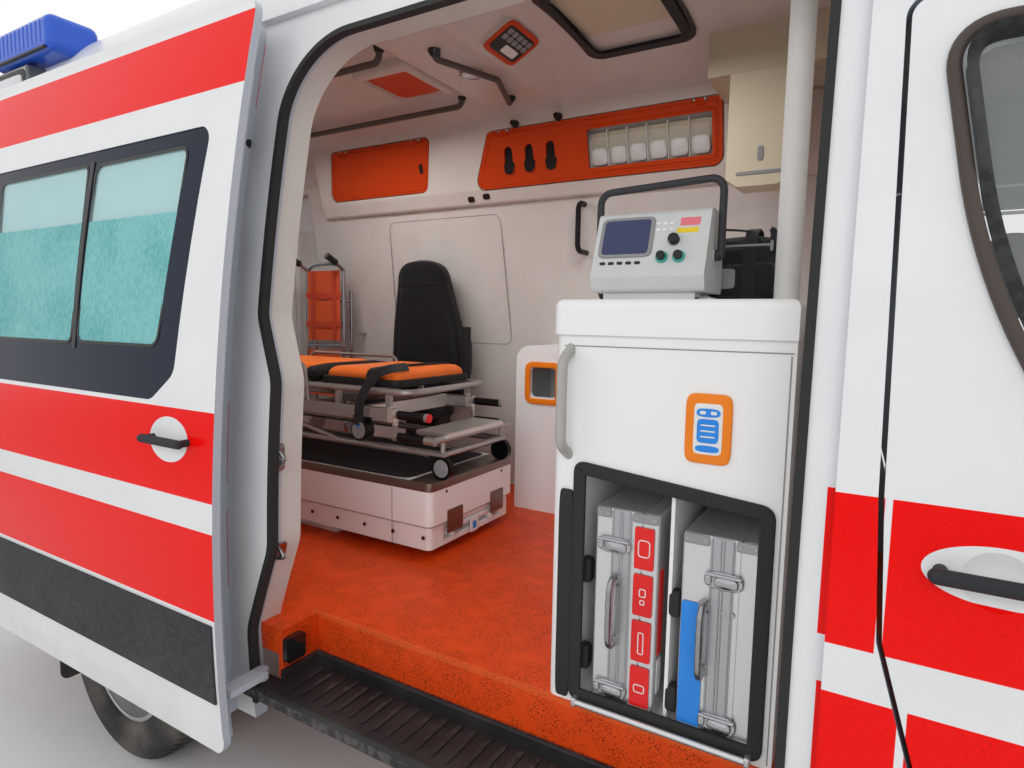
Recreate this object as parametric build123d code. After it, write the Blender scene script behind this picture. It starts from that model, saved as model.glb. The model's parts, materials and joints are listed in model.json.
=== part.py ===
"""A high-roof ambulance van with its treatment room, modelled as separate pieces.

Millimetres, +X to the front, +Y to the vehicle's left, +Z up, with the ground at Z = 0
and the origin under the middle of the whole vehicle.
"""

import os

from build123d import *

# Overall sizes of the van
body_length = 5910
front_overhang = 1004
rear_overhang = 1241
bumper_reach = 70
nose_reach = 25
belt_half_width = 997
belt_height = 900
waist_half_width = 978
waist_height = 1340
side_bulge = 20
rail_half_width = 818
rail_height = 2420
sill_half_width = 985
sill_height = 400
roof_height = 2800
tail_lean = 15
shell_thickness = 70
lining_thickness = 70
glass_thickness = 6
glass_inset = 4
door_gap = 8
rub_strip_thickness = 6
rub_strip_bottom = 560
rub_strip_top = 782

front_axle_x = body_length / 2 - front_overhang
rear_axle_x = rear_overhang - body_length / 2
tail_x = bumper_reach - body_length / 2
nose_x = body_length / 2 - nose_reach

# Wheels and running gear
tyre_radius = 356
tyre_width = 235
tyre_centre_y = 855
rim_radius = 214
spindle_radius = 30
spindle_clearance = 0.06
brake_disc_radius = 150
wheel_opening_front = 460
wheel_opening_rear = 415
kingpin_y = 705
kingpin_radius = 14
kingpin_low = tyre_radius - 110
kingpin_high = tyre_radius + 190
strut_radius = 24
rail_y = 430
rail_depth = 120
rail_width = 70
rail_bottom = 490
spring_y = 500
spring_half = 35
spring_reach = 620
spring_leaf = 14
spring_pin_radius = 8
spring_top = tyre_radius - 50
spring_lift = 120
spring_eye_z = spring_top + spring_lift - 10
differential_radius = 135
shaft_radius = 32

# The windscreen and the roof over it, from the front axle
screen_foot_x = front_axle_x + 254
screen_foot_z = 1345
screen_top_x = front_axle_x - 511
screen_top_z = 2150
roof_front_x = front_axle_x - 1501

# Sliding door opening, and how far the door has been slid open
opening_front = front_axle_x - 1506
opening_foot_length = 1445
opening_head_drop = 40
opening_waist_in = 100
opening_neck_in = 28
opening_bottom = 470
door_lap = 40
slide_door_length = 1560
slide_door_bottom = 395
door_flange = 22
slide_travel = 1405
slide_offset = 130
slide_rail_z = 1345
slide_rail_length = 1380
slide_handle_z = 1261

opening_foot_x = opening_front - opening_foot_length
opening_top = rail_height - opening_head_drop
slide_door_front = opening_front + door_lap
slide_door_back = slide_door_front - slide_door_length
slide_door_top = rail_height + 25
slide_rail_face = waist_half_width + 22
pillar_x = slide_door_front + door_gap

# Floor and entry
floor_height = 690
floor_thickness = 80
cab_floor_bottom = 610
cab_floor_thickness = 40
step_height = 540
step_thickness = 40
step_well_depth = 205
step_back = opening_foot_x + 95
tread_in = belt_half_width + 2 - step_well_depth - 4

# Front doors
front_door_back = front_axle_x - 1319
front_door_hinge_x = front_axle_x - 331
front_door_foot_x = front_axle_x - 485
front_door_bottom = 420
front_door_top = 2110
window_sill = 1440
hinge_skin_y = 1001
pin_radius = 4.5
knuckle_radius = 9
pin_clearance = 0.06
hinge_room = 5.5
hinge_lug = 1.3
handle_length = 170
handle_radius = 12

# Rear doors
rear_door_half = 800
rear_door_bottom = 640
rear_door_top = rail_height - 60
rear_door_taper = 60
rear_hinge_out = 20
rear_knuckle_radius = 12

# Bonnet
bonnet_back = screen_foot_x + 30
bonnet_front = nose_x - 150
bonnet_half = 690
bonnet_thickness = 45
bonnet_hinge_height = screen_foot_z + 1

# The treatment room
bulkhead_x = opening_front + 10
bulkhead_thickness = 45
room_back = tail_x + shell_thickness + 6
cabinet_right = bulkhead_x - 50
cabinet_length = 515
cabinet_left = cabinet_right - cabinet_length
cabinet_front = -785
cabinet_depth = 460
worktop_top = 1650
worktop_thickness = 80
case_cupboard_bottom = 2484
case_bottom = 706
case_recess_top = 1245
platform_back = tail_x + 105
platform_length = 1930
platform_front = platform_back + platform_length
platform_width = 600
platform_bottom = 730
platform_skirt_top = 815
platform_top = 990
stretcher_back = platform_back + 80
stretcher_length = 1950
stretcher_front = stretcher_back + stretcher_length
stretcher_half = 280
castor_radius = 45
pad_bottom = 1330
pad_thickness = 65
pad_sections = ((20, 1090), (1105, 1215), (1230, 1640))
loop_front = stretcher_back + 1715
guard_back = stretcher_back + 570
guard_front = stretcher_back + 1180
seat_front = tail_x + 1625
chair_x = tail_x + 335
chair_y = 640
pod_x = opening_foot_x + 55
rail_drop_z = 2590
tail_lamp_corners = ((830, 900), (985, 900), (985, 1330), (830, 1330))

nodes = {}
far = 4000
side_right = (-far, 0)
side_left = (0, far)


def along_y(face, y_from, y_to):
    """A face drawn as (x, z) carried from y_from to y_to."""
    return extrude(Plane((0, y_to, 0), x_dir=(1, 0, 0), z_dir=(0, -1, 0)) * face, y_to - y_from)


def along_x(face, x_from, x_to):
    """A face drawn as (y, z) carried from x_from to x_to."""
    return extrude(Plane((x_from, 0, 0), x_dir=(0, 1, 0), z_dir=(1, 0, 0)) * face, x_to - x_from)


def along_z(face, z_from, z_to):
    """A face drawn as (x, y) carried from z_from to z_to."""
    return extrude(Plane.XY.offset(z_from) * face, z_to - z_from)


def block(x, y, z):
    """A box between two limits on each axis."""
    size = [high - low for low, high in (x, y, z)]
    centre = [(high + low) / 2 for low, high in (x, y, z)]
    return Pos(*centre) * Box(*size)


def soft_block(x, y, z, radius):
    """A box between two limits on each axis, with every edge rounded."""
    piece = block(x, y, z)
    return fillet(piece.edges(), radius)


def sorted_pair(a, b):
    """Two limits in rising order."""
    return (min(a, b), max(a, b))


def outline(points, radius):
    """A closed outline with its corners rounded by one radius, or by a list of them."""
    return make_face(FilletPolyline(*points, radius=radius, close=True))


def polygon(points):
    """A closed outline with sharp corners."""
    return make_face(Polyline(*points, close=True))


def mirrored(piece):
    """The same piece on the other side of the vehicle."""
    return mirror(piece, about=Plane.XZ)


def rod(start, end, radius):
    """A round bar between two points."""
    a, b = Vector(*start), Vector(*end)
    return Plane(origin=(a + b) / 2, z_dir=b - a) * Cylinder(radius, (b - a).length)


def bent_tube(points, radius, bend):
    """A round tube along straight runs joined by tangent arcs."""
    path = FilletPolyline(*points, radius=bend)
    start = path @ 0
    return sweep(Plane(origin=start, z_dir=path % 0) * Circle(radius), path=path)


def ring(places):
    """A closed outline of lines and arcs through a list of places, each with its bend mark."""
    edges = []
    count = len(places)
    for index, (place, bent) in enumerate(places):
        after, after_bent = places[(index + 1) % count]
        if bent:
            before = places[index - 1][0]
            edges.append(ThreePointArc(before, place, after))
        elif not after_bent:
            edges.append(Line(place, after))
    return make_face(Wire(edges))


# The outer form is a side profile, swept square to the side behind the middle of the van and
# turned about an upright axis in front of it, then trimmed by a cross-section and a plan.
turn_axis_x = front_axle_x - 2751


def side_profile(inset):
    """The van from its side: tail, roof, forehead, windscreen, bonnet and nose.

    Each row is a place (x, z) on the outer form, the way in from it, and whether an arc bends there.
    """
    places = [
        ((tail_x, sill_height), (1, -3), False),
        ((tail_x + tail_lean, rail_height), (1, 0), False),
        ((tail_x + 90, roof_height - 100), (0.7, -0.7), True),
        ((tail_x + 290, roof_height), (0, -1), False),
        ((roof_front_x, roof_height), (0, -1), False),
        ((roof_front_x + 580, roof_height - 190), (-0.4, -0.9), True),
        ((screen_top_x, screen_top_z), (-1, -0.5), False),
        ((screen_foot_x, screen_foot_z), (-0.6, -1), False),
        ((nose_x - 440, screen_foot_z - 90), (-0.3, -1), True),
        ((nose_x - 185, screen_foot_z - 230), (-0.6, -0.9), False),
        ((nose_x - 95, 990), (-0.85, -0.5), True),
        ((nose_x - 42, 830), (-1, -0.2), False),
        ((nose_x, 640), (-1, 0), False),
        ((nose_x + nose_reach, 470), (-1, 0), True),
        ((nose_x - 30, 300), (-1, -3), False),
        ((nose_x - 480, 265), (0, -3), False),
        ((nose_x - 600, sill_height), (0, -3), False),
    ]
    return ring([((x + inset * dx, z + inset * dz), bent) for (x, z), (dx, dz), bent in places])


def cross_section(inset):
    """The van from its tail, with sides that lean inward above the waist.

    Each row is a place (y, z) on one side, the way in from it, and whether an arc bends there.
    """
    crown = roof_height - rail_height
    places = [
        ((sill_half_width - 30, sill_height - 150), (-1, -2), False),
        ((sill_half_width, sill_height + 80), (-1, 0), False),
        ((belt_half_width, belt_height), (-1, 0), True),
        ((waist_half_width, waist_height), (-1, 0), False),
        (
            ((waist_half_width + rail_half_width) / 2 + side_bulge, (waist_height + rail_height) / 2),
            (-1, -0.1),
            True,
        ),
        ((rail_half_width, rail_height), (-1, -0.2), False),
        ((rail_half_width - 73, rail_height + crown * 0.53), (-0.85, -0.5), True),
        ((rail_half_width - 228, rail_height + crown * 0.83), (-0.3, -1), False),
    ]
    half = [((y + inset * dy, z + inset * dz), bent) for (y, z), (dy, dz), bent in places]
    other = [((-y, z), bent) for (y, z), bent in reversed(half)]
    return ring([*half, ((0, roof_height + 1 - inset), True), *other])


def plan(inset):
    """The van from above, with rounded corners at the tail and the nose.

    Each row is a place (x, y) on one side, the way in from it, and whether an arc bends there.
    """
    half = belt_half_width + 5
    places = [
        ((tail_x - 5, half - 102), (1, -0.3), False),
        ((tail_x + 20, half - 30), (0.8, -0.8), True),
        ((tail_x + 95, half), (0.3, -1), False),
        ((front_axle_x - 451, half), (0, -1), False),
        ((nose_x - 870, half - 14), (0, -1), True),
        ((nose_x - 450, half - 62), (-0.2, -1), False),
        ((nose_x - 210, half - 182), (-0.6, -0.8), True),
        ((nose_x - 40, half - 482), (-1, -0.4), False),
    ]
    left = [((x + inset * dx, y + inset * dy), bent) for (x, y), (dx, dy), bent in places]
    right = [((x, -y), bent) for (x, y), bent in reversed(left)]
    return ring([*left, ((nose_x + 30 - inset, 0), True), *right])


def body_form(inset):
    """The whole outer form, or the same form drawn in on every side by inset."""
    reach = body_length
    side = side_profile(inset)
    back_half = side & polygon([(-reach, 0), (turn_axis_x, 0), (turn_axis_x, reach), (-reach, reach)])
    front_half = side & polygon([(turn_axis_x, 0), (reach, 0), (reach, reach), (turn_axis_x, reach)])
    straight = along_y(back_half, -belt_half_width - 50, belt_half_width + 50)
    upright = Axis((turn_axis_x, 0, 0), (0, 0, 1))
    standing = Plane((0, 0, 0), x_dir=(1, 0, 0), z_dir=(0, -1, 0)) * front_half
    turned = revolve(standing.rotate(upright, -90), upright, 180)
    section = along_x(cross_section(inset), -reach, reach)
    above = along_z(plan(inset), 0, reach)
    trim = section & above
    return (straight & trim) + (turned & trim)


outer_form = body_form(0)
void = body_form(shell_thickness)
room = body_form(shell_thickness + lining_thickness)
shell = outer_form - void
glass_shell = body_form(glass_inset) - body_form(glass_inset + glass_thickness)
rub_layer = body_form(-rub_strip_thickness) - outer_form
under_rub = block((-far, far), (-far, far), (rub_strip_bottom, rub_strip_top))


def skin_y(x, z):
    """How far the outer skin stands from the centre line at one place."""
    probe = outer_form & block((x, x + 1), (-far, 0), (z, z + 1))
    return -probe.bounding_box().min.Y


# Outlines seen from the side, as (x, z)
front_door_outline = [
    (front_door_back, front_door_bottom),
    (front_door_back, 900),
    (front_door_back - 60, 1110),
    (front_door_back - 72, 1340),
    (front_door_back - 84, front_door_top),
    (front_door_hinge_x - 380, front_door_top),
    (front_door_hinge_x - 5, 1717),
    (front_door_hinge_x - 5, 840),
    (front_door_foot_x, 700),
    (front_door_foot_x, front_door_bottom),
]
front_window_outline = [
    (front_door_back - 20, front_door_top - 70),
    (front_door_back + 36, 1690),
    (front_door_back + 158, window_sill),
    (front_door_hinge_x - 80, window_sill),
    (front_door_hinge_x - 80, 1690),
    (front_door_hinge_x - 405, front_door_top - 70),
]
front_window_radii = [60, 150, 90, 45, 45, 60]
quarter_window_outline = [
    (front_door_hinge_x + 70, window_sill),
    (front_door_hinge_x + 70, window_sill + 200),
    (front_door_hinge_x + 265, window_sill),
]
slide_door_outline = [
    (slide_door_back, slide_door_bottom),
    (slide_door_back, slide_door_top),
    (slide_door_front, slide_door_top),
    (slide_door_front, slide_door_bottom),
]
slide_window_outline = [
    (slide_door_front - 290, 1362),
    (slide_door_front - 185, 1440),
    (slide_door_front - 113, 2108),
    (slide_door_back + 113, 2108),
    (slide_door_back + 185, 1440),
    (slide_door_back + 290, 1362),
]
slide_window_radii = [60, 60, 45, 45, 60, 60]
opening_outline = [
    (opening_foot_x, opening_bottom - 200),
    (opening_foot_x, 690),
    (opening_foot_x + opening_waist_in, 950),
    (opening_foot_x + opening_waist_in, 1420),
    (opening_foot_x + opening_neck_in, 1600),
    (opening_foot_x + opening_neck_in, opening_top),
    (opening_front, opening_top),
    (opening_front, opening_bottom - 200),
]
opening_radii = [20, 150, 150, 120, 120, 230, 150, 20]


def roof_zone():
    """The roof panel: above the rails over the load space, and lower over the cab."""
    return along_y(
        polygon(
            [
                (-far, rail_height + 50),
                (front_door_back + 8, rail_height + 50),
                (front_door_back + 68, front_door_top + 90),
                (screen_top_x - 45, front_door_top + 90),
                (screen_top_x + 260, screen_top_z + 180),
                (far, far),
                (-far, far),
            ]
        ),
        -far, far,
    )


def wheel_opening(axle_x, radius, y_from, y_to):
    """The round room that a wheel turns in."""
    return along_y(Pos(axle_x, tyre_radius) * Circle(radius), y_from, y_to)


cab_zone = block((pillar_x, far), (-far, far), (0, far))


def rear_opening():
    """The cut for both rear doors with the gap round them."""
    low = (rear_door_half + door_gap, rear_door_bottom - door_gap)
    high = (rear_door_half - rear_door_taper + door_gap, rear_door_top + door_gap)
    points = [(-low[0], low[1]), low, high, (-high[0], high[1])]
    return along_x(outline(points, 60), -far, tail_x + 300)


def rear_door_face(side):
    """One rear door from behind, as (y, z), with the middle gap beside the centre line."""
    rows = [
        (door_gap / 2, rear_door_bottom),
        (rear_door_half, rear_door_bottom),
        (rear_door_half - rear_door_taper, rear_door_top),
        (door_gap / 2, rear_door_top),
    ]
    return outline([(side * y, z) for y, z in rows], [10, 52, 52, 10])


def make_body():
    """The fixed panels, cut from one hollow form where the real panels meet."""
    nodes["roof"] = shell & roof_zone()
    below = shell - roof_zone()
    for side in (side_right, side_left):
        below -= along_y(offset(outline(front_door_outline, 28), door_gap), *side)
    load_sides = below - cab_zone - rear_opening()
    load_sides -= wheel_opening(rear_axle_x, wheel_opening_rear, -far, far)
    opening_face = outline(opening_outline, opening_radii)
    opening = along_y(opening_face, -far, -500)
    right = load_sides & block((-far, far), (-far, 0), (0, far))
    left = load_sides & block((-far, far), (0, far), (0, far))
    seat_face = offset(polygon(slide_door_outline), door_gap)
    recess = along_y(seat_face, -far, -500) & (outer_form - body_form(door_flange + 4))
    nodes["side_panel_left"] = left
    nodes["side_panel_right"] = right - opening - recess
    seal_ring = opening - along_y(offset(opening_face, -16), -far, -500)
    seal_layer = body_form(door_flange) - body_form(door_flange + 26)
    nodes["door_seal"] = seal_ring & seal_layer & block((-far, far), (-far, 0), (opening_bottom - 15, far))
    front = below & cab_zone
    front -= along_y(outline(quarter_window_outline, 20), -far, far)
    front -= wheel_opening(front_axle_x, wheel_opening_front, -far, far)
    low, high = screen_foot_z + 55, screen_top_z - 40
    screen = along_x(outline([(-860, low), (860, low), (760, high), (-760, high)], 70), 1300, far)
    screen &= block((screen_top_x - 140, screen_foot_x + 55), (-far, far), (0, screen_top_z + 50))
    nodes["windscreen"] = glass_shell & screen
    split_front(front - screen)


def bonnet_plan(gap):
    """The bonnet from above, or its opening with a gap all round."""
    rows = [(bonnet_back - gap, bonnet_half + 60 + gap), (bonnet_front + gap, bonnet_half + gap)]
    points = [*rows, *[(x, -y) for x, y in reversed(rows)]]
    return along_z(outline(points, 30 + gap), screen_foot_z - 345, far)


def split_front(front):
    """The cab frame, wings, bonnet, grille, bumper and headlamps."""
    arch_front = front_axle_x + wheel_opening_front
    bumper_zone = along_y(
        polygon([(arch_front - 16, 0), (arch_front - 16, 560), (arch_front + 69, 700), (far, 700), (far, 0)]),
        -far, far,
    )
    lamp_rows = [(560, 765), (552, 925), (700, 1010), (960, 1075), (960, 900), (800, 790)]
    lamp_cut = along_x(outline(lamp_rows, [30, 40, 60, 20, 60, 60]), arch_front + 30, far)
    lamp_cut += mirrored(lamp_cut)
    grille_rows = [(-515, 745), (515, 745), (537, 985), (-537, 985)]
    grille_cut = along_x(outline(grille_rows, 30), arch_front + 89, far)
    thin = outer_form - body_form(bonnet_thickness)
    opening = bonnet_plan(door_gap)
    grille = (front & grille_cut & thin) - opening
    for row in range(4):
        low = 772 + 48 * row
        grille -= along_x(outline([(-480, low), (480, low), (480, low + 30), (-480, low + 30)], 10), 2000, far)
    nodes["grille"] = grille
    nodes["headlamps"] = (front & lamp_cut) - opening
    bumper = front & bumper_zone
    intake = outline([(-430, 350), (430, 350), (470, 500), (-470, 500)], 25)
    bumper -= along_x(intake, 2000, far)
    for side in (1, -1):
        bumper -= along_x(Pos(side * 700, 450) * Circle(48), arch_front, far)
    nodes["bumper_front"] = bumper
    rest = front - opening - bumper_zone - lamp_cut - grille_cut
    wing_back = front_door_hinge_x + 55
    wing_zone = block((wing_back, far), (-far, far), (0, screen_foot_z - 20))
    wing_zone -= block((bonnet_front - 20, far), (-555, 555), (0, far))
    nodes["front_wings"] = rest & wing_zone
    rest -= wing_zone
    bonnet = front & bonnet_plan(0) & thin
    for y in (-520, 520):
        parts = hinge((bonnet_back - 3, y, bonnet_hinge_height), (0, 1, 0), 60, 8, 4)
        lift = block(
            (bonnet_back - 1, bonnet_back + 40),
            (y - 29.5, y + 29.5),
            (bonnet_hinge_height - 34, bonnet_hinge_height + 7),
        )
        bonnet = bonnet - parts["fixed_room"] + (parts["knuckle"] + lift) - parts["bore"]
        rest -= parts["knuckle_room"]
        fixed = parts["fixed"]
        for end in (-1, 1):
            middle = y + end * 35.2
            fixed += block(
                (bonnet_back - 30, bonnet_back - 3),
                (middle - 5.2, middle + 5.2),
                (bonnet_hinge_height - 45, bonnet_hinge_height + 8),
            )
        rest += fixed
        nodes["front_wings"] -= fixed
    nodes["bonnet"] = bonnet
    nodes["front_frame"] = rest


def hinge(middle, along, length, radius, pin):
    """A pin hinge: its fixed knuckles and pin, its moving knuckle, its bore and the room for each."""
    line = Plane(origin=middle, z_dir=along)
    lug = radius * hinge_lug
    fixed = line * Cylinder(pin, length + lug)
    fixed_room = None
    for end in (-1, 1):
        place = line * Pos(0, 0, end * (length + lug) / 2)
        fixed += place * Cylinder(radius, lug)
        wide = 2 * (radius + hinge_room)
        room_there = place * Box(wide, wide, lug + hinge_room)
        fixed_room = room_there if fixed_room is None else fixed_room + room_there
    return {
        "fixed": fixed,
        "fixed_room": fixed_room,
        "knuckle": line * Cylinder(radius, length - 1),
        "knuckle_room": line * Cylinder(radius + hinge_room, length),
        "bore": line * Cylinder(pin + pin_clearance, length + 2),
    }


front_hinges = [(905, 955), (1265, 1315)]
rear_hinges = [(760, 820), (1450, 1510), (rear_door_top - 230, rear_door_top - 170)]


def door_handle(x, z):
    """A grip bar on two posts, and the round dish behind it, on the right side."""
    y = -skin_y(x, z)
    half = handle_length / 2
    grip_y = y - 30
    grip = rod((x - half, grip_y, z), (x + half, grip_y, z), handle_radius)
    for end in (-1, 1):
        grip += Pos(x + end * half, grip_y, z) * Sphere(handle_radius)
        post_x = x + end * (half - 6)
        grip += rod((post_x, grip_y, z), (post_x, y + 20, z), handle_radius - 2)
    return grip - outer_form, Pos(x - 10, y - 62, z) * Sphere(76)


def make_front_doors():
    """Both front doors with their glass, mirrors and hinges; the left one mirrors the right."""
    door_face = outline(front_door_outline, 28)
    door = shell & along_y(door_face, -far, -600)
    window = along_y(outline(front_window_outline, front_window_radii), *side_right)
    glass = glass_shell & window
    grip, dish = door_handle(front_door_back + 85, 1240)
    door = door - window - dish
    frame = nodes["front_frame"]
    for z_from, z_to in front_hinges:
        middle = (front_door_hinge_x, -hinge_skin_y, (z_from + z_to) / 2)
        parts = hinge(middle, (0, 0, 1), z_to - z_from, knuckle_radius, pin_radius)
        strap = block(
            (front_door_hinge_x - 60, front_door_hinge_x - 4),
            (-hinge_skin_y - 4, -hinge_skin_y + 45),
            (z_from + 0.5, z_to - 0.5),
        )
        door = door - parts["fixed_room"] + (parts["knuckle"] + strap) - parts["bore"]
        fixed = parts["fixed"]
        lug = knuckle_radius * hinge_lug
        for z in (z_from - lug, z_to):
            fixed += block(
                (front_door_hinge_x - 1, front_door_hinge_x + 40),
                (-hinge_skin_y - 4, -hinge_skin_y + 45),
                (z, z + lug),
            )
        room_cut = parts["knuckle_room"]
        frame = frame - room_cut - mirrored(room_cut) + fixed + mirrored(fixed)
    mirror_x = front_door_hinge_x - 130
    arm = block((mirror_x + 10, mirror_x + 70), (-1060, -960), (window_sill + 10, window_sill + 50))
    head_rows = [(-1010, 1330), (-1215, 1345), (-1215, 1730), (-1030, 1730)]
    head = along_x(outline(head_rows, 40), mirror_x, mirror_x + 130)
    head = fillet(head.edges().group_by(Axis.X)[-1], 34) - outer_form
    head = head.solids().sort_by(Axis.Y)[0]
    strip = rub_layer & along_y(offset(door_face, -10), -far, -600) & under_rub
    nodes["front_frame"] = frame
    nodes["front_door_right"] = door
    nodes["front_door_left"] = mirrored(door)
    nodes["front_door_glass_right"] = glass
    nodes["front_door_glass_left"] = mirrored(glass)
    trim = Compound(children=[head + (arm - outer_form), grip, strip])
    nodes["front_door_trim_right"] = trim
    nodes["front_door_trim_left"] = mirrored(trim)


def make_rear_doors():
    """Two rear doors that swing out on hinges behind the rear corners."""
    for side, name in ((-1, "right"), (1, "left")):
        door = shell & along_x(rear_door_face(side), -far, tail_x + 200)
        rows = [(150, 1500), (640, 1500), (610, rear_door_top - 110), (150, rear_door_top - 110)]
        window = along_x(outline([(side * y, z) for y, z in rows], 70), -far, tail_x + 200)
        glass = glass_shell & window
        door -= window
        panel = nodes["side_panel_" + name]
        for z_from, z_to in rear_hinges:
            y = side * (rear_door_half + door_gap / 2)
            middle = (tail_x - rear_hinge_out, y, (z_from + z_to) / 2)
            parts = hinge(middle, (0, 0, 1), z_to - z_from, rear_knuckle_radius, pin_radius)
            rise = (z_to - rear_door_bottom) / (rear_door_top - rear_door_bottom)
            door_edge = side * (rear_door_half - rear_door_taper * rise - 5)
            height = (z_from + 0.5, z_to - 0.5)
            behind = (tail_x - rear_hinge_out - 6, tail_x - rear_hinge_out + 6)
            plate = block(behind, sorted_pair(y, y - side * 170), height)
            seat = block((behind[0], tail_x + 45), sorted_pair(door_edge, y - side * 170), height)
            door = door - parts["fixed_room"] + (parts["knuckle"] + plate + seat) - parts["bore"]
            outward = sorted_pair(y, y + side * 60)
            leaf = None
            lug = rear_knuckle_radius * hinge_lug
            for z in (z_from - lug, z_to):
                part = block((behind[0], tail_x + 50), outward, (z, z + lug))
                leaf = part if leaf is None else leaf + part
            panel = panel - parts["knuckle_room"] + (leaf + parts["fixed"])
        nodes["side_panel_" + name] = panel
        nodes["rear_door_" + name] = door
        nodes["rear_door_glass_" + name] = glass


def make_sliding_door():
    """The sliding door, drawn shut and then moved to where it stands open."""
    door_face = outline(slide_door_outline, 60)
    skin = (outer_form - body_form(door_flange)) & along_y(door_face, -far, -600)
    inner_face = offset(outline(opening_outline, opening_radii), -24)
    inner = along_y(inner_face, -far, -600) & block((-far, far), (-far, 0), (slide_door_bottom, far))
    door = skin + (shell & inner)
    window = along_y(outline(slide_window_outline, slide_window_radii), *side_right)
    glass = glass_shell & window
    grip, dish = door_handle(slide_door_front - 188, slide_handle_z)
    door = door - window - dish
    opened = Pos(-slide_travel, -slide_offset, 0)
    door = opened * door
    skin_in = -waist_half_width - slide_offset + door_flange
    arm_x = slide_door_back - slide_travel + 130
    arm_height = (slide_rail_z - 14, slide_rail_z + 14)
    door += block((arm_x, arm_x + 90), (skin_in - 14, -slide_rail_face - 0.3), arm_height)
    foot_x = opening_foot_x + 40
    foot_in = -belt_half_width + 40
    foot_out = -belt_half_width - slide_offset + shell_thickness - 20
    foot_height = (step_height + 12, step_height + 30)
    door += block((foot_x - 20, foot_x + 30), (foot_out, foot_in), foot_height)
    door += Pos(foot_x, foot_in, step_height + 15.3) * Cylinder(20, 30)
    nodes["sliding_door"] = door
    glasses = [nodes.pop("windscreen"), opened * glass]
    quarter = glass_shell & along_y(outline(quarter_window_outline, 20), *side_right)
    nodes["fixed_glass"] = Compound(children=[*glasses, quarter, mirrored(quarter)])
    strip = rub_layer & along_y(offset(door_face, -10), -far, -600) & under_rub
    nodes["slide_trim"] = Compound(children=[opened * strip, opened * grip])


def make_side_trim():
    """Rub strips along the flanks, the sliding door's rail and trim, and the mud flaps."""
    zone = block((rear_axle_x + wheel_opening_rear + 12, slide_door_back - 14), (-far, 0), (0, far))
    zone += block((tail_x + 30, rear_axle_x - wheel_opening_rear - 12), (-far, 0), (0, far))
    zone += block((slide_door_front + 14, front_door_back - 14), (-far, 0), (0, far))
    right = rub_layer & under_rub & zone
    flank = block((rear_axle_x + wheel_opening_rear + 12, front_door_back - 14), (0, far), (0, far))
    flank += block((tail_x + 30, rear_axle_x - wheel_opening_rear - 12), (0, far), (0, far))
    left = rub_layer & under_rub & flank
    rail_back = slide_door_back - 55 - slide_rail_length
    rail_height_pair = (slide_rail_z - 22, slide_rail_z + 22)
    rail = block((rail_back, slide_door_back - 55), (-slide_rail_face, -slide_rail_face + 60), rail_height_pair)
    rail -= outer_form
    pieces = [right, left, rail, *nodes.pop("slide_trim").children]
    for side in (1, -1):
        flap_x = rear_axle_x - wheel_opening_rear - 30
        flap = block((flap_x - 8, flap_x), sorted_pair(side * 790, side * 970), (150, sill_height - 0.3))
        pieces.append(fillet(flap.edges().filter_by(Axis.X).group_by(Axis.Z)[0], 30))
    nodes["side_trim"] = Compound(children=pieces)


def make_wheel(x, side):
    """A tyre and its pressed steel rim, drawn standing at its place."""
    half = tyre_width / 2
    centre = side * tyre_centre_y
    tyre_profile = make_face(
        FilletPolyline(
            (rim_radius, -half + 18), (rim_radius + 30, -half), (tyre_radius - 40, -half), (tyre_radius, -half + 26),
            (tyre_radius, half - 26), (tyre_radius - 40, half), (rim_radius + 30, half), (rim_radius, half - 18),
            radius=12, close=True,
        )
    )
    standing = Plane((x, centre, tyre_radius), x_dir=(1, 0, 0), z_dir=(0, 0, 1))
    spin = Axis((x, centre, tyre_radius), (0, 1, 0))
    tyre = revolve(standing * tyre_profile, spin, 360)
    bore = spindle_radius + spindle_clearance
    edge = rim_radius - 12
    # The dished disc's section, as (distance from the axle, distance outward from the wheel's middle)
    dish = [
        (bore, 47), (95, 47), (128, 70), (160, 66), (edge, 30),
        (edge, 16), (158, 52), (130, 56), (98, 33), (bore, 33),
    ]
    disc = revolve(standing * polygon([(r, side * y) for r, y in dish]), spin, 360)
    holes = [
        Pos(x, centre + side * 50, tyre_radius) * Rot(0, 36 * index, 0) * Pos(172, 0, 0) * Rot(90, 0, 0)
        * Cylinder(13, 90)
        for index in range(10)
    ]
    disc -= holes
    well = [(rim_radius - 0.3, -half + 22), (rim_radius - 0.3, half - 22), (edge, half - 22), (edge, -half + 22)]
    rim = disc + revolve(standing * polygon([(r, side * y) for r, y in well]), spin, 360)
    return tyre, rim


def leaf_spring(y):
    """A three-leaf spring with its eyes and saddle under the rear axle tube."""
    solids = []
    for layer, reach in enumerate((spring_reach, spring_reach - 150, spring_reach - 300)):
        top = spring_top - spring_leaf * layer
        low = top - spring_leaf
        lift = spring_lift * (reach / spring_reach) ** 2
        edges = [
            ThreePointArc((-reach, top + lift), (0, top), (reach, top + lift)),
            Line((reach, top + lift), (reach, low + lift)),
            ThreePointArc((reach, low + lift), (0, low), (-reach, low + lift)),
            Line((-reach, low + lift), (-reach, top + lift)),
        ]
        leaf = Pos(rear_axle_x, 0) * make_face(Wire(edges))
        solids.append(along_y(leaf, y - spring_half + 0.3, y + spring_half))
    solids.append(
        block(
            (rear_axle_x - 50, rear_axle_x + 50), (y - spring_half, y + spring_half), (spring_top - 45, tyre_radius)
        )
    )
    eyes = []
    for end in (-1, 1):
        eye = Plane((rear_axle_x + end * spring_reach, y, spring_eye_z), z_dir=(0, 1, 0))
        solids.append(eye * Cylinder(22, 2 * spring_half - 0.6))
        eyes.append(eye * Cylinder(spring_pin_radius + pin_clearance, 200))
    return solids, eyes


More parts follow.
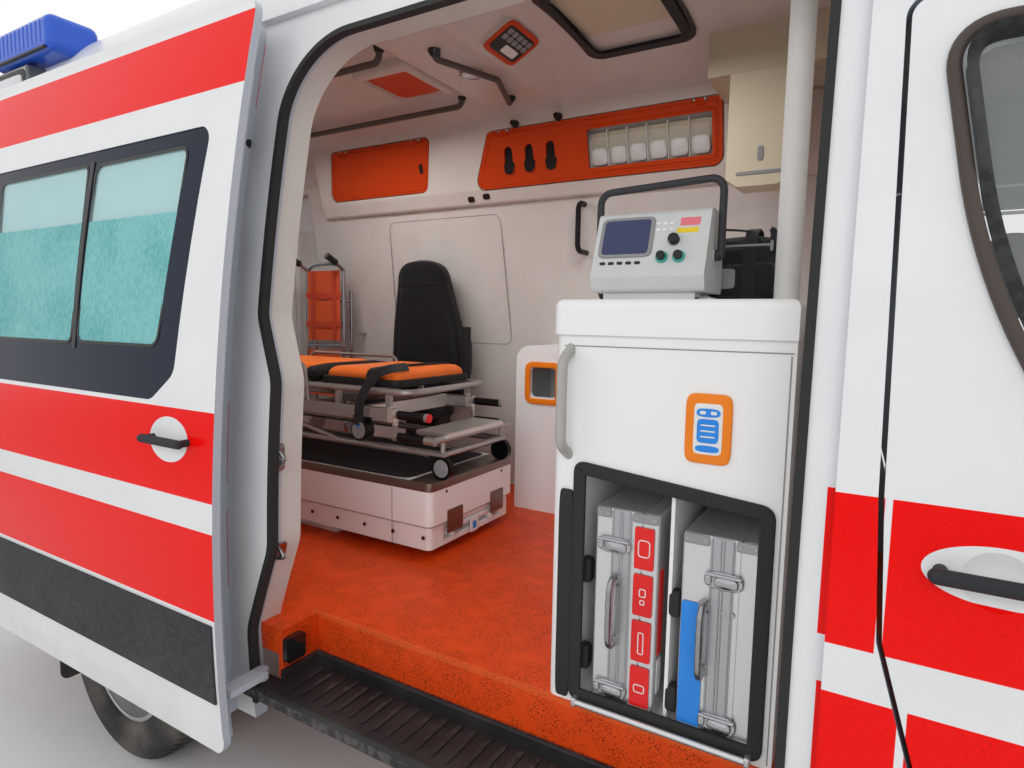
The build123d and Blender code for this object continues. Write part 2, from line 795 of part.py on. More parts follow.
def make_running_gear():
    """Wheels, the rear axle on its springs, the steered knuckles and the front suspension."""
    corners = (
        ("front_left", front_axle_x, 1),
        ("front_right", front_axle_x, -1),
        ("rear_left", rear_axle_x, 1),
        ("rear_right", rear_axle_x, -1),
    )
    for name, x, side in corners:
        nodes["tyre_" + name], nodes["rim_" + name] = make_wheel(x, side)
    centre = tyre_centre_y
    axle = rod((rear_axle_x, -centre - 50, tyre_radius), (rear_axle_x, centre + 50, tyre_radius), spindle_radius)
    axle += rod((rear_axle_x, -centre + 35, tyre_radius), (rear_axle_x, centre - 35, tyre_radius), 48)
    axle += Pos(rear_axle_x, 0, tyre_radius) * Sphere(differential_radius)
    for side in (1, -1):
        axle += rod(
            (rear_axle_x, side * (centre - 75), tyre_radius),
            (rear_axle_x, side * (centre - 50), tyre_radius),
            brake_disc_radius,
        )
    eyes = []
    for side in (1, -1):
        solids, holes = leaf_spring(side * spring_y)
        eyes += holes
        for solid in solids:
            axle += solid
    axle -= eyes
    shaft_end = (gearbox_back - 0.3, 0, gearbox_bottom + 70)
    axle += rod((rear_axle_x + 60, 0, tyre_radius + 10), shaft_end, shaft_radius) & block(
        (-far, gearbox_back - 0.3), (-far, far), (0, far)
    )
    nodes["rear_axle"] = axle
    for name, side in (("left", 1), ("right", -1)):
        kp = side * kingpin_y
        x = front_axle_x
        spindle = rod((x, kp, tyre_radius), (x, side * (centre + 50), tyre_radius), spindle_radius)
        disc = rod(
            (x, side * (centre - 75), tyre_radius), (x, side * (centre - 50), tyre_radius), brake_disc_radius
        )
        upright = block((x - 38, x + 38), (kp - 32, kp + 32), (kingpin_low, kingpin_high))
        upright = fillet(upright.edges().filter_by(Axis.Z), 14)
        arm = block((x - 190, x), (kp - 22, kp + 22), (tyre_radius - 80, tyre_radius - 50))
        knuckle = spindle + disc + upright + arm
        for z in (kingpin_low, kingpin_high):
            knuckle -= Pos(x, kp, z) * Cylinder(kingpin_radius + pin_clearance, 80)
        nodes["knuckle_" + name] = knuckle
    x = front_axle_x
    beam = block((x - 90, x + 90), (-500, 500), (kingpin_low - 60, kingpin_low - 10))
    beam = fillet(beam.edges().filter_by(Axis.Y), 18)
    for side in (1, -1):
        kp = side * kingpin_y
        inner, outer = sorted((side * 480, kp + side * 26))
        beam += block((x - 32, x + 32), (inner, outer), (kingpin_low - 46, kingpin_low - 6))
        beam += Pos(x, kp, kingpin_low) * Cylinder(kingpin_radius, 66)
        beam += Pos(x, kp, kingpin_high) * Cylinder(kingpin_radius, 66)
        beam += Pos(x, kp, kingpin_high + 110) * Cylinder(strut_radius, 208)
        foot = sorted_pair(side * (rail_y - 30), side * (rail_y + 30))
        beam += block((x - 45, x + 45), foot, (kingpin_low - 40, rail_bottom))
    nodes["front_suspension"] = beam


gearbox_back = front_axle_x - 500
gearbox_bottom = 400


def make_underframe():
    """Two long rails with cross-members, the fuel tank, and the engine with its gearbox as plain blocks."""
    frame = None
    rail_front = nose_x - 370
    for side in (1, -1):
        y = side * rail_y
        rail = block(
            (tail_x + 90, rail_front), (y - rail_width / 2, y + rail_width / 2), (rail_bottom, rail_bottom + rail_depth)
        )
        frame = rail if frame is None else frame + rail
    members = [tail_x + 130, tail_x + 385, rear_axle_x + 514, -300, front_axle_x - 1351, front_axle_x - 551]
    members += [front_axle_x + 249, rail_front - 60]
    for x in members:
        frame += block((x - 40, x + 40), (-rail_y, rail_y), (rail_bottom + 20, rail_bottom + rail_depth - 10))
    for side in (1, -1):
        for end in (-1, 1):
            x = rear_axle_x + end * spring_reach
            y = side * (rail_y + rail_width / 2)
            bracket = sorted_pair(y - side * rail_width / 2, y)
            frame += block((x - 30, x + 30), bracket, (spring_eye_z - 30, rail_bottom + 10))
            frame += rod((x, y - side * 20, spring_eye_z), (x, y + side * 75, spring_eye_z), spring_pin_radius)
    tank_side = rail_y + rail_width / 2
    tank = soft_block((front_axle_x - 1400, front_axle_x - 700), (tank_side, tank_side + 330), (330, 570), 40)
    nodes["underframe"] = frame + tank
    engine_bottom = rail_bottom + rail_depth - 10
    engine = block((gearbox_back + 650, rail_front - 30), (-280, 280), (engine_bottom, 1050))
    engine += block((gearbox_back, gearbox_back + 700), (-140, 140), (gearbox_bottom, engine_bottom + 5)) - frame
    nodes["engine"] = engine


def make_room_shell():
    """The floor with its orange risers, the entry step, the moulded lining and the bulkhead."""
    arches = wheel_opening(rear_axle_x, wheel_opening_rear, 700, far)
    arches += mirrored(arches)
    front_arches = wheel_opening(front_axle_x, wheel_opening_front, 520, far)
    front_arches += mirrored(front_arches)
    slab_bottom = floor_height - floor_thickness
    step_well = block((step_back, bulkhead_x), (-far, -tread_in), (0, floor_height + 1))
    slab = void & block((tail_x + 12, bulkhead_x), (-far, far), (slab_bottom, floor_height))
    slab -= step_well
    riser_height = (step_height + 0.3, slab_bottom + 1)
    slab += block((step_back, opening_front), (-tread_in, -tread_in + 20), riser_height)
    slab += block((step_back - 20, step_back), (-belt_half_width + shell_thickness + 4, -tread_in + 20), riser_height)
    floor = slab - arches
    opening = along_y(outline(opening_outline, opening_radii), -far, -500)
    lining = (void - room) & block((room_back, bulkhead_x), (-far, far), (floor_height, far))
    back_way = block((-far, tail_x + 300), (-rear_door_half, rear_door_half), (0, rear_door_top))
    nodes["wall_lining"] = lining - opening - back_way - arches
    thickness = (bulkhead_x, bulkhead_x + bulkhead_thickness)
    bulkhead = void & block(thickness, (-far, far), (slab_bottom, far))
    hatch = outline([(-260, 1500), (120, 1500), (120, 2000), (-260, 2000)], 60)
    nodes["bulkhead"] = bulkhead - along_x(hatch, 0, far)
    nodes["entry_step"] = make_step()
    liners = []
    for x, radius, inner in (
        (rear_axle_x, wheel_opening_rear, 700),
        (front_axle_x, wheel_opening_front, 520),
    ):
        arch = wheel_opening(x, radius, inner, belt_half_width - shell_thickness - 15)
        arch -= wheel_opening(x, radius - 8, inner + 8, far)
        arch &= block((-far, far), (0, far), (tyre_radius + 70, far))
        arch -= wheel_opening(x, 120, 0, inner + 20)
        liners += [arch, mirrored(arch)]
    nodes["wheel_liners"] = Compound(children=liners)
    cab_floor_top = cab_floor_bottom + cab_floor_thickness
    cab_length = (bulkhead_x + bulkhead_thickness, front_axle_x - 1)
    cab_floor = void & block(cab_length, (-far, far), (cab_floor_bottom, cab_floor_top))
    nodes["floor"] = Compound(children=[floor, cab_floor - front_arches])
    make_dashboard(front_arches, cab_floor_top)


def make_step():
    """The moulded entry step: a ribbed tread with a raised lip inside and a rounded nose outside."""
    nose_y = -belt_half_width + 4
    tread = block((step_back, opening_front), (nose_y, -tread_in + 20), (step_height - step_thickness, step_height))
    tread = fillet(tread.edges().filter_by(Axis.X).group_by(Axis.Y)[0].group_by(Axis.Z)[-1], 14)
    lip = block((step_back, opening_front), (-tread_in - 16, -tread_in - 0.3), (step_height - 1, step_height + 32))
    lip = fillet(lip.edges().filter_by(Axis.X).group_by(Axis.Z)[-1], 6)
    end_lip = block((step_back, step_back + 16), (nose_y + 60, -tread_in - 8), (step_height - 1, step_height + 32))
    step = tread + lip + end_lip
    rib_pitch = 46
    rib_y = (nose_y + 34 - tread_in - 34) / 2
    count = int((opening_front - step_back - 90) / rib_pitch)
    rib_face = SlotOverall(abs(nose_y) - tread_in - 68, 16, rotation=90)
    for index in range(count):
        x = step_back + 60 + rib_pitch * index
        step += extrude(Plane((x, rib_y, step_height - 1)) * rib_face, 5)
    pocket_front = step_back
    pocket_back = opening_foot_x + 3
    step += block((pocket_back, pocket_front + 1), (nose_y, -belt_half_width + shell_thickness), (step_height - step_thickness, step_height))
    skirt_height = (sill_height + 20, step_height - step_thickness + 1)
    step += block((step_back, opening_front), (-tread_in, -tread_in + 20), skirt_height)
    for x in (step_back, (step_back + opening_front) / 2, opening_front - 20):
        step += block((x, x + 20), (nose_y + 80, -tread_in + 10), skirt_height)
    return step - nodes["door_seal"]


def make_dashboard(front_arches, cab_floor_top):
    """The dashboard with its steering wheel and column."""
    back = front_axle_x
    dash = outline(
        [
            (back - 351, 1000), (back - 331, 1260), (back - 191, 1330), (back + 129, 1320),
            (back + 129, cab_floor_top), (back + 9, cab_floor_top), (back - 51, 940),
        ],
        [40, 50, 30, 10, 5, 5, 40],
    )
    dashboard = (along_y(dash, -far, far) & void) - front_arches
    centre = (back - 481, 480, 1240)
    turned = Pos(*centre) * Rot(0, -58, 0)
    wheel = turned * Torus(185, 15)
    wheel += rod(centre, (back - 311, 480, 1140), 26)
    wheel += turned * Box(30, 372, 14)
    nodes["dashboard"] = dashboard + wheel


def cab_seat(y):
    """One cab seat: a plinth, a cushion, a leaning backrest and a headrest."""
    x = bulkhead_x
    cab_floor_top = cab_floor_bottom + cab_floor_thickness
    cushion = outline([(x + 330, 950), (x + 300, 1090), (x + 880, 1120), (x + 900, 970)], [30, 30, 60, 40])
    back = outline([(x + 335, 1000), (x + 245, 1590), (x + 350, 1600), (x + 470, 1080)], [30, 50, 50, 30])
    seat = along_y(cushion, y - 240, y + 240)
    seat = fillet(seat.edges().group_by(Axis.Y)[0] + seat.edges().group_by(Axis.Y)[-1], 22)
    rest = along_y(back, y - 230, y + 230)
    rest = fillet(rest.edges().group_by(Axis.Y)[0] + rest.edges().group_by(Axis.Y)[-1], 22)
    head = soft_block((x + 245, x + 340), (y - 130, y + 130), (1610, 1790), 30)
    posts = block((x + 285, x + 300), (y - 60, y - 45), (1560, 1640)) + block((x + 285, x + 300), (y + 45, y + 60), (1560, 1640))
    plinth = block((x + 345, x + 795), (y - 180, y + 180), (cab_floor_top, 975))
    return seat + rest + plinth + posts + head


def make_seats():
    """The two cab seats and the attendant's seat beside the stretcher."""
    middle = seat_front - 330
    rest = along_y(
        outline(
            [(middle - 270, 1170), (middle - 250, 1560), (middle - 205, 1930), (middle + 95, 1930),
             (middle + 215, 1560), (middle + 270, 1170)],
            [40, 150, 130, 120, 200, 40],
        ),
        590, 700,
    )
    rest = fillet(rest.edges().group_by(Axis.Y)[0], 34)
    cushion = soft_block((middle - 250, middle + 250), (312, 640), (1090, 1200), 40)
    bracket = block((middle - 120, middle + 120), (560, far), (1000, 1095)) & room
    stand = block((middle - 140, middle + 140), (380, 600), (floor_height, 1095))
    arm = rod((middle + 300, 560, 1230), (middle + 300, 560, 1570), 24) + Pos(middle + 300, 560, 1570) * Sphere(24)
    arm += rod((middle + 230, 620, 1250), (middle + 300, 560, 1250), 16)
    seat = rest + cushion + bracket + stand + arm
    nodes["seats"] = Compound(children=[cab_seat(480), cab_seat(-480), seat])


def make_cabinets():
    """The side cabinet with its worktop and recess, and the low cabinet along the left wall."""
    back = cabinet_front + cabinet_depth
    cabinet = block((cabinet_left, cabinet_right), (cabinet_front, back), (floor_height, worktop_top - worktop_thickness))
    cabinet = fillet(cabinet.edges().filter_by(Axis.Z).group_by(Axis.X)[0], 24)
    recess_face = outline(
        [(cabinet_left + 72, case_bottom - 0.3), (cabinet_left + 72, case_recess_top + 20),
         (cabinet_right - 32, case_recess_top - 20), (cabinet_right - 32, case_bottom - 0.3)],
        [4, 26, 26, 4],
    )
    cabinet -= along_y(recess_face, -far, back - 20)
    divider_x = cabinet_left + 288
    cabinet += block((divider_x - 4, divider_x + 4), (cabinet_front + 14, back - 19), (case_bottom - 1, case_recess_top - 20))
    worktop = block(
        (cabinet_left - 5, cabinet_right + 2), (cabinet_front - 10, back + 5),
        (worktop_top - worktop_thickness, worktop_top),
    )
    worktop = fillet(worktop.edges().filter_by(Axis.Z).group_by(Axis.X)[0], 26)
    worktop = fillet(worktop.edges().group_by(Axis.Z)[-1], 18)
    nodes["side_cabinet"] = cabinet + worktop
    low_back = seat_front + 305
    low_top = 1482
    low_face = 500
    face = outline(
        [(low_back, floor_height), (low_back, low_top), (bulkhead_x, low_top), (bulkhead_x, floor_height)], [2, 70, 2, 2]
    )
    low = along_y(face, low_face, far) & room
    hollow = block((low_back + 22, bulkhead_x - 20), (low_face + 22, far), (floor_height + 20, low_top - 24))
    hollow &= body_form(shell_thickness + lining_thickness + 20)
    grip_hole = outline(
        [(low_back + 75, 1240), (low_back + 75, 1380), (low_back + 215, 1380), (low_back + 215, 1240)], 26
    )
    nodes["low_cabinet"] = low - hollow - along_y(grip_hole, low_face - 50, low_face + 60)


def make_equipment():
    """The two cases, the monitor, the bag and the paper dispenser."""
    back = cabinet_front + cabinet_depth
    cases = []
    for x_from, x_to, top in (
        (cabinet_left + 112, cabinet_left + 262, 1180),
        (cabinet_left + 313, cabinet_left + 472, 1157),
    ):
        front = cabinet_front + 8
        case = soft_block((x_from, x_to), (front, back - 40), (case_bottom, top), 7)
        seam = (x_to - 40, x_to - 36)
        case -= block(seam, (front - 5, back), (case_bottom - 5, top + 5)) - block(
            seam, (front + 3, back - 43), (case_bottom + 3, top - 3)
        )
        grip_x = x_from + 52
        middle = (case_bottom + top) / 2
        grip = [(grip_x, front + 4, middle + 70), (grip_x, front - 34, middle + 70)]
        grip += [(grip_x, front - 34, middle - 70), (grip_x, front + 4, middle - 70)]
        cases.append(case + bent_tube(grip, 8, 16))
    nodes["equipment_cases"] = Compound(children=cases)
    left, right = cabinet_left + 25, cabinet_left + 300
    section = [(-640, worktop_top + 22), (-652, worktop_top + 60), (-598, worktop_top + 216), (-480, worktop_top + 216)]
    monitor = along_x(outline([*section, (-468, worktop_top + 22)], [14, 14, 18, 24, 14]), left, right)
    monitor += block((left + 25, right - 25), (-625, -490), (worktop_top + 0.3, worktop_top + 30))
    handle_out = 15
    handle = bent_tube(
        [(left - handle_out, -560, worktop_top + 130), (left - handle_out, -560, worktop_top + 275),
         (right + handle_out, -560, worktop_top + 290), (right + handle_out, -560, worktop_top + 105)],
        9, 30,
    )
    monitor += handle
    monitor += rod((left - handle_out, -560, worktop_top + 135), (left + 5, -560, worktop_top + 135), 13)
    monitor += rod((right - 5, -560, worktop_top + 110), (right + handle_out, -560, worktop_top + 110), 13)
    nodes["monitor"] = monitor
    nodes["equipment_bag"] = soft_block(
        (cabinet_left - 60, cabinet_right - 65), (back - 135, back), (worktop_top + 0.3, worktop_top + 180), 32
    )
    top = case_cupboard_bottom - 0.3
    shape = outline([(20, 2120), (20, top), (262, top), (262, 2180), (200, 2090), (60, 2090)], [16, 2, 2, 16, 20, 20])
    dispenser = along_y(Pos(bulkhead_x - 455, 0) * shape, 300, 430)
    nodes["paper_dispenser"] = dispenser


def make_upper_cupboards():
    """The moulded housing along the left wall, with two lids that lift and their hinges."""
    housing_bottom = 2195
    housing_back = tail_x + 460
    profile = outline(
        [(far / 4, housing_bottom), (690, housing_bottom), (655, 2262), (585, 2545), (570, 2720), (far / 4, 2720)],
        [2, 24, 40, 60, 10, 2],
    )
    housing = along_x(profile, housing_back, bulkhead_x) & room
    lids = (
        ("rear", housing_back + 85, housing_back + 865, 2285, 2545, 70, -60),
        ("front", housing_back + 1120, bulkhead_x - 525, 2262, 2520, 110, 0),
    )
    for name, x_from, x_to, low_z, high_z, lean_back, lean_front in lids:
        low_y, high_y = 655, 585
        ends = [(x_from, low_z), (x_from + lean_back, high_z), (x_to, high_z), (x_to + lean_front, low_z)]
        lid_face = outline([(x, z) for x, z in ends], [40, 26, 26, 40])
        pocket = along_x(
            polygon([(low_y - 90, low_z - 6), (high_y - 90, high_z + 6), (high_y + 24, high_z + 6), (low_y + 24, low_z - 6)]),
            x_from - 6, x_to + 6,
        )
        housing -= pocket & along_y(offset(lid_face, 6), 300, far)
        hollow = along_y(offset(lid_face, -12), 600, far) & body_form(shell_thickness + lining_thickness + 12)
        housing -= hollow
        plate = along_x(
            polygon([(low_y, low_z), (high_y, high_z), (high_y + 13, high_z), (low_y + 13, low_z)]), x_from, x_to
        )
        lid = plate & along_y(lid_face, 300, far)
        if name == "front":
            for x in (x_from + 215, x_from + 330, x_from + 445):
                lid -= along_y(Pos(x, 2385) * SlotOverall(120, 46, rotation=90), 300, far)
            bins = [(x_to - 600, 2300), (x_to - 600, 2470), (x_to - 40, 2470), (x_to - 40, 2300)]
            lid -= along_y(outline(bins, 14), 300, far)
        hinge_z = high_z - 5
        for x in (x_from + lean_back + 90, x_to - 90):
            parts = hinge((x, high_y + 1, hinge_z), (1, 0, 0), 40, 5, 2)
            strap = block((x - 19.5, x + 19.5), (high_y + 1, high_y + 13), (high_z - 30, high_z - 7))
            lid = lid - parts["fixed_room"] + (parts["knuckle"] + strap) - parts["bore"]
            leaf = parts["fixed"]
            for end in (-1, 1):
                sides = sorted_pair(x + end * 19.8, x + end * 32)
                lid -= block(sides, (high_y - 15, high_y + 55), (high_z - 21, high_z + 5))
                leaf += block(sorted_pair(x + end * 20, x + end * 26), (high_y - 2, high_y + 50), (high_z - 10, high_z))
            housing += leaf - parts["knuckle_room"]
        nodes["cupboard_flap_" + name] = lid
    over_cabinet = block((bulkhead_x - 515, bulkhead_x), (300, 560), (case_cupboard_bottom, far)) & room
    nodes["upper_cupboards"] = Compound(children=[housing & room, over_cabinet])


def make_stretcher():
    """The stretcher platform, the stretcher frame standing on it, its pads and the carry chair."""
    half = platform_width / 2
    table = block((platform_back, platform_front), (-half, half), (platform_skirt_top + 12, platform_top))
    table = fillet(table.edges().filter_by(Axis.Z), 28)
    table = fillet(table.edges().group_by(Axis.Z)[-1], 6)
    skirt = block((platform_back + 14, platform_front - 14), (-half + 14, half - 14), (platform_bottom, platform_skirt_top))
    skirt = fillet(skirt.edges().filter_by(Axis.Z), 22)
    neck = block(
        (platform_back + 26, platform_front - 26), (-half + 26, half - 26), (platform_skirt_top - 1, platform_skirt_top + 13)
    )
    end = platform_front - 14
    skirt -= block((end - 30, end + 1), (-200, 200), (platform_bottom + 20, platform_skirt_top - 14))
    roller_z = platform_bottom + 52
    for side in (1, -1):
        skirt += block((end - 31, end + 4), sorted_pair(side * 132, side * 146), (platform_bottom + 22, platform_skirt_top - 16))
    skirt += rod((end - 14, -134, roller_z), (end - 14, 134, roller_z), 15)
    foot_x = platform_back + platform_length / 2
    for x in (foot_x - 520, foot_x + 270):
        skirt += soft_block((x - 150, x + 150), (-half + 60, half - 60), (floor_height, platform_bottom + 2), 0.8)
    nodes["stretcher_platform"] = table + skirt + neck
    nodes["stretcher_frame"] = make_stretcher_frame()
    pads = []
    for x_from, x_to in pad_sections:
        pads.append(
            soft_block(
                (stretcher_back + x_from, stretcher_back + x_to), (-stretcher_half + 34, stretcher_half - 34),
                (pad_bottom, pad_bottom + pad_thickness), 18,
            )
        )
    panels = []
    for z_from, z_to in ((1120, 1400), (1460, 1880)):
        panels.append(soft_block((chair_x + 18, chair_x + 292), (chair_y - 16, chair_y - 8.3), (z_from, z_to), 2))
    nodes["pads"] = Compound(children=pads + panels)
    chair = None
    for x in (chair_x, chair_x + 310):
        for y in (chair_y, chair_y + 62):
            post = rod((x, y, 985), (x, y, 1820 + chair_y - y), 11)
            chair = post if chair is None else chair + post
        handle = bent_tube(
            [(x, chair_y, 1820), (x, chair_y, 1885), (x, chair_y - 70, 1925)], 11, 26
        )
        chair += handle + rod((x, chair_y - 62, 1920.5), (x, chair_y - 130, 1955), 15)
    for z in (1010, 1200, 1430, 1700):
        for y in (chair_y, chair_y + 62):
            chair += rod((chair_x, y, z), (chair_x + 310, y, z), 8)
        for x in (chair_x, chair_x + 310):
            chair += rod((x, chair_y, z), (x, chair_y + 62, z), 8)
    for x in (chair_x, chair_x + 310):
        chair += Plane((x, chair_y + 62, 940), z_dir=(1, 0, 0)) * Cylinder(60, 24)
        chair += rod((x, chair_y + 200, 1500), (x, chair_y + 62, 1500), 8)
    nodes["carry_chair"] = chair & room


def make_stretcher_frame():
    """Side rails, the tube loop that carries the pads, folded legs, castors and the guard loops."""
    z = pad_bottom - 13.3
    rail_z = pad_bottom - 105
    low = platform_top + 95
    tube_y = stretcher_half - 15
    front = stretcher_front
    frame = None
    for side in (1, -1):
        y = side * tube_y
        rail = soft_block(
            (stretcher_back + 60, front - 290), sorted_pair(y - side * 14, y + side * 12), (rail_z - 28, rail_z + 28), 6
        )
        frame = rail if frame is None else frame + rail
        loop = [
            (stretcher_back, 0, z), (stretcher_back, y, z), (loop_front, y, z), (loop_front, 0, z),
        ]
        frame += bent_tube(loop, 13, 60)
        for x in (stretcher_back + 200, stretcher_back + 760, front - 600, front - 330):
            frame += block((x - 12, x + 12), sorted_pair(y - side * 8, y + side * 8), (rail_z, z))
        frame += rod((stretcher_back + 120, y * 0.8, low), (front - 96, y * 0.8, low), 14)
        for x_from, x_to in ((stretcher_back + 260, front - 820), (front - 640, stretcher_back + 700)):
            frame += rod((x_from, y * 0.8, low), (x_to, y * 0.96, rail_z), 11)
        for x in (stretcher_back + 150, front - 110):
            frame += rod((x, y * 0.8, low), (x, y * 0.8, platform_top + castor_radius), 10)
            frame += Pos(x, y * 0.8, platform_top + castor_radius + 0.3) * Rot(90, 0, 0) * Cylinder(castor_radius, 26)
        guard = [
            (guard_back, y + side * 4, rail_z), (guard_back, y + side * 26, z + 95),
            (guard_front, y + side * 26, z + 95), (guard_front, y + side * 4, rail_z),
        ]
        frame += bent_tube(guard, 8, 40)
        frame += rod((front - 300, y, rail_z + 6), (front - 135, y, rail_z + 6), 17)
        frame += block((front - 306, front - 292), sorted_pair(y - side * 8, y + side * 8), (rail_z - 96, rail_z))
        frame += rod((front - 300, y, rail_z - 79), (front - 104, y, rail_z - 79), 17)
        frame += rod((front - 110, y * 0.8, rail_z - 79), (front - 110, y * 0.8, low), 10)
    for x in (stretcher_back + 60 + 30, stretcher_back + 420, stretcher_back + 1120, front - 440):
        frame += rod((x, -tube_y, z + 1.7), (x, tube_y, z + 1.7), 11)
    for x in (stretcher_back + 150, front - 110):
        frame += rod((x, -tube_y * 0.8, low), (x, tube_y * 0.8, low), 13)
    frame += rod((front - 110, -tube_y, rail_z - 79), (front - 110, tube_y, rail_z - 79), 13)
    frame += block((front - 250, front - 100), (-200, 200), (rail_z - 71, rail_z - 59))
    frame += soft_block((front - 470, front - 440), (-tube_y + 6, tube_y - 6), (rail_z - 30, rail_z + 30), 5)
    frame += rod((front - 460, -tube_y - 30, rail_z - 66), (front - 460, -tube_y + 10, rail_z - 66), 44)
    return frame


def make_ceiling():
    """The sloped console, hatch, vents, roof window and the grab rails that hang from them."""
    console = along_y(
        outline(
            [(pod_x - 235, 2725), (pod_x - 185, 2588), (pod_x + 150, 2588), (pod_x + 345, 2690), (pod_x + 345, 2725)],
            [4, 40, 60, 6, 4],
        ),
        -400, 460,
    )
    console = fillet(console.edges().group_by(Axis.Y)[0] + console.edges().group_by(Axis.Y)[-1], 2) & room
    panel_face = Plane((pod_x + 232, -10, 2633), z_dir=(0.463, 0, -0.886))
    panel = panel_face * extrude(RectangleRounded(150, 216, 26), 16, both=True)
    lamp = Pos(pod_x + 5, 70, 2586) * Cylinder(52, 14)
    lamp = fillet(lamp.edges().group_by(Axis.Z)[0], 5)
    hatch = soft_block((pod_x - 545, pod_x - 240), (-40, 300), (2612, 2740), 22)
    hatch -= soft_block((pod_x - 515, pod_x - 270), (-10, 270), (2590, 2628), 12)
    pieces = [console + (panel & room) + lamp, hatch & room]
    for x, y in ((pod_x - 320, -400), (pod_x + 290, -480), (pod_x + 800, -430), (pod_x - 1150, -400)):
        vent = Pos(x, y, 2640) * extrude(Ellipse(46, 34), 40, both=True)
        pieces.append(vent & ceiling_skin(x, y))
    frame = outline(
        [(pod_x + 430, -250), (pod_x + 430, 300), (pod_x + 850, 300), (pod_x + 850, -250)], 60
    )
    window = along_z(frame, 2500, 2760) - along_z(offset(frame, -34), 2400, 2800)
    pieces.append(window & body_slice(14))
    nodes["ceiling_fittings"] = Compound(children=pieces)
    handle = [(pod_x, -165, 2587.7), (pod_x, -165, 2556), (pod_x + 105, 110, 2552), (pod_x, 385, 2556), (pod_x, 385, 2587.7)]
    rails = [bent_tube(handle, 12, 22)]
    for x_from, x_to, y in ((pod_x - 700, pod_x - 265, -170), (pod_x - 1290, pod_x - 265, 390)):
        top = room_ceiling(y)
        rails.append(bent_tube(
            [(x_from, y, top), (x_from, y, rail_drop_z), (x_to, y, rail_drop_z), (x_to, y, top)], 13, 30
        ))
    x = cabinet_left + 40
    grip = [(x, cabinet_front + 6, 1290), (x, cabinet_front - 42, 1320), (x, cabinet_front - 42, 1510), (x, cabinet_front + 6, 1540)]
    rails.append(bent_tube(grip, 12, 36) - nodes["side_cabinet"])
    x = bulkhead_x - 1180
    wall = [(x, 800, 1935), (x, 660, 1935), (x, 660, 2160), (x, 800, 2160)]
    rails.append(bent_tube(wall, 13, 36) & room)
    duct_x = bulkhead_x - 110
    rails.append(rod((duct_x, -500, worktop_top + 0.3), (duct_x, -500, 2690), 28) & room)
    nodes["grab_rails"] = Compound(children=rails)


def ceiling_skin(x, y):
    """A thin layer under the lining near a place, for vents that follow the ceiling."""
    zone = block((x - 80, x + 80), (y - 80, y + 80), (2400, far))
    return zone & body_slice(14)


def body_slice(depth):
    """The room without its inner core, so only the layer of the given depth is left."""
    inset = shell_thickness + lining_thickness
    return room - body_form(inset + depth)


def room_ceiling(y):
    """The height of the lining's underside over a line at y."""
    probe = room & block((-1500, -1499), (abs(y) + 13, abs(y) + 14), (0, far))
    return probe.bounding_box().max.Z - 0.3


def make_outside():
    """Lamps, the rear bumper and the blue beacons on the roof."""
    lamps = [nodes.pop("headlamps")]
    for side in (1, -1):
        face = outline([(side * y, z) for y, z in tail_lamp_corners], 26)
        lamp = along_x(face, -far, tail_x + 60) & body_form(0) - body_form(30)
        lamps.append(lamp)
        nodes["side_panel_" + ("left" if side > 0 else "right")] -= lamp
        side_lamp = soft_block((tail_x + 55, tail_x + 430), sorted_pair(side * 700, side * 842), (2440, 2585), 10)
        lamps.append(side_lamp - outer_form)
    riser_lamp = along_x(outline([(-925, 588), (-925, 665), (-855, 665), (-855, 588)], 14), step_back, step_back + 18)
    nodes["lamps"] = Compound(children=[*lamps, riser_lamp])
    bumper = block((tail_x - bumper_reach, tail_x - 0.3), (-900, 900), (sill_height + 30, rear_door_bottom - 40))
    bumper = fillet(bumper.edges().filter_by(Axis.Z).group_by(Axis.X)[0], 50)
    bumper = fillet(bumper.edges().group_by(Axis.Z)[-1], 12)
    bumper -= block((-far, tail_x - bumper_reach + 12), (-260, 260), (sill_height + 60, rear_door_bottom - 80))
    nodes["bumpers"] = Compound(children=[nodes.pop("bumper_front"), bumper])
    beacons = []
    for side in (1, -1):
        y = side * 560
        front = soft_block(
            (roof_front_x + 280, roof_front_x + 640), (y - 115, y + 115), (roof_height - 200, roof_height + 60), 46
        )
        rear = soft_block(
            (tail_x + 135, tail_x + 635), sorted_pair(side * 660, side * 850), (2600, 2740), 34
        )
        beacons += [front - outer_form, rear - outer_form]
    nodes["blue_beacons"] = Compound(children=beacons)


make_body()
make_front_doors()
make_rear_doors()
make_sliding_door()
make_side_trim()
wheel_places = {"rear": rear_axle_x, "front": front_axle_x}
for axle, x in wheel_places.items():
    for side_name, side in (("left", 1), ("right", -1)):
        tyre, rim = make_wheel(x, side)
        nodes[f"tyre_{axle}_{side_name}"] = tyre
        nodes[f"rim_{axle}_{side_name}"] = rim
make_running_gear()
make_underframe()
make_room_shell()
make_seats()
make_cabinets()
make_equipment()
make_upper_cupboards()
make_stretcher()
make_ceiling()
make_outside()
nodes["side_panels"] = Compound(children=[nodes.pop("side_panel_left"), nodes.pop("side_panel_right")])

os.makedirs("parts", exist_ok=True)
for name, piece in nodes.items():
    export_step(piece, os.path.join("parts", name + ".step"))
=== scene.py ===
"""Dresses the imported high-roof ambulance van: finishes, soft goods, trim, light and camera."""

from __future__ import annotations

import json
import logging
import math
from dataclasses import dataclass, field, replace
from enum import Enum
from typing import Callable, Sequence

import bpy
import numpy as np
from mathutils import Matrix, Vector
from mathutils.bvhtree import BVHTree

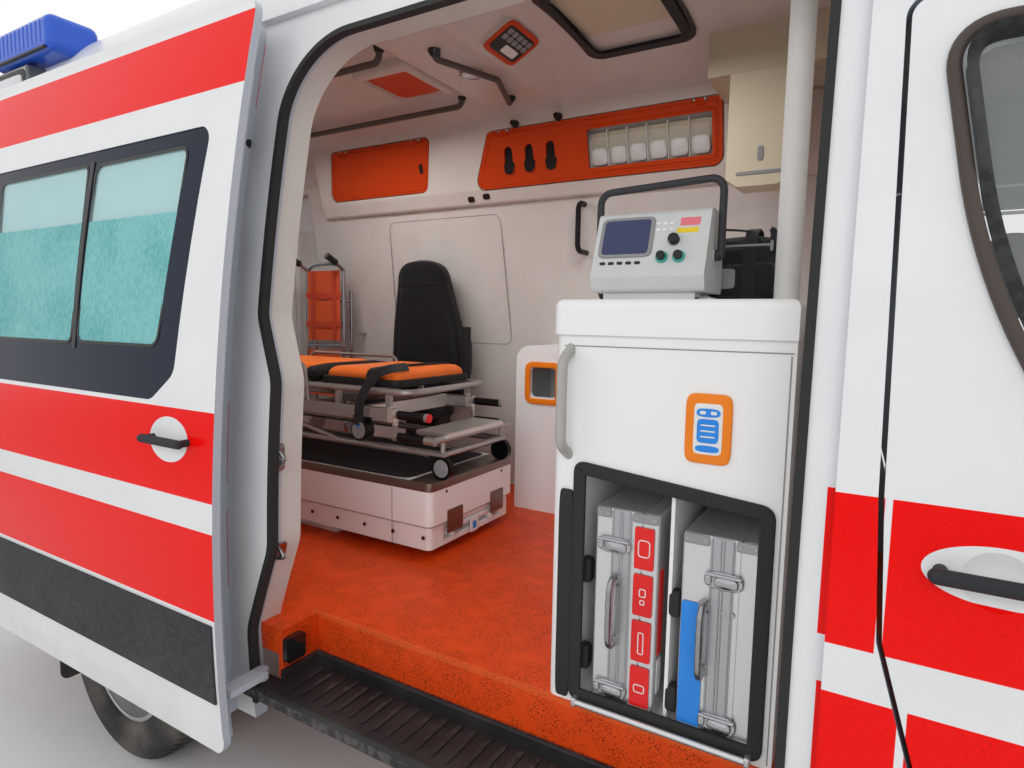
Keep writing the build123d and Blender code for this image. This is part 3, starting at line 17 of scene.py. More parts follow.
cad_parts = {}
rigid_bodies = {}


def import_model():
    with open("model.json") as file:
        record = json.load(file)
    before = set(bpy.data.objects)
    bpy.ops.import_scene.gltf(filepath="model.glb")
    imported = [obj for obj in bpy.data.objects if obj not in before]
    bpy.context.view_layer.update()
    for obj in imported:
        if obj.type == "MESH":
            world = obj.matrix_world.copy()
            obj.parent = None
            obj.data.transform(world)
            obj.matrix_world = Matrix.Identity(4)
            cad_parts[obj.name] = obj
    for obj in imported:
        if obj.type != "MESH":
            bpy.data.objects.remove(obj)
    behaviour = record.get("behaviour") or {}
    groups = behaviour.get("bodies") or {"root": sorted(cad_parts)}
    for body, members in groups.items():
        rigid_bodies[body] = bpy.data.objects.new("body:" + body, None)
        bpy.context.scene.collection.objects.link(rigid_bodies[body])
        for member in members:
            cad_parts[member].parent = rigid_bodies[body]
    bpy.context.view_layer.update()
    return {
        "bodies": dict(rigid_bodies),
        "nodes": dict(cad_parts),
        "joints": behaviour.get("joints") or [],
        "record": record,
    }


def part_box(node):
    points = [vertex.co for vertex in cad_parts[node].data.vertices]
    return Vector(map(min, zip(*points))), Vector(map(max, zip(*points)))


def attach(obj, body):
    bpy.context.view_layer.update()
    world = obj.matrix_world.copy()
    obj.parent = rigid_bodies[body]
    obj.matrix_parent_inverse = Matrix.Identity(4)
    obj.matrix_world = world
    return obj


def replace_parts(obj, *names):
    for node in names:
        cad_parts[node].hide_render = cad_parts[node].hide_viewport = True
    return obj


LOG = logging.getLogger("ambulance")

Triple = tuple[float, float, float]
RGB = tuple[float, float, float]


class Side(Enum):
    """The two sides of the vehicle, as the sign of their Y."""

    LEFT = 1
    RIGHT = -1


# ---------------------------------------------------------------- shader nodes


class Graph:
    """A thin wrapper that adds and links the nodes of one shader tree."""

    def __init__(self, tree: bpy.types.NodeTree) -> None:
        self.tree = tree

    def add(self, kind: str, **values: object) -> bpy.types.Node:
        """Adds a node and sets its properties.

        Args:
            kind: The node's type without the ShaderNode prefix.
            **values: Properties of the node.

        Returns:
            The node.
        """
        prefix = "" if kind.startswith("Node") else "ShaderNode"
        node = self.tree.nodes.new(prefix + kind)
        for name, value in values.items():
            setattr(node, name, value)
        return node

    def put(self, socket: bpy.types.NodeSocket, value: object) -> None:
        """Links a socket to another, or sets its constant."""
        if isinstance(value, bpy.types.NodeSocket):
            self.tree.links.new(value, socket)
        elif isinstance(value, tuple) and len(value) == 3 and socket.type == "RGBA":
            socket.default_value = (*value, 1.0)
        else:
            socket.default_value = value

    def math(self, operation: str, a: object, b: object = 0.0, c: object = 0.0) -> bpy.types.NodeSocket:
        """Adds a Math node.

        Args:
            operation: The node's operation.
            a: First number or socket.
            b: Second number or socket.
            c: Third number or socket.

        Returns:
            Its output.
        """
        node = self.add("Math", operation=operation)
        for socket, value in zip(node.inputs, (a, b, c)):
            self.put(socket, value)
        return node.outputs[0]

    def within(self, value: object, low: float, high: float, soft: float = 0.0006) -> bpy.types.NodeSocket:
        """A mask that is one between two limits and falls off over a short width."""
        rise = self.ramp(value, low - soft, low + soft)
        fall = self.ramp(value, high - soft, high + soft)
        return self.math("SUBTRACT", rise, fall)

    def ramp(self, value: object, low: float, high: float) -> bpy.types.NodeSocket:
        """A mask that climbs from nought to one between two limits."""
        node = self.add("MapRange", interpolation_type="SMOOTHSTEP")
        for socket, number in zip(node.inputs, (value, low, high, 0.0, 1.0)):
            self.put(socket, number)
        return node.outputs[0]

    def mix(self, factor: object, a: object, b: object) -> bpy.types.NodeSocket:
        """Mixes two colours by a factor."""
        node = self.add("Mix", data_type="RGBA")
        self.put(node.inputs[0], factor)
        self.put(node.inputs[6], a)
        self.put(node.inputs[7], b)
        return node.outputs[2]

    def noise(self, scale: float, detail: float = 3.0, stretch: Triple = (1, 1, 1)) -> bpy.types.NodeSocket:
        """Noise over the object's own coordinates, stretched along its axes."""
        coordinates = self.add("TexCoord").outputs["Object"]
        mapping = self.add("Mapping")
        self.put(mapping.inputs["Vector"], coordinates)
        mapping.inputs["Scale"].default_value = stretch
        node = self.add("TexNoise")
        self.put(node.inputs["Vector"], mapping.outputs[0])
        node.inputs["Scale"].default_value = scale
        node.inputs["Detail"].default_value = detail
        return node.outputs["Fac"]

    def place(self) -> tuple[bpy.types.NodeSocket, ...]:
        """The X, Y and Z of the point being shaded, in metres."""
        split = self.add("SeparateXYZ")
        self.put(split.inputs[0], self.add("TexCoord").outputs["Object"])
        return tuple(split.outputs)

    def normal(self) -> tuple[bpy.types.NodeSocket, ...]:
        """The X, Y and Z of the surface's normal, which turn with a piece that a joint moves."""
        split = self.add("SeparateXYZ")
        self.put(split.inputs[0], self.add("TexCoord").outputs["Normal"])
        return tuple(split.outputs)

    def all_of(self, *masks: object) -> bpy.types.NodeSocket:
        """The product of masks."""
        result = masks[0]
        for mask in masks[1:]:
            result = self.math("MULTIPLY", result, mask)
        return result

    def any_of(self, *masks: object) -> bpy.types.NodeSocket:
        """The largest of masks."""
        result = masks[0]
        for mask in masks[1:]:
            result = self.math("MAXIMUM", result, mask)
        return result

    def box(self, low: Triple, high: Triple, soft: float = 0.0006) -> bpy.types.NodeSocket:
        """A mask for the points inside a box in the frame's metres."""
        masks = [self.within(v, a, b, soft) for v, a, b in zip(self.place(), low, high)]
        return self.all_of(*masks)


def node_group(name: str, inputs: Sequence[tuple[str, float]], outputs: Sequence[str],
               fill: Callable[[Graph, bpy.types.Node], dict[str, object]]) -> bpy.types.NodeTree:
    """Makes a shader node group with number inputs and outputs, once.

    Args:
        name: The group's name.
        inputs: Each input's name and default.
        outputs: The names of the outputs.
        fill: Adds the nodes, and returns a socket for each output.

    Returns:
        The group's tree.
    """
    if name in bpy.data.node_groups:
        return bpy.data.node_groups[name]
    tree = bpy.data.node_groups.new(name, "ShaderNodeTree")
    for label, default in inputs:
        socket = tree.interface.new_socket(label, in_out="INPUT", socket_type="NodeSocketFloat")
        socket.default_value = default
    for label in outputs:
        kind = "NodeSocketVector" if label == "Normal" else "NodeSocketFloat"
        tree.interface.new_socket(label, in_out="OUTPUT", socket_type=kind)
    graph = Graph(tree)
    entry = graph.add("NodeGroupInput")
    leave = graph.add("NodeGroupOutput")
    for label, socket in fill(graph, entry).items():
        graph.put(leave.inputs[label], socket)
    return tree


def fill_grain(graph: Graph, entry: bpy.types.Node) -> dict[str, object]:
    """Fine moulded grain: cells for the skin's height, and clouds for its unevenness."""
    cells = graph.add("TexVoronoi")
    graph.put(cells.inputs["Vector"], graph.add("TexCoord").outputs["Object"])
    graph.put(cells.inputs["Scale"], entry.outputs["Scale"])
    bump = graph.add("Bump")
    bump.inputs["Distance"].default_value = 0.0006
    graph.put(bump.inputs["Strength"], entry.outputs["Strength"])
    graph.put(bump.inputs["Height"], cells.outputs["Distance"])
    return {"Normal": bump.outputs[0], "Clouds": graph.noise(7.0, 5.0)}


def fill_weave(graph: Graph, entry: bpy.types.Node) -> dict[str, object]:
    """Cloth: the product of two sines at right angles gives each thread's height."""
    x, y, z = graph.place()
    across = graph.math("ADD", x, graph.math("MULTIPLY", y, 0.7))
    along = graph.math("ADD", z, graph.math("MULTIPLY", y, 0.7))
    waves = [graph.math("SINE", graph.math("MULTIPLY", value, entry.outputs["Scale"]))
             for value in (across, along)]
    height = graph.math("MULTIPLY", *waves)
    bump = graph.add("Bump")
    bump.inputs["Distance"].default_value = 0.0005
    graph.put(bump.inputs["Strength"], entry.outputs["Strength"])
    graph.put(bump.inputs["Height"], height)
    return {"Normal": bump.outputs[0], "Clouds": graph.math("MULTIPLY_ADD", height, 0.25,
                                                            graph.noise(9.0, 4.0))}


def fill_wear(graph: Graph, entry: bpy.types.Node) -> dict[str, object]:
    """Rubbed edges: the surface's pointiness above a limit, broken up by noise."""
    point = graph.add("NewGeometry").outputs["Pointiness"]
    edge = graph.ramp(point, 0.53, 0.62)
    broken = graph.ramp(graph.noise(60.0, 6.0), 0.42, 0.6)
    return {"Mask": graph.math("MULTIPLY", graph.all_of(edge, broken), entry.outputs["Amount"])}


def fill_dust(graph: Graph, entry: bpy.types.Node) -> dict[str, object]:
    """Road dust: more of it near the ground, and in drifts of noise."""
    _, _, z = graph.place()
    low = graph.math("SUBTRACT", 1.0, graph.ramp(z, 0.1, 0.95))
    clouds = graph.ramp(graph.noise(5.0, 8.0), 0.35, 0.75)
    return {"Mask": graph.math("MULTIPLY", graph.all_of(low, clouds), entry.outputs["Amount"])}


def fill_scratch(graph: Graph, entry: bpy.types.Node) -> dict[str, object]:
    """Brushed metal: noise drawn out along one axis, as a height and a shade."""
    lines = graph.noise(35.0, 8.0, (0.4, 9.0, 9.0))
    bump = graph.add("Bump")
    bump.inputs["Distance"].default_value = 0.0003
    graph.put(bump.inputs["Strength"], entry.outputs["Strength"])
    graph.put(bump.inputs["Height"], lines)
    return {"Normal": bump.outputs[0], "Shade": lines}


GROUPS: dict[str, tuple[Sequence[tuple[str, float]], Sequence[str], Callable]] = {
    "moulded_grain": ((("Scale", 900.0), ("Strength", 0.25)), ("Normal", "Clouds"), fill_grain),
    "woven_cloth": ((("Scale", 2600.0), ("Strength", 0.5)), ("Normal", "Clouds"), fill_weave),
    "edge_wear": ((("Amount", 0.5),), ("Mask",), fill_wear),
    "road_dust": ((("Amount", 0.4),), ("Mask",), fill_dust),
    "brushed_metal": ((("Strength", 0.3),), ("Normal", "Shade"), fill_scratch),
}


def use_group(graph: Graph, name: str, **values: float) -> bpy.types.Node:
    """Puts a shared node group into a material's tree and sets its inputs."""
    node = graph.add("Group", node_tree=node_group(name, *GROUPS[name]))
    for label, value in values.items():
        node.inputs[label].default_value = value
    return node


# -------------------------------------------------------------------- finishes

DUST: RGB = (0.30, 0.27, 0.23)


@dataclass(frozen=True)
class Finish:
    """One surface finish: what it is made of, how it shines, and what varies over it.

    Attributes:
        name: The material's name.
        slot: The record's material slot for this finish; not used.
        colour: The base colour, linear.
        second: The colour of the variation.
        rough: The mean roughness.
        spread: How far the roughness varies.
        metal: One for bare metal.
        texture: The node group that gives the surface its fine relief.
        scale: The relief's scale.
        strength: The relief's strength.
        wear: How much the edges are rubbed.
        worn: The colour of a rubbed edge.
        dust: How much road dust lies low down.
        gloss: How strongly it mirrors what is around it.
        coat: The clear coat's weight.
        sheen: The cloth sheen's weight.
        vary: How much of the second colour shows.
    """

    name: str
    slot: str
    colour: RGB
    second: RGB | None = None
    rough: float = 0.4
    spread: float = 0.08
    metal: float = 0.0
    texture: str = "moulded_grain"
    scale: float = 900.0
    strength: float = 0.2
    wear: float = 0.0
    worn: RGB = (0.6, 0.6, 0.6)
    dust: float = 0.0
    gloss: float = 0.32
    coat: float = 0.0
    sheen: float = 0.0
    vary: float = 0.35

    def material(self) -> bpy.types.Material:
        """Makes the material, or returns the one already made."""
        if self.name in bpy.data.materials:
            return bpy.data.materials[self.name]
        material = bpy.data.materials.new(self.name)
        material.use_nodes = True
        graph = Graph(material.node_tree)
        shader = material.node_tree.nodes["Principled BSDF"]
        colour, rough, normal = self.surface(graph)
        graph.put(shader.inputs["Base Color"], colour)
        graph.put(shader.inputs["Roughness"], rough)
        graph.put(shader.inputs["Normal"], normal)
        shader.inputs["Metallic"].default_value = self.metal
        shader.inputs["Specular IOR Level"].default_value = self.gloss
        shader.inputs["Coat Weight"].default_value = self.coat
        shader.inputs["Coat Roughness"].default_value = 0.06
        shader.inputs["Sheen Weight"].default_value = self.sheen
        self.finish(graph, shader)
        return material

    def surface(self, graph: Graph) -> tuple[object, object, object]:
        """Builds what varies over the surface.

        Args:
            graph: The material's graph.

        Returns:
            The colour, roughness and normal sockets.
        """
        if self.texture == "brushed_metal":
            group = use_group(graph, self.texture, Strength=self.strength)
            clouds = group.outputs["Shade"]
        else:
            group = use_group(graph, self.texture, Scale=self.scale, Strength=self.strength)
            clouds = group.outputs["Clouds"]
        second = self.second or tuple(0.82 * value for value in self.colour)
        blend = graph.math("MULTIPLY", graph.ramp(clouds, 0.3, 0.75), self.vary)
        colour = self.paint(graph, graph.mix(blend, self.colour, second))
        if self.wear:
            colour = graph.mix(use_group(graph, "edge_wear", Amount=self.wear).outputs["Mask"], colour,
                               self.worn)
        rough = graph.math("MULTIPLY_ADD", clouds, 2 * self.spread, self.rough - self.spread)
        if self.dust:
            dust = use_group(graph, "road_dust", Amount=self.dust).outputs["Mask"]
            colour = graph.mix(dust, colour, DUST)
            rough = graph.math("MULTIPLY_ADD", dust, 0.35, rough)
        return colour, rough, group.outputs["Normal"]

    def paint(self, graph: Graph, colour: object) -> object:
        """Lays regions of other colours over the base; a plain finish has none."""
        return colour

    def finish(self, graph: Graph, shader: bpy.types.Node) -> None:
        """Sets what is special to a kind of finish, such as glass."""


@dataclass(frozen=True)
class Region:
    """A box of the frame that has a colour of its own."""

    low: Triple
    high: Triple
    colour: RGB


@dataclass(frozen=True)
class RegionFinish(Finish):
    """A finish with boxes of other colours, for a solid that joins several real materials."""

    regions: tuple[Region, ...] = ()

    def paint(self, graph: Graph, colour: object) -> object:
        """Lays each region over the base colour."""
        for region in self.regions:
            colour = graph.mix(graph.box(region.low, region.high), colour, region.colour)
        return colour


@dataclass(frozen=True)
class Stripe:
    """A band of reflective tape along the vehicle's sides, or along one of them."""

    low: float
    high: float
    x_from: float
    x_to: float
    colour: RGB
    side: Side | None = None


@dataclass(frozen=True)
class Cup:
    """An oval round a door handle where the tape is cut out."""

    x: float
    z: float
    across: float
    up: float
    side: Side | None = None


@dataclass(frozen=True)
class LiveryFinish(Finish):
    """White coachwork with tape stripes on its outer sides, and painted blue-grey shade on the faces inside
    its door openings.
    """

    stripes: tuple[Stripe, ...] = ()
    cups: tuple[Cup, ...] = ()
    # The blue-grey of the painted shade in the door openings.
    painted_jamb_shade: RGB = (0.40, 0.45, 0.54)

    def paint(self, graph: Graph, colour: object) -> object:
        """Lays the stripes over the outward faces, with a fine honeycomb in the tape, and paints shade into
        the door openings.
        """
        x, y, z = graph.place()
        _, normal_y, _ = graph.normal()
        outward = graph.math("MULTIPLY", normal_y, graph.math("SIGN", y))
        faces_out = graph.ramp(outward, 0.55, 0.6)
        wide = graph.ramp(graph.math("ABSOLUTE", y), 0.72, 0.74)
        cells = graph.add("TexVoronoi", feature="DISTANCE_TO_EDGE")
        graph.put(cells.inputs["Vector"], graph.add("TexCoord").outputs["Object"])
        cells.inputs["Scale"].default_value = 260.0
        lattice = graph.ramp(cells.outputs["Distance"], 0.02, 0.07)
        left = graph.ramp(y, -0.1, 0.1)
        on_side = {None: 1.0, Side.LEFT: left, Side.RIGHT: graph.math("SUBTRACT", 1.0, left)}
        bare: object = 1.0
        for cup in self.cups:
            across = graph.math("MULTIPLY", graph.math("SUBTRACT", x, cup.x), 1 / cup.across)
            up = graph.math("MULTIPLY", graph.math("SUBTRACT", z, cup.z), 1 / cup.up)
            reach = graph.math("ADD", graph.math("MULTIPLY", across, across),
                               graph.math("MULTIPLY", up, up))
            hole = graph.all_of(graph.math("SUBTRACT", 1.0, graph.ramp(reach, 0.99, 1.01)),
                                on_side[cup.side])
            bare = graph.math("MULTIPLY", bare, graph.math("SUBTRACT", 1.0, hole))
        for stripe in self.stripes:
            band = graph.all_of(graph.within(z, stripe.low, stripe.high),
                                graph.within(x, stripe.x_from, stripe.x_to), faces_out, wide, bare,
                                on_side[stripe.side])
            tape = graph.mix(lattice, tuple(0.8 * value for value in stripe.colour), stripe.colour)
            colour = graph.mix(band, colour, tape)
        # Painted shade: faces turned away from the outside, below the roof's edge and between the doorways'
        # ends, go three quarters of the way to a blue-grey that stands in for the shade in the door openings.
        hidden = graph.math("SUBTRACT", 1.0, graph.ramp(outward, 0.05, 0.25))
        below = graph.math("SUBTRACT", 1.0, graph.ramp(z, 2.40, 2.46))
        opening_shade_mask = graph.all_of(hidden, below, graph.within(x, -1.6, 2.2))
        return graph.mix(graph.math("MULTIPLY", opening_shade_mask, 0.75), colour, self.painted_jamb_shade)


@dataclass(frozen=True)
class Pane:
    """A clear pane in a printed border: its corners, as X and Z pairs, and their radius."""

    low_left: tuple[float, float]
    low_right: tuple[float, float]
    high_left: tuple[float, float]
    high_right: tuple[float, float]
    radius: float

    def mask(self, graph: Graph) -> bpy.types.NodeSocket:
        """One inside the pane: the distances to the nearest side and sill, rounded where both are short."""
        x, _, z = graph.place()
        gaps = []
        for low, high, sign in ((self.low_left, self.high_left, 1.0),
                                (self.low_right, self.high_right, -1.0)):
            lean = (high[0] - low[0]) / (high[1] - low[1])
            edge = graph.math("MULTIPLY_ADD", z, lean, low[0] - lean * low[1])
            gaps.append(graph.math("MULTIPLY", graph.math("SUBTRACT", x, edge), sign))
        sideways = graph.math("MINIMUM", *gaps)
        sill = (self.low_left[1] + self.low_right[1]) / 2
        head = (self.high_left[1] + self.high_right[1]) / 2
        upright = graph.math("MINIMUM", graph.math("SUBTRACT", z, sill), graph.math("SUBTRACT", head, z))
        short = [graph.math("MAXIMUM", graph.math("SUBTRACT", self.radius, gap), 0.0)
                 for gap in (sideways, upright)]
        squares = graph.math("ADD", *(graph.math("MULTIPLY", value, value) for value in short))
        return graph.ramp(graph.math("SUBTRACT", self.radius, graph.math("SQRT", squares)), 0.0, 0.0008)


@dataclass(frozen=True)
class GlassFinish(Finish):
    """Clear or frosted glass with a printed black border round its panes."""

    tint: RGB = (0.9, 0.95, 0.94)
    veil: float = 0.10
    border: Region | None = None
    panes: tuple[Pane, ...] = ()
    frosted: tuple[Region, ...] = ()

    def printed(self, graph: Graph) -> object:
        """One where the border is printed: in its box and on none of the panes."""
        if self.border is None:
            return 0.0
        clear = graph.any_of(*(pane.mask(graph) for pane in self.panes))
        return graph.all_of(graph.box(self.border.low, self.border.high),
                            graph.math("SUBTRACT", 1.0, clear))

    def surface(self, graph: Graph) -> tuple[object, object, object]:
        """A faint smear of dirt in the roughness, and the frosting where it lies."""
        smear = graph.ramp(graph.noise(6.0, 6.0), 0.4, 0.8)
        rough = graph.math("MULTIPLY_ADD", smear, 0.04, 0.01)
        colour: object = self.tint
        for region in self.frosted:
            mask = graph.box(region.low, region.high, 0.002)
            rough = graph.math("MAXIMUM", rough, graph.math("MULTIPLY", mask, 0.45))
            ripple = graph.ramp(graph.noise(110.0, 3.0, (1, 1, 0.5)), 0.38, 0.62)
            cloudy = graph.math("MULTIPLY_ADD", graph.ramp(graph.noise(5.0, 3.0), 0.35, 0.65), 0.5, 0.2)
            pale = tuple(min(1.0, 0.12 + 1.15 * value) for value in region.colour)
            film = graph.mix(graph.math("MULTIPLY_ADD", ripple, 0.5, cloudy), region.colour, pale)
            colour = graph.mix(mask, colour, film)
        if self.border is not None:
            printed = self.printed(graph)
            colour = graph.mix(printed, colour, self.border.colour)
            rough = graph.math("MULTIPLY", rough, graph.math("MULTIPLY_ADD", printed, -0.9, 1.0))
        grain = use_group(graph, "moulded_grain", Scale=40.0, Strength=0.02)
        return colour, rough, grain.outputs["Normal"]

    def finish(self, graph: Graph, shader: bpy.types.Node) -> None:
        """Lets light through by the shader's Alpha, less so at a slant and on the frosted film."""
        shader.inputs["IOR"].default_value = 1.45
        clear: object = 0.0
        for region in self.frosted:
            clear = graph.math("MAXIMUM", clear, graph.math("MULTIPLY",
                                                            graph.box(region.low, region.high, 0.002),
                                                            0.88))
        clear = graph.math("MAXIMUM", clear, self.printed(graph))
        fresnel = graph.add("Fresnel")
        fresnel.inputs["IOR"].default_value = 1.35
        solid = graph.math("MULTIPLY_ADD", fresnel.outputs[0], 0.85, self.veil)
        graph.put(shader.inputs["Alpha"], graph.math("MAXIMUM", solid, clear))


# ---------------------------------------------------------------------- colours


class Tone:
    """The colours used on more than one finish, linear."""

    WHITE: RGB = (0.78, 0.79, 0.80)
    RED: RGB = (0.90, 0.004, 0.003)
    BLACK: RGB = (0.012, 0.012, 0.013)
    CHARCOAL: RGB = (0.035, 0.036, 0.040)
    GREY: RGB = (0.28, 0.28, 0.29)
    OFF_WHITE: RGB = (0.74, 0.73, 0.71)
    AMBER: RGB = (0.85, 0.28, 0.01)
    TAIL_RED: RGB = (0.50, 0.004, 0.006)
    LAMP_HOUSING: RGB = (0.10, 0.11, 0.12)
    CREAM: RGB = (0.62, 0.56, 0.42)
    TEAL: RGB = (0.06, 0.42, 0.36)


FORE_STRIPES = (
    Stripe(1.090, 1.336, 0.480, 0.562, Tone.RED),
    Stripe(0.796, 1.010, 0.484, 0.600, Tone.RED),
    Stripe(1.090, 1.336, 0.572, 2.62, Tone.RED),
    Stripe(0.796, 1.010, 0.612, 2.62, Tone.RED),
)
SIDE_STRIPES = (
    Stripe(2.205, 2.402, -2.80, 1.00, Tone.RED),
    Stripe(1.112, 1.349, -2.80, 0.460, Tone.RED),
    Stripe(0.796, 1.031, -2.80, 0.460, Tone.RED),
    *FORE_STRIPES,
)
PANEL_STRIPES = (
    Stripe(2.205, 2.402, -2.80, 1.00, Tone.RED, Side.LEFT),
    Stripe(2.205, 2.402, -2.80, -1.08, Tone.RED, Side.RIGHT),
    Stripe(2.205, 2.402, 0.484, 1.00, Tone.RED, Side.RIGHT),
    Stripe(1.112, 1.349, -2.80, 0.460, Tone.RED, Side.LEFT),
    Stripe(0.796, 1.031, -2.80, 0.460, Tone.RED, Side.LEFT),
    Stripe(1.112, 1.349, -2.80, -1.08, Tone.RED, Side.RIGHT),
    Stripe(0.796, 1.031, -2.80, -1.08, Tone.RED, Side.RIGHT),
    *FORE_STRIPES,
)
HANDLE_CUPS = (Cup(-1.118, 1.261, 0.088, 0.062, Side.RIGHT), Cup(0.712, 1.243, 0.098, 0.044))


class Finishes:
    """Every finish on the model, by what it is on."""

    coachwork = LiveryFinish(
        "coachwork", "paint_white", Tone.WHITE, (0.72, 0.74, 0.76), rough=0.22, spread=0.05, scale=500.0,
        strength=0.012, dust=0.22, gloss=0.12, coat=0.08, vary=0.5, stripes=SIDE_STRIPES, cups=HANDLE_CUPS,
    )
    side_paint = replace(coachwork, name="side_paint", stripes=PANEL_STRIPES, cups=())
    plain_white = Finish("plain_white", "paint_white", Tone.WHITE, (0.70, 0.72, 0.75), rough=0.25,
                         scale=500.0, strength=0.02, dust=0.2, gloss=0.15, coat=0.1)
    bumper_plastic = Finish("bumper_plastic", "trim_black", (0.030, 0.031, 0.036), (0.042, 0.043, 0.048),
                            rough=0.6, scale=1100.0, strength=0.5, wear=0.2, worn=(0.09, 0.09, 0.10),
                            dust=0.2, gloss=0.2)
    black_plastic = Finish("black_plastic", "trim_black", Tone.BLACK, (0.03, 0.03, 0.032), rough=0.38,
                           scale=1300.0, strength=0.3, wear=0.25, worn=(0.09, 0.09, 0.09))
    step_plastic = Finish(
        "step_plastic", "trim_black", (0.016, 0.015, 0.016), (0.05, 0.045, 0.042), rough=0.5, scale=700.0,
        strength=0.5, wear=0.6, worn=(0.13, 0.12, 0.12), dust=0.0, vary=0.6,
    )
    rubber = Finish("rubber", "rubber", (0.014, 0.014, 0.015), (0.03, 0.03, 0.03), rough=0.6, scale=800.0,
                    strength=0.4)
    frame_rubber = Finish("frame_rubber", "rubber", (0.075, 0.058, 0.050), (0.05, 0.04, 0.036), rough=0.5,
                          scale=900.0, strength=0.25)
    tyre = Finish("tyre_rubber", "tyre", (0.020, 0.020, 0.022), (0.045, 0.042, 0.04), rough=0.72,
                  scale=500.0, strength=0.6, dust=0.5, vary=0.6)
    wheel_silver = Finish("wheel_silver", "rim_silver", (0.55, 0.55, 0.56), (0.40, 0.40, 0.41), rough=0.35,
                          metal=0.6, scale=1500.0, strength=0.15, wear=0.3, dust=0.5)
    steel = Finish(
        "bright_steel", "steel", (0.36, 0.36, 0.37), (0.27, 0.27, 0.28), rough=0.28, metal=1.0,
        texture="brushed_metal", strength=0.25, wear=0.2, worn=(0.6, 0.6, 0.6),
    )
    chrome = Finish(
        "chrome", "steel", (0.46, 0.46, 0.48), (0.36, 0.36, 0.38), rough=0.12, spread=0.04, metal=1.0,
        texture="brushed_metal", strength=0.06,
    )
    chassis = Finish("chassis_black", "chassis", (0.03, 0.03, 0.032), (0.07, 0.055, 0.045), rough=0.6,
                     scale=300.0, strength=0.5, dust=0.5, vary=0.7)
    ceiling = RegionFinish("ceiling_plastic", "lining", (0.66, 0.60, 0.56), (0.58, 0.50, 0.46), rough=0.34,
                           scale=900.0, strength=0.10, vary=0.5,
                           regions=(Region((-0.53, -0.27, 2.55), (-0.08, 0.32, 2.80), Tone.BLACK),))
    lining = Finish("wall_plastic", "lining", (0.66, 0.62, 0.585), (0.59, 0.545, 0.51), rough=0.36,
                    scale=900.0, strength=0.10, vary=0.5)
    furniture = RegionFinish("furniture_white", "furniture_white", Tone.OFF_WHITE, (0.68, 0.66, 0.64),
                             rough=0.30, scale=900.0, strength=0.08, wear=0.15, worn=(0.5, 0.5, 0.5),
                             regions=(Region((-0.2, -0.9, 1.569), (0.5, -0.2, 1.7), (0.60, 0.62, 0.64)),))
    cupboards = RegionFinish("cupboard_shell", "furniture_white", (0.68, 0.63, 0.59), (0.60, 0.55, 0.50),
                             rough=0.34, scale=900.0, strength=0.10,
                             regions=(Region((-0.08, 0.2, 2.40), (0.5, 0.6, 2.9), (0.55, 0.48, 0.36)),))
    cream = Finish("cream_plastic", "furniture_white", Tone.CREAM, (0.56, 0.50, 0.37), rough=0.42,
                   scale=1100.0, strength=0.25)
    orange_bright = Finish("orange_moulding", "orange_panel", (0.88, 0.235, 0.014), (0.78, 0.18, 0.010),
                           rough=0.33, scale=900.0, strength=0.10)
    orange_panel = Finish("orange_laminate", "orange_panel", (0.60, 0.055, 0.006), (0.52, 0.043, 0.005),
                          rough=0.36, scale=900.0, strength=0.10, gloss=0.2)
    aluminium = Finish(
        "case_aluminium", "case_aluminium", (0.33, 0.335, 0.35), (0.25, 0.255, 0.27), rough=0.36, metal=0.9,
        texture="brushed_metal", strength=0.4, wear=0.3, worn=(0.5, 0.5, 0.51),
    )
    pale_aluminium = Finish(
        "pale_aluminium", "case_aluminium", (0.47, 0.48, 0.50), (0.40, 0.41, 0.43), rough=0.32, metal=0.9,
        texture="brushed_metal", strength=0.3,
    )
    platform_steel = Finish(
        "platform_steel", "steel", (0.23, 0.18, 0.155), (0.17, 0.13, 0.115), rough=0.30, metal=0.85,
        texture="brushed_metal", strength=0.3,
    )
    chair_metal = replace(chrome, name="chair_metal", rough=0.14, spread=0.08)
    monitor = RegionFinish("monitor_shell", "monitor_grey", (0.62, 0.64, 0.63), (0.52, 0.54, 0.54),
                           rough=0.4, scale=1300.0, strength=0.3,
                           regions=(Region((-0.2, -0.7, 1.868), (0.3, -0.4, 2.0), Tone.CHARCOAL),
                                    Region((-0.2, -0.7, 1.64), (-0.087, -0.4, 2.0), Tone.CHARCOAL),
                                    Region((0.192, -0.7, 1.64), (0.3, -0.4, 2.0), Tone.CHARCOAL)))
    bag_cloth = Finish("bag_cloth", "fabric_black", (0.010, 0.010, 0.012), (0.028, 0.028, 0.032), rough=0.7,
                       texture="woven_cloth", scale=2400.0, strength=0.7, sheen=0.25)
    seat_hide = Finish(
        "seat_vinyl", "fabric_black", (0.009, 0.009, 0.011), (0.020, 0.019, 0.021), rough=0.48, scale=620.0,
        strength=0.45, gloss=0.25, sheen=0.04,
    )
    pad_orange = Finish("pad_vinyl", "pad_orange", (0.86, 0.17, 0.014), (0.74, 0.11, 0.010), rough=0.40,
                        scale=560.0, strength=0.35, wear=0.1, worn=(0.9, 0.4, 0.2), sheen=0.05)
    pad_black = Finish("pad_edge", "fabric_black", Tone.BLACK, (0.03, 0.03, 0.032), rough=0.5, scale=700.0,
                       strength=0.4)
    webbing = Finish("webbing", "fabric_black", (0.012, 0.012, 0.013), (0.035, 0.035, 0.037), rough=0.75,
                     texture="woven_cloth", scale=1500.0, strength=0.9, sheen=0.3)
    chair_cloth = Finish("chair_cloth", "pad_orange", (0.80, 0.10, 0.010), (0.62, 0.06, 0.006), rough=0.6,
                         texture="woven_cloth", scale=1900.0, strength=0.8, sheen=0.2)
    chair_belt = Finish("chair_belt", "pad_orange", (0.62, 0.050, 0.008), (0.50, 0.035, 0.005), rough=0.6,
                        texture="woven_cloth", scale=1500.0, strength=0.9, sheen=0.2)
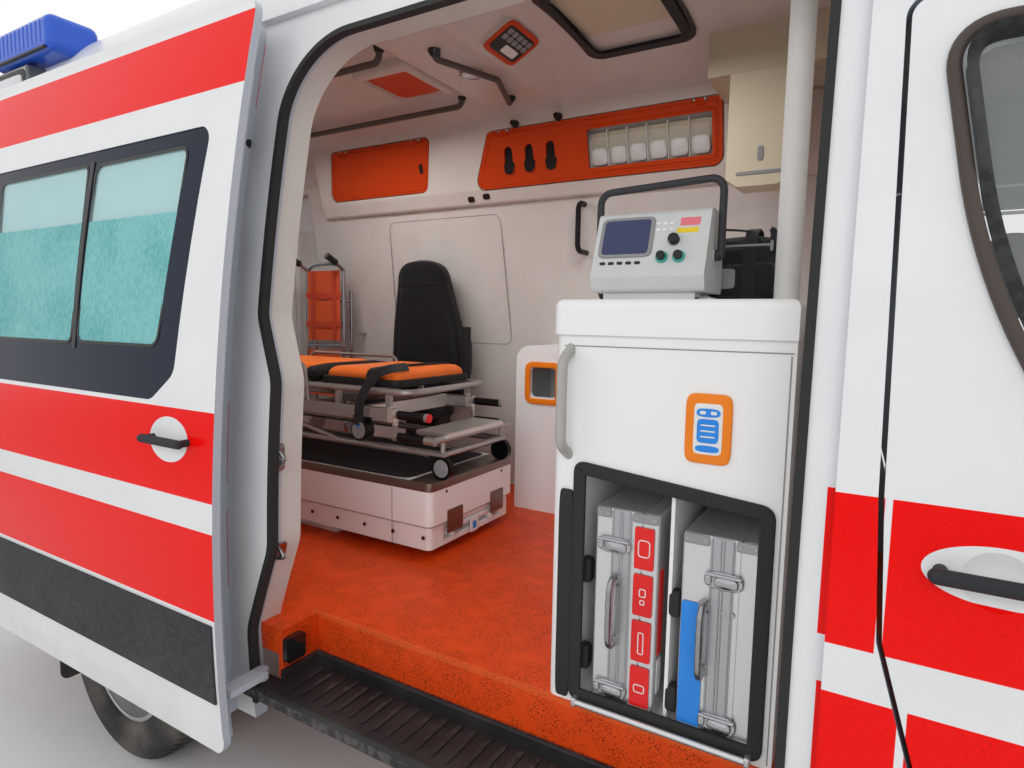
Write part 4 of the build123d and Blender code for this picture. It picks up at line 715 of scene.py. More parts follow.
    beacon = Finish("beacon_blue", "beacon_blue", (0.012, 0.055, 0.42), (0.006, 0.025, 0.20), rough=0.12,
                    scale=90.0, strength=0.5, coat=0.5)
    amber = Finish("amber_lens", "lamp_clear", Tone.AMBER, (0.6, 0.16, 0.0), rough=0.15,
                   scale=300.0, strength=0.3, coat=1.0)
    red_lens = Finish("red_lens", "lamp_clear", (0.55, 0.004, 0.006), (0.35, 0.0, 0.0), rough=0.15,
                      scale=300.0, strength=0.3, coat=1.0)
    clear_lens = Finish("clear_lens", "lamp_clear", (0.62, 0.65, 0.68), (0.34, 0.36, 0.39), rough=0.10,
                        scale=120.0, strength=0.5, coat=1.0)
    lamps = RegionFinish("lamp_units", "lamp_clear", (0.50, 0.52, 0.55), (0.28, 0.30, 0.32), rough=0.12,
                         scale=140.0, strength=0.4, coat=1.0,
                         regions=(Region((-3.2, -1.2, 0.88), (-2.7, 1.2, 1.04), Tone.TAIL_RED),
                                  Region((-3.2, -1.2, 1.12), (-2.7, 1.2, 1.34), Tone.TAIL_RED),
                                  Region((-3.2, -1.2, 1.04), (-2.7, 1.2, 1.12), Tone.AMBER),
                                  Region((-0.92, -0.95, 0.58), (-0.85, -0.84, 0.67), Tone.BLACK),
                                  Region((-2.9, -0.9, 2.42), (-2.4, -0.7, 2.60), Tone.LAMP_HOUSING),
                                  Region((-2.9, 0.7, 2.42), (-2.4, 0.9, 2.60), Tone.LAMP_HOUSING)))
    glass = GlassFinish("window_glass", "glass", Tone.WHITE, tint=(0.86, 0.92, 0.91))
    frosted_glass = GlassFinish(
        "frosted_glass", "glass", Tone.WHITE, tint=(0.62, 0.84, 0.86), gloss=0.12,
        frosted=(Region((-3.0, -1.3, 1.40), (0.5, 1.3, 1.885), (0.11, 0.40, 0.40)),),
        border=Region((-2.5, -1.2, 1.30), (-0.9, -0.9, 2.20), (0.012, 0.018, 0.036)),
        panes=(
            Pane((-1.633, 1.512), (-1.197, 1.512), (-1.612, 2.060), (-1.130, 2.060), 0.038),
            Pane((-2.203, 1.508), (-1.672, 1.508), (-2.272, 2.066), (-1.660, 2.066), 0.030),
        ),
    )
    dark_glass = Finish("tinted_glass", "glass", (0.012, 0.016, 0.020), (0.02, 0.025, 0.03), rough=0.05,
                        spread=0.02, scale=60.0, strength=0.03)
    screen = Finish("screen_blue", "glass", (0.010, 0.020, 0.10), (0.008, 0.014, 0.07), rough=0.10,
                    scale=60.0, strength=0.02, coat=0.6)
    mirror = Finish("mirror_silver", "glass", (0.85, 0.87, 0.88), (0.80, 0.82, 0.83), rough=0.04,
                    spread=0.01, metal=1.0, scale=60.0, strength=0.01)
    paper = Finish("paper_white", "furniture_white", (0.80, 0.80, 0.79), (0.70, 0.70, 0.70), rough=0.6,
                   scale=500.0, strength=0.4)
    clear_plastic = GlassFinish("clear_plastic", "glass", Tone.WHITE, tint=(0.93, 0.92, 0.90))
    label_red = Finish("label_red", "trim_black", (0.80, 0.02, 0.02), (0.65, 0.015, 0.015), rough=0.35,
                       scale=900.0, strength=0.1)
    label_blue = replace(label_red, name="label_blue", colour=(0.03, 0.26, 0.80), second=(0.02, 0.2, 0.65))
    label_yellow = replace(label_red, name="label_yellow", colour=(0.85, 0.62, 0.03),
                           second=(0.75, 0.5, 0.02), rough=0.4)
    label_pink = replace(label_yellow, name="label_pink", colour=(0.80, 0.20, 0.24),
                         second=(0.7, 0.15, 0.2))
    teal_plastic = replace(label_red, name="teal_plastic", colour=Tone.TEAL, second=(0.03, 0.3, 0.25),
                           strength=0.2)
    device_green = Finish("device_green", "trim_black", (0.10, 0.16, 0.08), (0.06, 0.1, 0.05), rough=0.4)
    grey_plastic = Finish("grey_plastic", "trim_black", Tone.GREY, (0.22, 0.22, 0.23), rough=0.42,
                          scale=1200.0, strength=0.3)
    brown_grip = RegionFinish("brown_grip", "trim_black", (0.11, 0.085, 0.075), (0.07, 0.055, 0.05),
                              rough=0.42, scale=1000.0, strength=0.3,
                              regions=(Region((0.30, -0.56, 1.60), (0.40, -0.44, 2.80), Tone.OFF_WHITE),
                                       Region((-0.12, -0.87, 1.24), (-0.01, -0.76, 1.58),
                                              (0.42, 0.41, 0.39)),
                                       Region((-0.78, 0.58, 1.88), (-0.67, 0.80, 2.22), Tone.BLACK)))
    number_plate = Finish("blank_plate", "paint_white", (0.75, 0.75, 0.73), (0.68, 0.68, 0.66), rough=0.35,
                          scale=700.0, strength=0.08)


@dataclass(frozen=True)
class SpeckledFinish(Finish):
    """Poured orange flooring with dark grit in it, and a paler rubbed edge along the step."""

    grit: RGB = (0.05, 0.010, 0.004)
    step_edge: Region = Region((-0.93, -0.802, 0.676), (0.46, -0.780, 0.70), (0.80, 0.20, 0.05))

    def paint(self, graph: Graph, colour: object) -> object:
        """Scatters the grit as small cells of two sizes, in drifts."""
        spots = []
        for scale, limit in ((240.0, 0.24), (130.0, 0.20)):
            cells = graph.add("TexVoronoi")
            graph.put(cells.inputs["Vector"], graph.add("TexCoord").outputs["Object"])
            cells.inputs["Scale"].default_value = scale
            spots.append(graph.math("SUBTRACT", 1.0, graph.ramp(cells.outputs["Distance"], limit,
                                                                limit + 0.10)))
        clouds = graph.ramp(graph.noise(14.0, 6.0), 0.34, 0.56)
        strewn = graph.all_of(graph.any_of(*spots), clouds)
        colour = graph.mix(graph.math("MULTIPLY", strewn, 0.9), colour, self.grit)
        nosing = graph.box(self.step_edge.low, self.step_edge.high, 0.002)
        return graph.mix(graph.math("MULTIPLY", nosing, 0.25), colour, self.step_edge.colour)


@dataclass(frozen=True)
class StretcherFinish(Finish):
    """Stretcher metal with black grips and castors, and white end caps on the box rails."""

    grips: RGB = (0.03, 0.028, 0.028)
    caps: RGB = (0.75, 0.72, 0.68)

    def paint(self, graph: Graph, colour: object) -> object:
        """Colours the castors and grips black and the caps and cross plate white."""
        x, _, z = graph.place()
        low = graph.math("SUBTRACT", 1.0, graph.ramp(z, 1.079, 1.081))
        castors = graph.all_of(low, graph.any_of(graph.within(x, -2.66, -2.50),
                                                 graph.within(x, -0.92, -0.80)))
        colour = graph.mix(castors, colour, Tone.BLACK)
        for low_corner, high_corner in (
            ((-1.03, -0.30, 1.20), (-0.90, -0.24, 1.26)), ((-1.03, 0.24, 1.20), (-0.90, 0.30, 1.26)),
            ((-1.03, -0.30, 1.12), (-0.90, -0.24, 1.17)), ((-1.03, 0.24, 1.12), (-0.90, 0.30, 1.17)),
            ((-1.26, -0.32, 1.10), (-1.16, -0.24, 1.212)),
        ):
            colour = graph.mix(graph.box(low_corner, high_corner), colour, self.grips)
        for low_corner, high_corner in (
            ((-1.08, -0.30, 1.19), (-1.038, 0.30, 1.26)), ((-1.22, -0.25, 1.19), (-1.185, 0.25, 1.26)),
            ((-1.01, -0.21, 1.15), (-0.84, 0.21, 1.17)),
        ):
            colour = graph.mix(graph.box(low_corner, high_corner), colour, self.caps)
        return colour


FLOORING = SpeckledFinish(
    "orange_flooring", "floor_orange", (0.76, 0.070, 0.008), (0.64, 0.052, 0.006), rough=0.38, scale=260.0,
    strength=0.5, gloss=0.2,
)
STRETCHER_METAL = StretcherFinish(
    "stretcher_metal", "steel", (0.46, 0.445, 0.43), (0.36, 0.35, 0.34), rough=0.30, metal=0.75,
    texture="brushed_metal", strength=0.2,
)

FINISHED_NODES: tuple[tuple[Finish, str], ...] = (
    (Finishes.coachwork, "roof front_frame front_wings front_door_left front_door_right sliding_door"),
    (Finishes.side_paint, "side_panels"),
    (Finishes.plain_white, "bonnet rear_door_left rear_door_right"),
    (Finishes.black_plastic, "grille dashboard"),
    (Finishes.bumper_plastic, "bumpers side_trim front_door_trim_left front_door_trim_right"),
    (Finishes.rubber, "door_seal"),
    (Finishes.lamps, "lamps"),
    (Finishes.beacon, "blue_beacons"),
    (Finishes.frosted_glass, "fixed_glass rear_door_glass_left rear_door_glass_right"),
    (Finishes.glass, "front_door_glass_left front_door_glass_right"),
    (Finishes.wheel_silver, "rim_front_left rim_front_right rim_rear_left rim_rear_right"),
    (Finishes.tyre, "tyre_front_left tyre_front_right tyre_rear_left tyre_rear_right"),
    (Finishes.chassis, "rear_axle front_suspension underframe engine wheel_liners"),
    (Finishes.chassis, "knuckle_left knuckle_right"),
    (FLOORING, "floor"),
    (Finishes.step_plastic, "entry_step"),
    (Finishes.lining, "wall_lining bulkhead"),
    (Finishes.furniture, "side_cabinet low_cabinet stretcher_platform"),
    (Finishes.cupboards, "upper_cupboards"),
    (Finishes.orange_panel, "cupboard_flap_rear cupboard_flap_front"),
    (Finishes.aluminium, "equipment_cases"),
    (Finishes.monitor, "monitor"),
    (Finishes.bag_cloth, "equipment_bag"),
    (Finishes.cream, "paper_dispenser"),
    (STRETCHER_METAL, "stretcher_frame"),
    (Finishes.pad_orange, "pads"),
    (Finishes.seat_hide, "seats"),
    (Finishes.chair_metal, "carry_chair"),
    (Finishes.brown_grip, "grab_rails"),
    (Finishes.ceiling, "ceiling_fittings"),
)
NODE_FINISHES = {name: finish for finish, names in FINISHED_NODES for name in names.split()}


def dress_nodes(nodes: dict[str, bpy.types.Object]) -> None:
    """Gives every CAD node its finish."""
    for name, obj in nodes.items():
        material = NODE_FINISHES[name].material()
        obj.data.materials.clear()
        obj.data.materials.append(material)


# ------------------------------------------------------------------ shape maths


@dataclass
class Shape:
    """Points and faces of one closed form, kept as arrays until the piece is made.

    Attributes:
        points: The corner points, one row each.
        faces: The faces, as lists of point numbers.
    """

    points: np.ndarray
    faces: list[list[int]] = field(default_factory=list)

    @staticmethod
    def grid(rows: np.ndarray, close_rows: bool = False, close_columns: bool = True,
             cap: bool = True) -> "Shape":
        """Joins a grid of points into quads.

        Args:
            rows: The points, as rows by columns by three.
            close_rows: Whether the last row joins the first.
            close_columns: Whether each row is a ring.
            cap: Whether the first and last rings are filled.

        Returns:
            The shape.
        """
        count, width = rows.shape[:2]
        number = np.arange(count * width).reshape(count, width)
        down = np.roll(number, -1, 0) if close_rows else number[1:]
        up = number if close_rows else number[:-1]
        if close_columns:
            quads = np.stack([up, np.roll(up, -1, 1), np.roll(down, -1, 1), down], -1)
        else:
            quads = np.stack([up[:, :-1], up[:, 1:], down[:, 1:], down[:, :-1]], -1)
        faces = quads.reshape(-1, 4).tolist()
        if cap and close_columns and not close_rows:
            faces += [number[0][::-1].tolist(), number[-1].tolist()]
        return Shape(rows.reshape(-1, 3), faces)


def unit(vector: Sequence[float]) -> np.ndarray:
    """A vector scaled to length one."""
    array = np.asarray(vector, float)
    return array / np.linalg.norm(array)


def axes(normal: Sequence[float], up: Sequence[float] = (0, 0, 1)) -> np.ndarray:
    """Right, up and normal directions as the columns of an array."""
    out = unit(normal)
    right = np.cross(up, out)
    if np.linalg.norm(right) < 1e-6:
        right = np.cross((1, 0, 0), out)
    right = unit(right)
    return np.stack([right, np.cross(out, right), out], 1)


def superellipse(width: float, height: float, power: float, count: int) -> np.ndarray:
    """An outline between an ellipse and a rectangle.

    Its points are the cosine and sine of an even turn, each raised to two over the power
    with its sign kept, times half the width and half the height.
    """
    turn = np.linspace(0, 2 * np.pi, count, endpoint=False) + np.pi / count
    across, along = np.cos(turn), np.sin(turn)
    shrink = 2 / power
    return np.stack([width / 2 * np.sign(across) * np.abs(across) ** shrink,
                     height / 2 * np.sign(along) * np.abs(along) ** shrink], -1)


def plate(centre: Sequence[float], normal: Sequence[float], width: float, height: float, thick: float,
          up: Sequence[float] = (0, 0, 1), power: float = 8.0, bevel: float = 0.001, dome: float = 0.0,
          count: int = 48) -> Shape:
    """A plate with rounded corners and edges, standing on its back face.

    Its rings are the superellipse shrunk by the bevel's quarter circle; the last rings close
    over the front, raised by the dome times one less the square of their size.

    Args:
        centre: The middle of the back face.
        normal: The way that the front faces.
        width: Size along the right direction.
        height: Size along the up direction.
        thick: Distance from back to front.
        up: A direction that becomes the plate's up.
        power: The outline's power; two is an ellipse and eight is nearly a rectangle.
        bevel: The radius of the front edge.
        dome: How far the middle of the front stands proud.
        count: Points around the outline.

    Returns:
        The shape.
    """
    rings = [(0.0, 0.0)]
    for angle in np.linspace(0, np.pi / 2, 4):
        rings.append((bevel * (1 - math.cos(angle)), thick - bevel * (1 - math.sin(angle))))
    rows = []
    for inset, rise in rings:
        ring = superellipse(width - 2 * inset, height - 2 * inset, power, count)
        rows.append(np.column_stack([ring, np.full(count, rise)]))
    for size in (0.8, 0.55, 0.3, 0.08):
        ring = superellipse((width - 2 * bevel) * size, (height - 2 * bevel) * size, power, count)
        rows.append(np.column_stack([ring, np.full(count, thick + dome * (1 - size * size))]))
    turned = np.stack(rows) @ axes(normal, up).T + np.asarray(centre, float)
    return Shape.grid(turned)


def blob(centre: Sequence[float], size: Sequence[float], power: float = 4.0, count: int = 24) -> Shape:
    """A rounded box.

    It is a superellipsoid: the cosines and sines of its latitude and longitude are raised to
    two over the power, with their signs kept, and scaled to half of each side.
    """
    lat = np.linspace(-np.pi / 2 + 0.02, np.pi / 2 - 0.02, count)[:, None]
    lon = np.linspace(0, 2 * np.pi, 2 * count, endpoint=False)[None, :]
    shrink = 2 / power

    def bend(value: np.ndarray) -> np.ndarray:
        return np.sign(value) * np.abs(value) ** shrink

    points = np.stack([bend(np.cos(lat)) * bend(np.cos(lon)), bend(np.cos(lat)) * bend(np.sin(lon)),
                       bend(np.sin(lat)) + 0 * lon], -1)
    return Shape.grid(points * np.asarray(size, float) / 2 + np.asarray(centre, float))


def smooth_path(points: Sequence[Sequence[float]], steps: int = 8, closed: bool = False) -> np.ndarray:
    """A smooth line through points.

    Each stretch is a Catmull-Rom cubic: its slope at a point is half the difference of the
    points on either side.
    """
    knots = np.asarray(points, float)
    if closed:
        before, after, last = np.roll(knots, 1, 0), np.roll(knots, -1, 0), np.roll(knots, -2, 0)
        stretches = zip(before, knots, after, last)
    else:
        padded = np.vstack([2 * knots[0] - knots[1], knots, 2 * knots[-1] - knots[-2]])
        stretches = zip(padded[:-3], padded[1:-2], padded[2:-1], padded[3:])
    t = np.linspace(0, 1, steps, endpoint=False)[:, None]
    rows = [
        0.5 * (2 * b + (c - a) * t + (2 * a - 5 * b + 4 * c - d) * t**2 + (3 * b - a - 3 * c + d) * t**3)
        for a, b, c, d in stretches
    ]
    line = np.vstack(rows)
    return line if closed else np.vstack([line, knots[-1]])


def sweep(path: np.ndarray, section: np.ndarray, up: Sequence[float] = (0, 0, 1),
          closed: bool = False) -> Shape:
    """Carries a flat section along a line.

    At each point the section stands square to the line's slope. Its second axis is the up
    direction with its share along the slope taken away, so the section never twists.

    Args:
        path: The line's points.
        section: The section's outline, as pairs.
        up: The direction that the section's second axis leans to.
        closed: Whether the line is a loop.

    Returns:
        The shape.
    """
    slope = np.roll(path, -1, 0) - np.roll(path, 1, 0)
    if not closed:
        slope[0], slope[-1] = path[1] - path[0], path[-1] - path[-2]
    slope /= np.linalg.norm(slope, axis=1)[:, None]
    rise = np.asarray(up, float) - slope * (slope @ np.asarray(up, float))[:, None]
    weak = np.linalg.norm(rise, axis=1) < 0.05
    rise[weak] = np.cross(slope[weak], (1.0, 0.13, 0.0))
    rise /= np.linalg.norm(rise, axis=1)[:, None]
    side = np.cross(slope, rise)
    rows = path[:, None] + section[None, :, :1] * side[:, None] + section[None, :, 1:] * rise[:, None]
    return Shape.grid(rows, close_rows=closed)


def tube(points: Sequence[Sequence[float]], radius: float, smooth: int = 6, closed: bool = False,
         sides: int = 18, up: Sequence[float] = (0, 0, 1)) -> Shape:
    """A round tube along a smooth line through points."""
    path = smooth_path(points, smooth, closed) if smooth > 1 else np.asarray(points, float)
    return sweep(path, superellipse(2 * radius, 2 * radius, 2, sides), up, closed)


def strap(points: Sequence[Sequence[float]], width: float, thick: float, smooth: int = 6,
          closed: bool = False, up: Sequence[float] = (0, 0, 1)) -> Shape:
    """A flat band with soft edges along a smooth line; its width lies across the up direction."""
    path = smooth_path(points, smooth, closed) if smooth > 1 else np.asarray(points, float)
    return sweep(path, superellipse(width, thick, 5, 20), up, closed)


def revolve(profile: Sequence[tuple[float, float]], centre: Sequence[float], axis: Sequence[float],
            count: int = 48) -> Shape:
    """A turned form: pairs of radius and height carried round an axis."""
    turn = np.linspace(0, 2 * np.pi, count, endpoint=False)
    frame = axes(axis, (0, 0, 1) if abs(unit(axis)[2]) < 0.9 else (1, 0, 0))
    rows = [np.column_stack([r * np.cos(turn), r * np.sin(turn), np.full(count, h)]) for r, h in profile]
    return Shape.grid(np.stack(rows) @ frame.T + np.asarray(centre, float))


def button(centre: Sequence[float], normal: Sequence[float], radius: float, height: float) -> Shape:
    """A round button, knob or bolt head with a soft edge."""
    soft = min(radius, height) * 0.35
    profile = [(radius, 0.0), (radius, height - soft), (radius - 0.3 * soft, height - 0.3 * soft)]
    profile += [(radius - soft, height), (radius * 0.4, height * 1.02), (radius * 0.02, height * 1.03)]
    return revolve(profile, centre, normal, 28)


def rounded_outline(corners: Sequence[Sequence[float]], radii: Sequence[float] | float,
                    steps: int = 6) -> np.ndarray:
    """A closed outline with rounded corners.

    Each corner becomes a quadratic curve whose ends lie the radius back along its two sides,
    with the corner as the middle control point.
    """
    knots = np.asarray(corners, float)
    if isinstance(radii, (int, float)):
        radii = [radii] * len(knots)
    t = np.linspace(0, 1, steps)[:, None]
    rows = []
    for index, (corner, radius) in enumerate(zip(knots, radii)):
        start = corner + unit(knots[index - 1] - corner) * radius
        end = corner + unit(knots[(index + 1) % len(knots)] - corner) * radius
        rows.append((1 - t) ** 2 * start + 2 * t * (1 - t) * corner + t**2 * end)
    return np.vstack(rows)


def inset_outline(outline: np.ndarray, by: float) -> np.ndarray:
    """An outline moved inwards along its own normals."""
    slope = np.roll(outline, -1, 0) - np.roll(outline, 1, 0)
    slope /= np.linalg.norm(slope, axis=1)[:, None] + 1e-12
    inward = np.stack([-slope[:, 1], slope[:, 0]], -1)
    area = np.sum(outline[:, 0] * np.roll(outline[:, 1], -1) - np.roll(outline[:, 0], -1) * outline[:, 1])
    return outline + inward * by * math.copysign(1, area)


# -------------------------------------------------------------------- workshop


class Skin:
    """The joined surface of some CAD nodes, for finding where a piece lies on it."""

    def __init__(self, nodes: dict[str, bpy.types.Object], *names: str) -> None:
        points: list[Vector] = []
        faces: list[list[int]] = []
        for name in names:
            base = len(points)
            mesh = nodes[name].data
            points += [vertex.co.copy() for vertex in mesh.vertices]
            faces += [[base + index for index in polygon.vertices] for polygon in mesh.polygons]
        self.tree = BVHTree.FromPolygons(points, faces)

    def cast(self, start: Sequence[float], way: Sequence[float]) -> tuple[np.ndarray, np.ndarray]:
        """The first point on the surface along a ray, and the surface's normal there.

        Args:
            start: Where the ray begins.
            way: Its direction.

        Returns:
            The point and the normal. Past the surface's edge, the ray stops level with its nearest point.
        """
        place, normal, _, _ = self.tree.ray_cast(Vector(start), Vector(way).normalized(), 12.0)
        if place is None:
            near, _, _, _ = self.tree.find_nearest(Vector(start))
            ahead = unit(way)
            depth = float(np.dot(np.array(near) - np.asarray(start, float), ahead))
            return np.asarray(start, float) + ahead * depth, -ahead
        normal = np.array(normal)
        if float(np.dot(normal, way)) > 0:
            normal = -normal
        return np.array(place), normal

    def side(self, x: float, z: float, side: Side, lift: float = 0.0) -> tuple[np.ndarray, np.ndarray]:
        """The outer skin at a place along the vehicle and a height, raised off the surface."""
        point, normal = self.cast((x, 2.5 * side.value, z), (0, -side.value, 0))
        return point + normal * lift, normal

    def trace(self, outline: np.ndarray, side: Side, lift: float) -> np.ndarray:
        """Lays an outline of X and Z pairs on the outer skin."""
        return np.array([self.side(x, z, side, lift)[0] for x, z in outline])

    def trace_x(self, outline: np.ndarray, start: float, lift: float) -> np.ndarray:
        """Lays an outline of Y and Z pairs on the surface met from an X."""
        way = (-math.copysign(1, start), 0, 0)
        rows = []
        for y, z in outline:
            point, normal = self.cast((start, y, z), way)
            rows.append(point + normal * lift)
        return np.array(rows)


class Workshop:
    """Turns shapes into finished pieces that ride on the CAD bodies."""

    def __init__(self, frame: dict) -> None:
        self.nodes = frame["nodes"]
        self.count = 0

    def piece(self, name: str, shapes: Sequence[Shape], finish: Finish, body: str = "root",
              sharp: float = 42.0) -> bpy.types.Object:
        """Makes one object from shapes.

        Args:
            name: The piece's name.
            shapes: Its closed forms.
            finish: Its finish.
            body: The CAD body that it rides on.
            sharp: Edges over this many degrees stay sharp.

        Returns:
            The object.
        """
        start = 0
        faces: list[list[int]] = []
        for shape in shapes:
            faces += [[start + index for index in face] for face in shape.faces]
            start += len(shape.points)
        mesh = bpy.data.meshes.new(name)
        mesh.from_pydata(np.vstack([shape.points for shape in shapes]).tolist(), [], faces)
        mesh.validate()
        mesh.shade_smooth()
        mesh.set_sharp_from_angle(angle=math.radians(sharp))
        mesh.materials.append(finish.material())
        obj = bpy.data.objects.new(name, mesh)
        bpy.context.collection.objects.link(obj)
        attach(obj, body)
        self.count += 1
        return obj

    def ribbon(self, outer: np.ndarray, inner: np.ndarray, sink: np.ndarray) -> Shape:
        """A flat ring between two outlines that are already on a surface.

        Args:
            outer: The outer outline's points.
            inner: The inner outline's points.
            sink: The vector from the ring's top to its underside.

        Returns:
            The ring.
        """
        rows = np.stack([outer, inner, inner + sink, outer + sink])
        return Shape.grid(rows, close_rows=True)


# ---------------------------------------------------------------------- wheels

AXLES = (("front", 1.951), ("rear", -1.714))
HALF_TRACK = 0.855
AXLE_HEIGHT = 0.356


@dataclass(frozen=True)
class Tyre:
    """A road tyre: a smooth section turned round the axle, with grooves cut into the tread.

    The tread's depth at a place is the larger of two waves: three rings along the tyre and,
    on both shoulders, slots across it at an even pitch. Each wave is a raised cosine.
    """

    node: str
    body: str
    radius: float = 0.356
    depth: float = 0.007
    slots: int = 72
    section: tuple[tuple[float, float], ...] = ((0.2175, 0.094), (0.226, 0.104), (0.240, 0.1085),
                                                (0.262, 0.1150), (0.276, 0.1168), (0.282, 0.1158),
                                                (0.300, 0.1165), (0.322, 0.1120), (0.338, 0.1040),
                                                (0.349, 0.0930), (0.3545, 0.0800), (0.3560, 0.0640))
    bead: float = 0.2145
    tread_half: float = 0.0625
    grooves: tuple[float, ...] = (-0.038, 0.0, 0.038)
    groove_half: float = 0.0050
    lean: float = 1.4

    def build(self, shop: Workshop) -> None:
        """Makes the tyre in the place of its CAD node."""
        low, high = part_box(self.node)
        centre = (np.array(low) + np.array(high)) / 2
        wall = smooth_path([(r, y) for r, y in self.section], 4)
        across = np.linspace(self.tread_half, -self.tread_half, 45)
        tread = np.column_stack([np.full(len(across), self.radius), across])
        profile = np.vstack([wall, tread, (wall * (1, -1))[::-1]])
        turn = np.linspace(0, 2 * np.pi, self.slots * 8, endpoint=False)
        radius = np.repeat(profile[:, :1], len(turn), 1)
        across = np.repeat(profile[:, 1:], len(turn), 1)
        flank = np.clip((radius - 0.345) / 0.008, 0, 1)
        rings = np.maximum.reduce([np.clip(1 - ((across - at) / self.groove_half) ** 4, 0, 1)
                                   for at in self.grooves])
        lean = turn[None, :] + across * self.lean
        wave = 0.5 + 0.5 * np.cos(lean * self.slots)
        shoulder = np.clip((np.abs(across) - 0.046) / 0.006, 0, 1)
        middle = np.clip((0.034 - np.abs(across)) / 0.004, 0, 1) * (np.cos(lean * self.slots * 0.5) > 0)
        cuts = np.clip((wave - 0.72) * 4, 0, 1) * np.maximum(shoulder, 0.6 * middle)
        radius = radius - self.depth * flank * np.maximum(rings, cuts)
        points = np.stack(
            [centre[0] + radius * np.cos(turn), centre[1] + across, centre[2] + radius * np.sin(turn)], -1
        )
        inner = points[[-1, 0]].copy()
        inner[..., 0] = centre[0] + self.bead * np.cos(turn)
        inner[..., 2] = centre[2] + self.bead * np.sin(turn)
        rows = np.vstack([points, inner])
        piece = shop.piece(self.node + "_tread", [Shape.grid(rows, close_rows=True)], Finishes.tyre,
                           self.body, 50)
        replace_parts(piece, self.node)


@dataclass(frozen=True)
class WheelTrim:
    """The bolts, the hub cap, the rim's lip and the valve of one wheel.

    Attributes:
        body: The body that the wheel is.
        place: The wheel's middle.
        side: The side of the vehicle that it is on.
        disc: How far the disc's outer face stands out from the middle.
        bolts: How many bolts hold it.
        bolt_circle: The radius that the bolts stand on.
        lip_radius: The radius of the rim's rolled lip.
        lip_out: How far the lip stands out from the middle.
    """

    body: str
    place: Triple
    side: Side
    disc: float = 0.0475
    bolts: int = 6
    bolt_circle: float = 0.066
    lip_radius: float = 0.205
    lip_out: float = 0.0945

    def build(self, shop: Workshop) -> None:
        """Makes the trim on the outer face of the wheel's disc."""
        x, y, z = self.place
        out = (0, self.side.value, 0)
        face = y + self.side.value * self.disc
        bolts = []
        for step in range(self.bolts):
            turn = math.tau * step / self.bolts + 0.26
            spot = (x + self.bolt_circle * math.cos(turn), face, z + self.bolt_circle * math.sin(turn))
            bolts.append(plate(spot, out, 0.021, 0.021, 0.014, power=2.6, bevel=0.003, count=24))
            bolts.append(button(spot, out, 0.015, 0.004))
        shop.piece(self.body + "_bolts", bolts, Finishes.chrome, self.body)
        cap = revolve([(0.042, 0.0), (0.042, 0.010), (0.039, 0.016), (0.033, 0.0185), (0.030, 0.0175),
                       (0.016, 0.020), (0.001, 0.0205)], (x, face, z), out, 48)
        turn = np.linspace(0, math.tau, 96, endpoint=False)
        rim = np.column_stack([x + self.lip_radius * np.cos(turn),
                               np.full(len(turn), y + self.side.value * self.lip_out),
                               z + self.lip_radius * np.sin(turn)])
        lip = sweep(rim, superellipse(0.010, 0.008, 3, 16), out, closed=True)
        shop.piece(self.body + "_hub_cap", [cap], Finishes.wheel_silver, self.body)
        shop.piece(self.body + "_rim_lip", [lip], Finishes.wheel_silver, self.body)
        spot = np.array((x + 0.178, y + self.side.value * 0.058, z))
        valve = tube([spot, spot + (0.004, self.side.value * 0.014, 0),
                      spot + (0.012, self.side.value * 0.024, 0)], 0.004)
        shop.piece(self.body + "_valve", [valve], Finishes.black_plastic, self.body)


# -------------------------------------------------------------------- exterior


FRONT_WINDOW = ((0.612, 2.040), (0.668, 1.690), (0.790, 1.440), (1.540, 1.440), (1.540, 1.690),
                (1.215, 2.040))
FRONT_WINDOW_RADII = (0.06, 0.15, 0.09, 0.045, 0.045, 0.06)


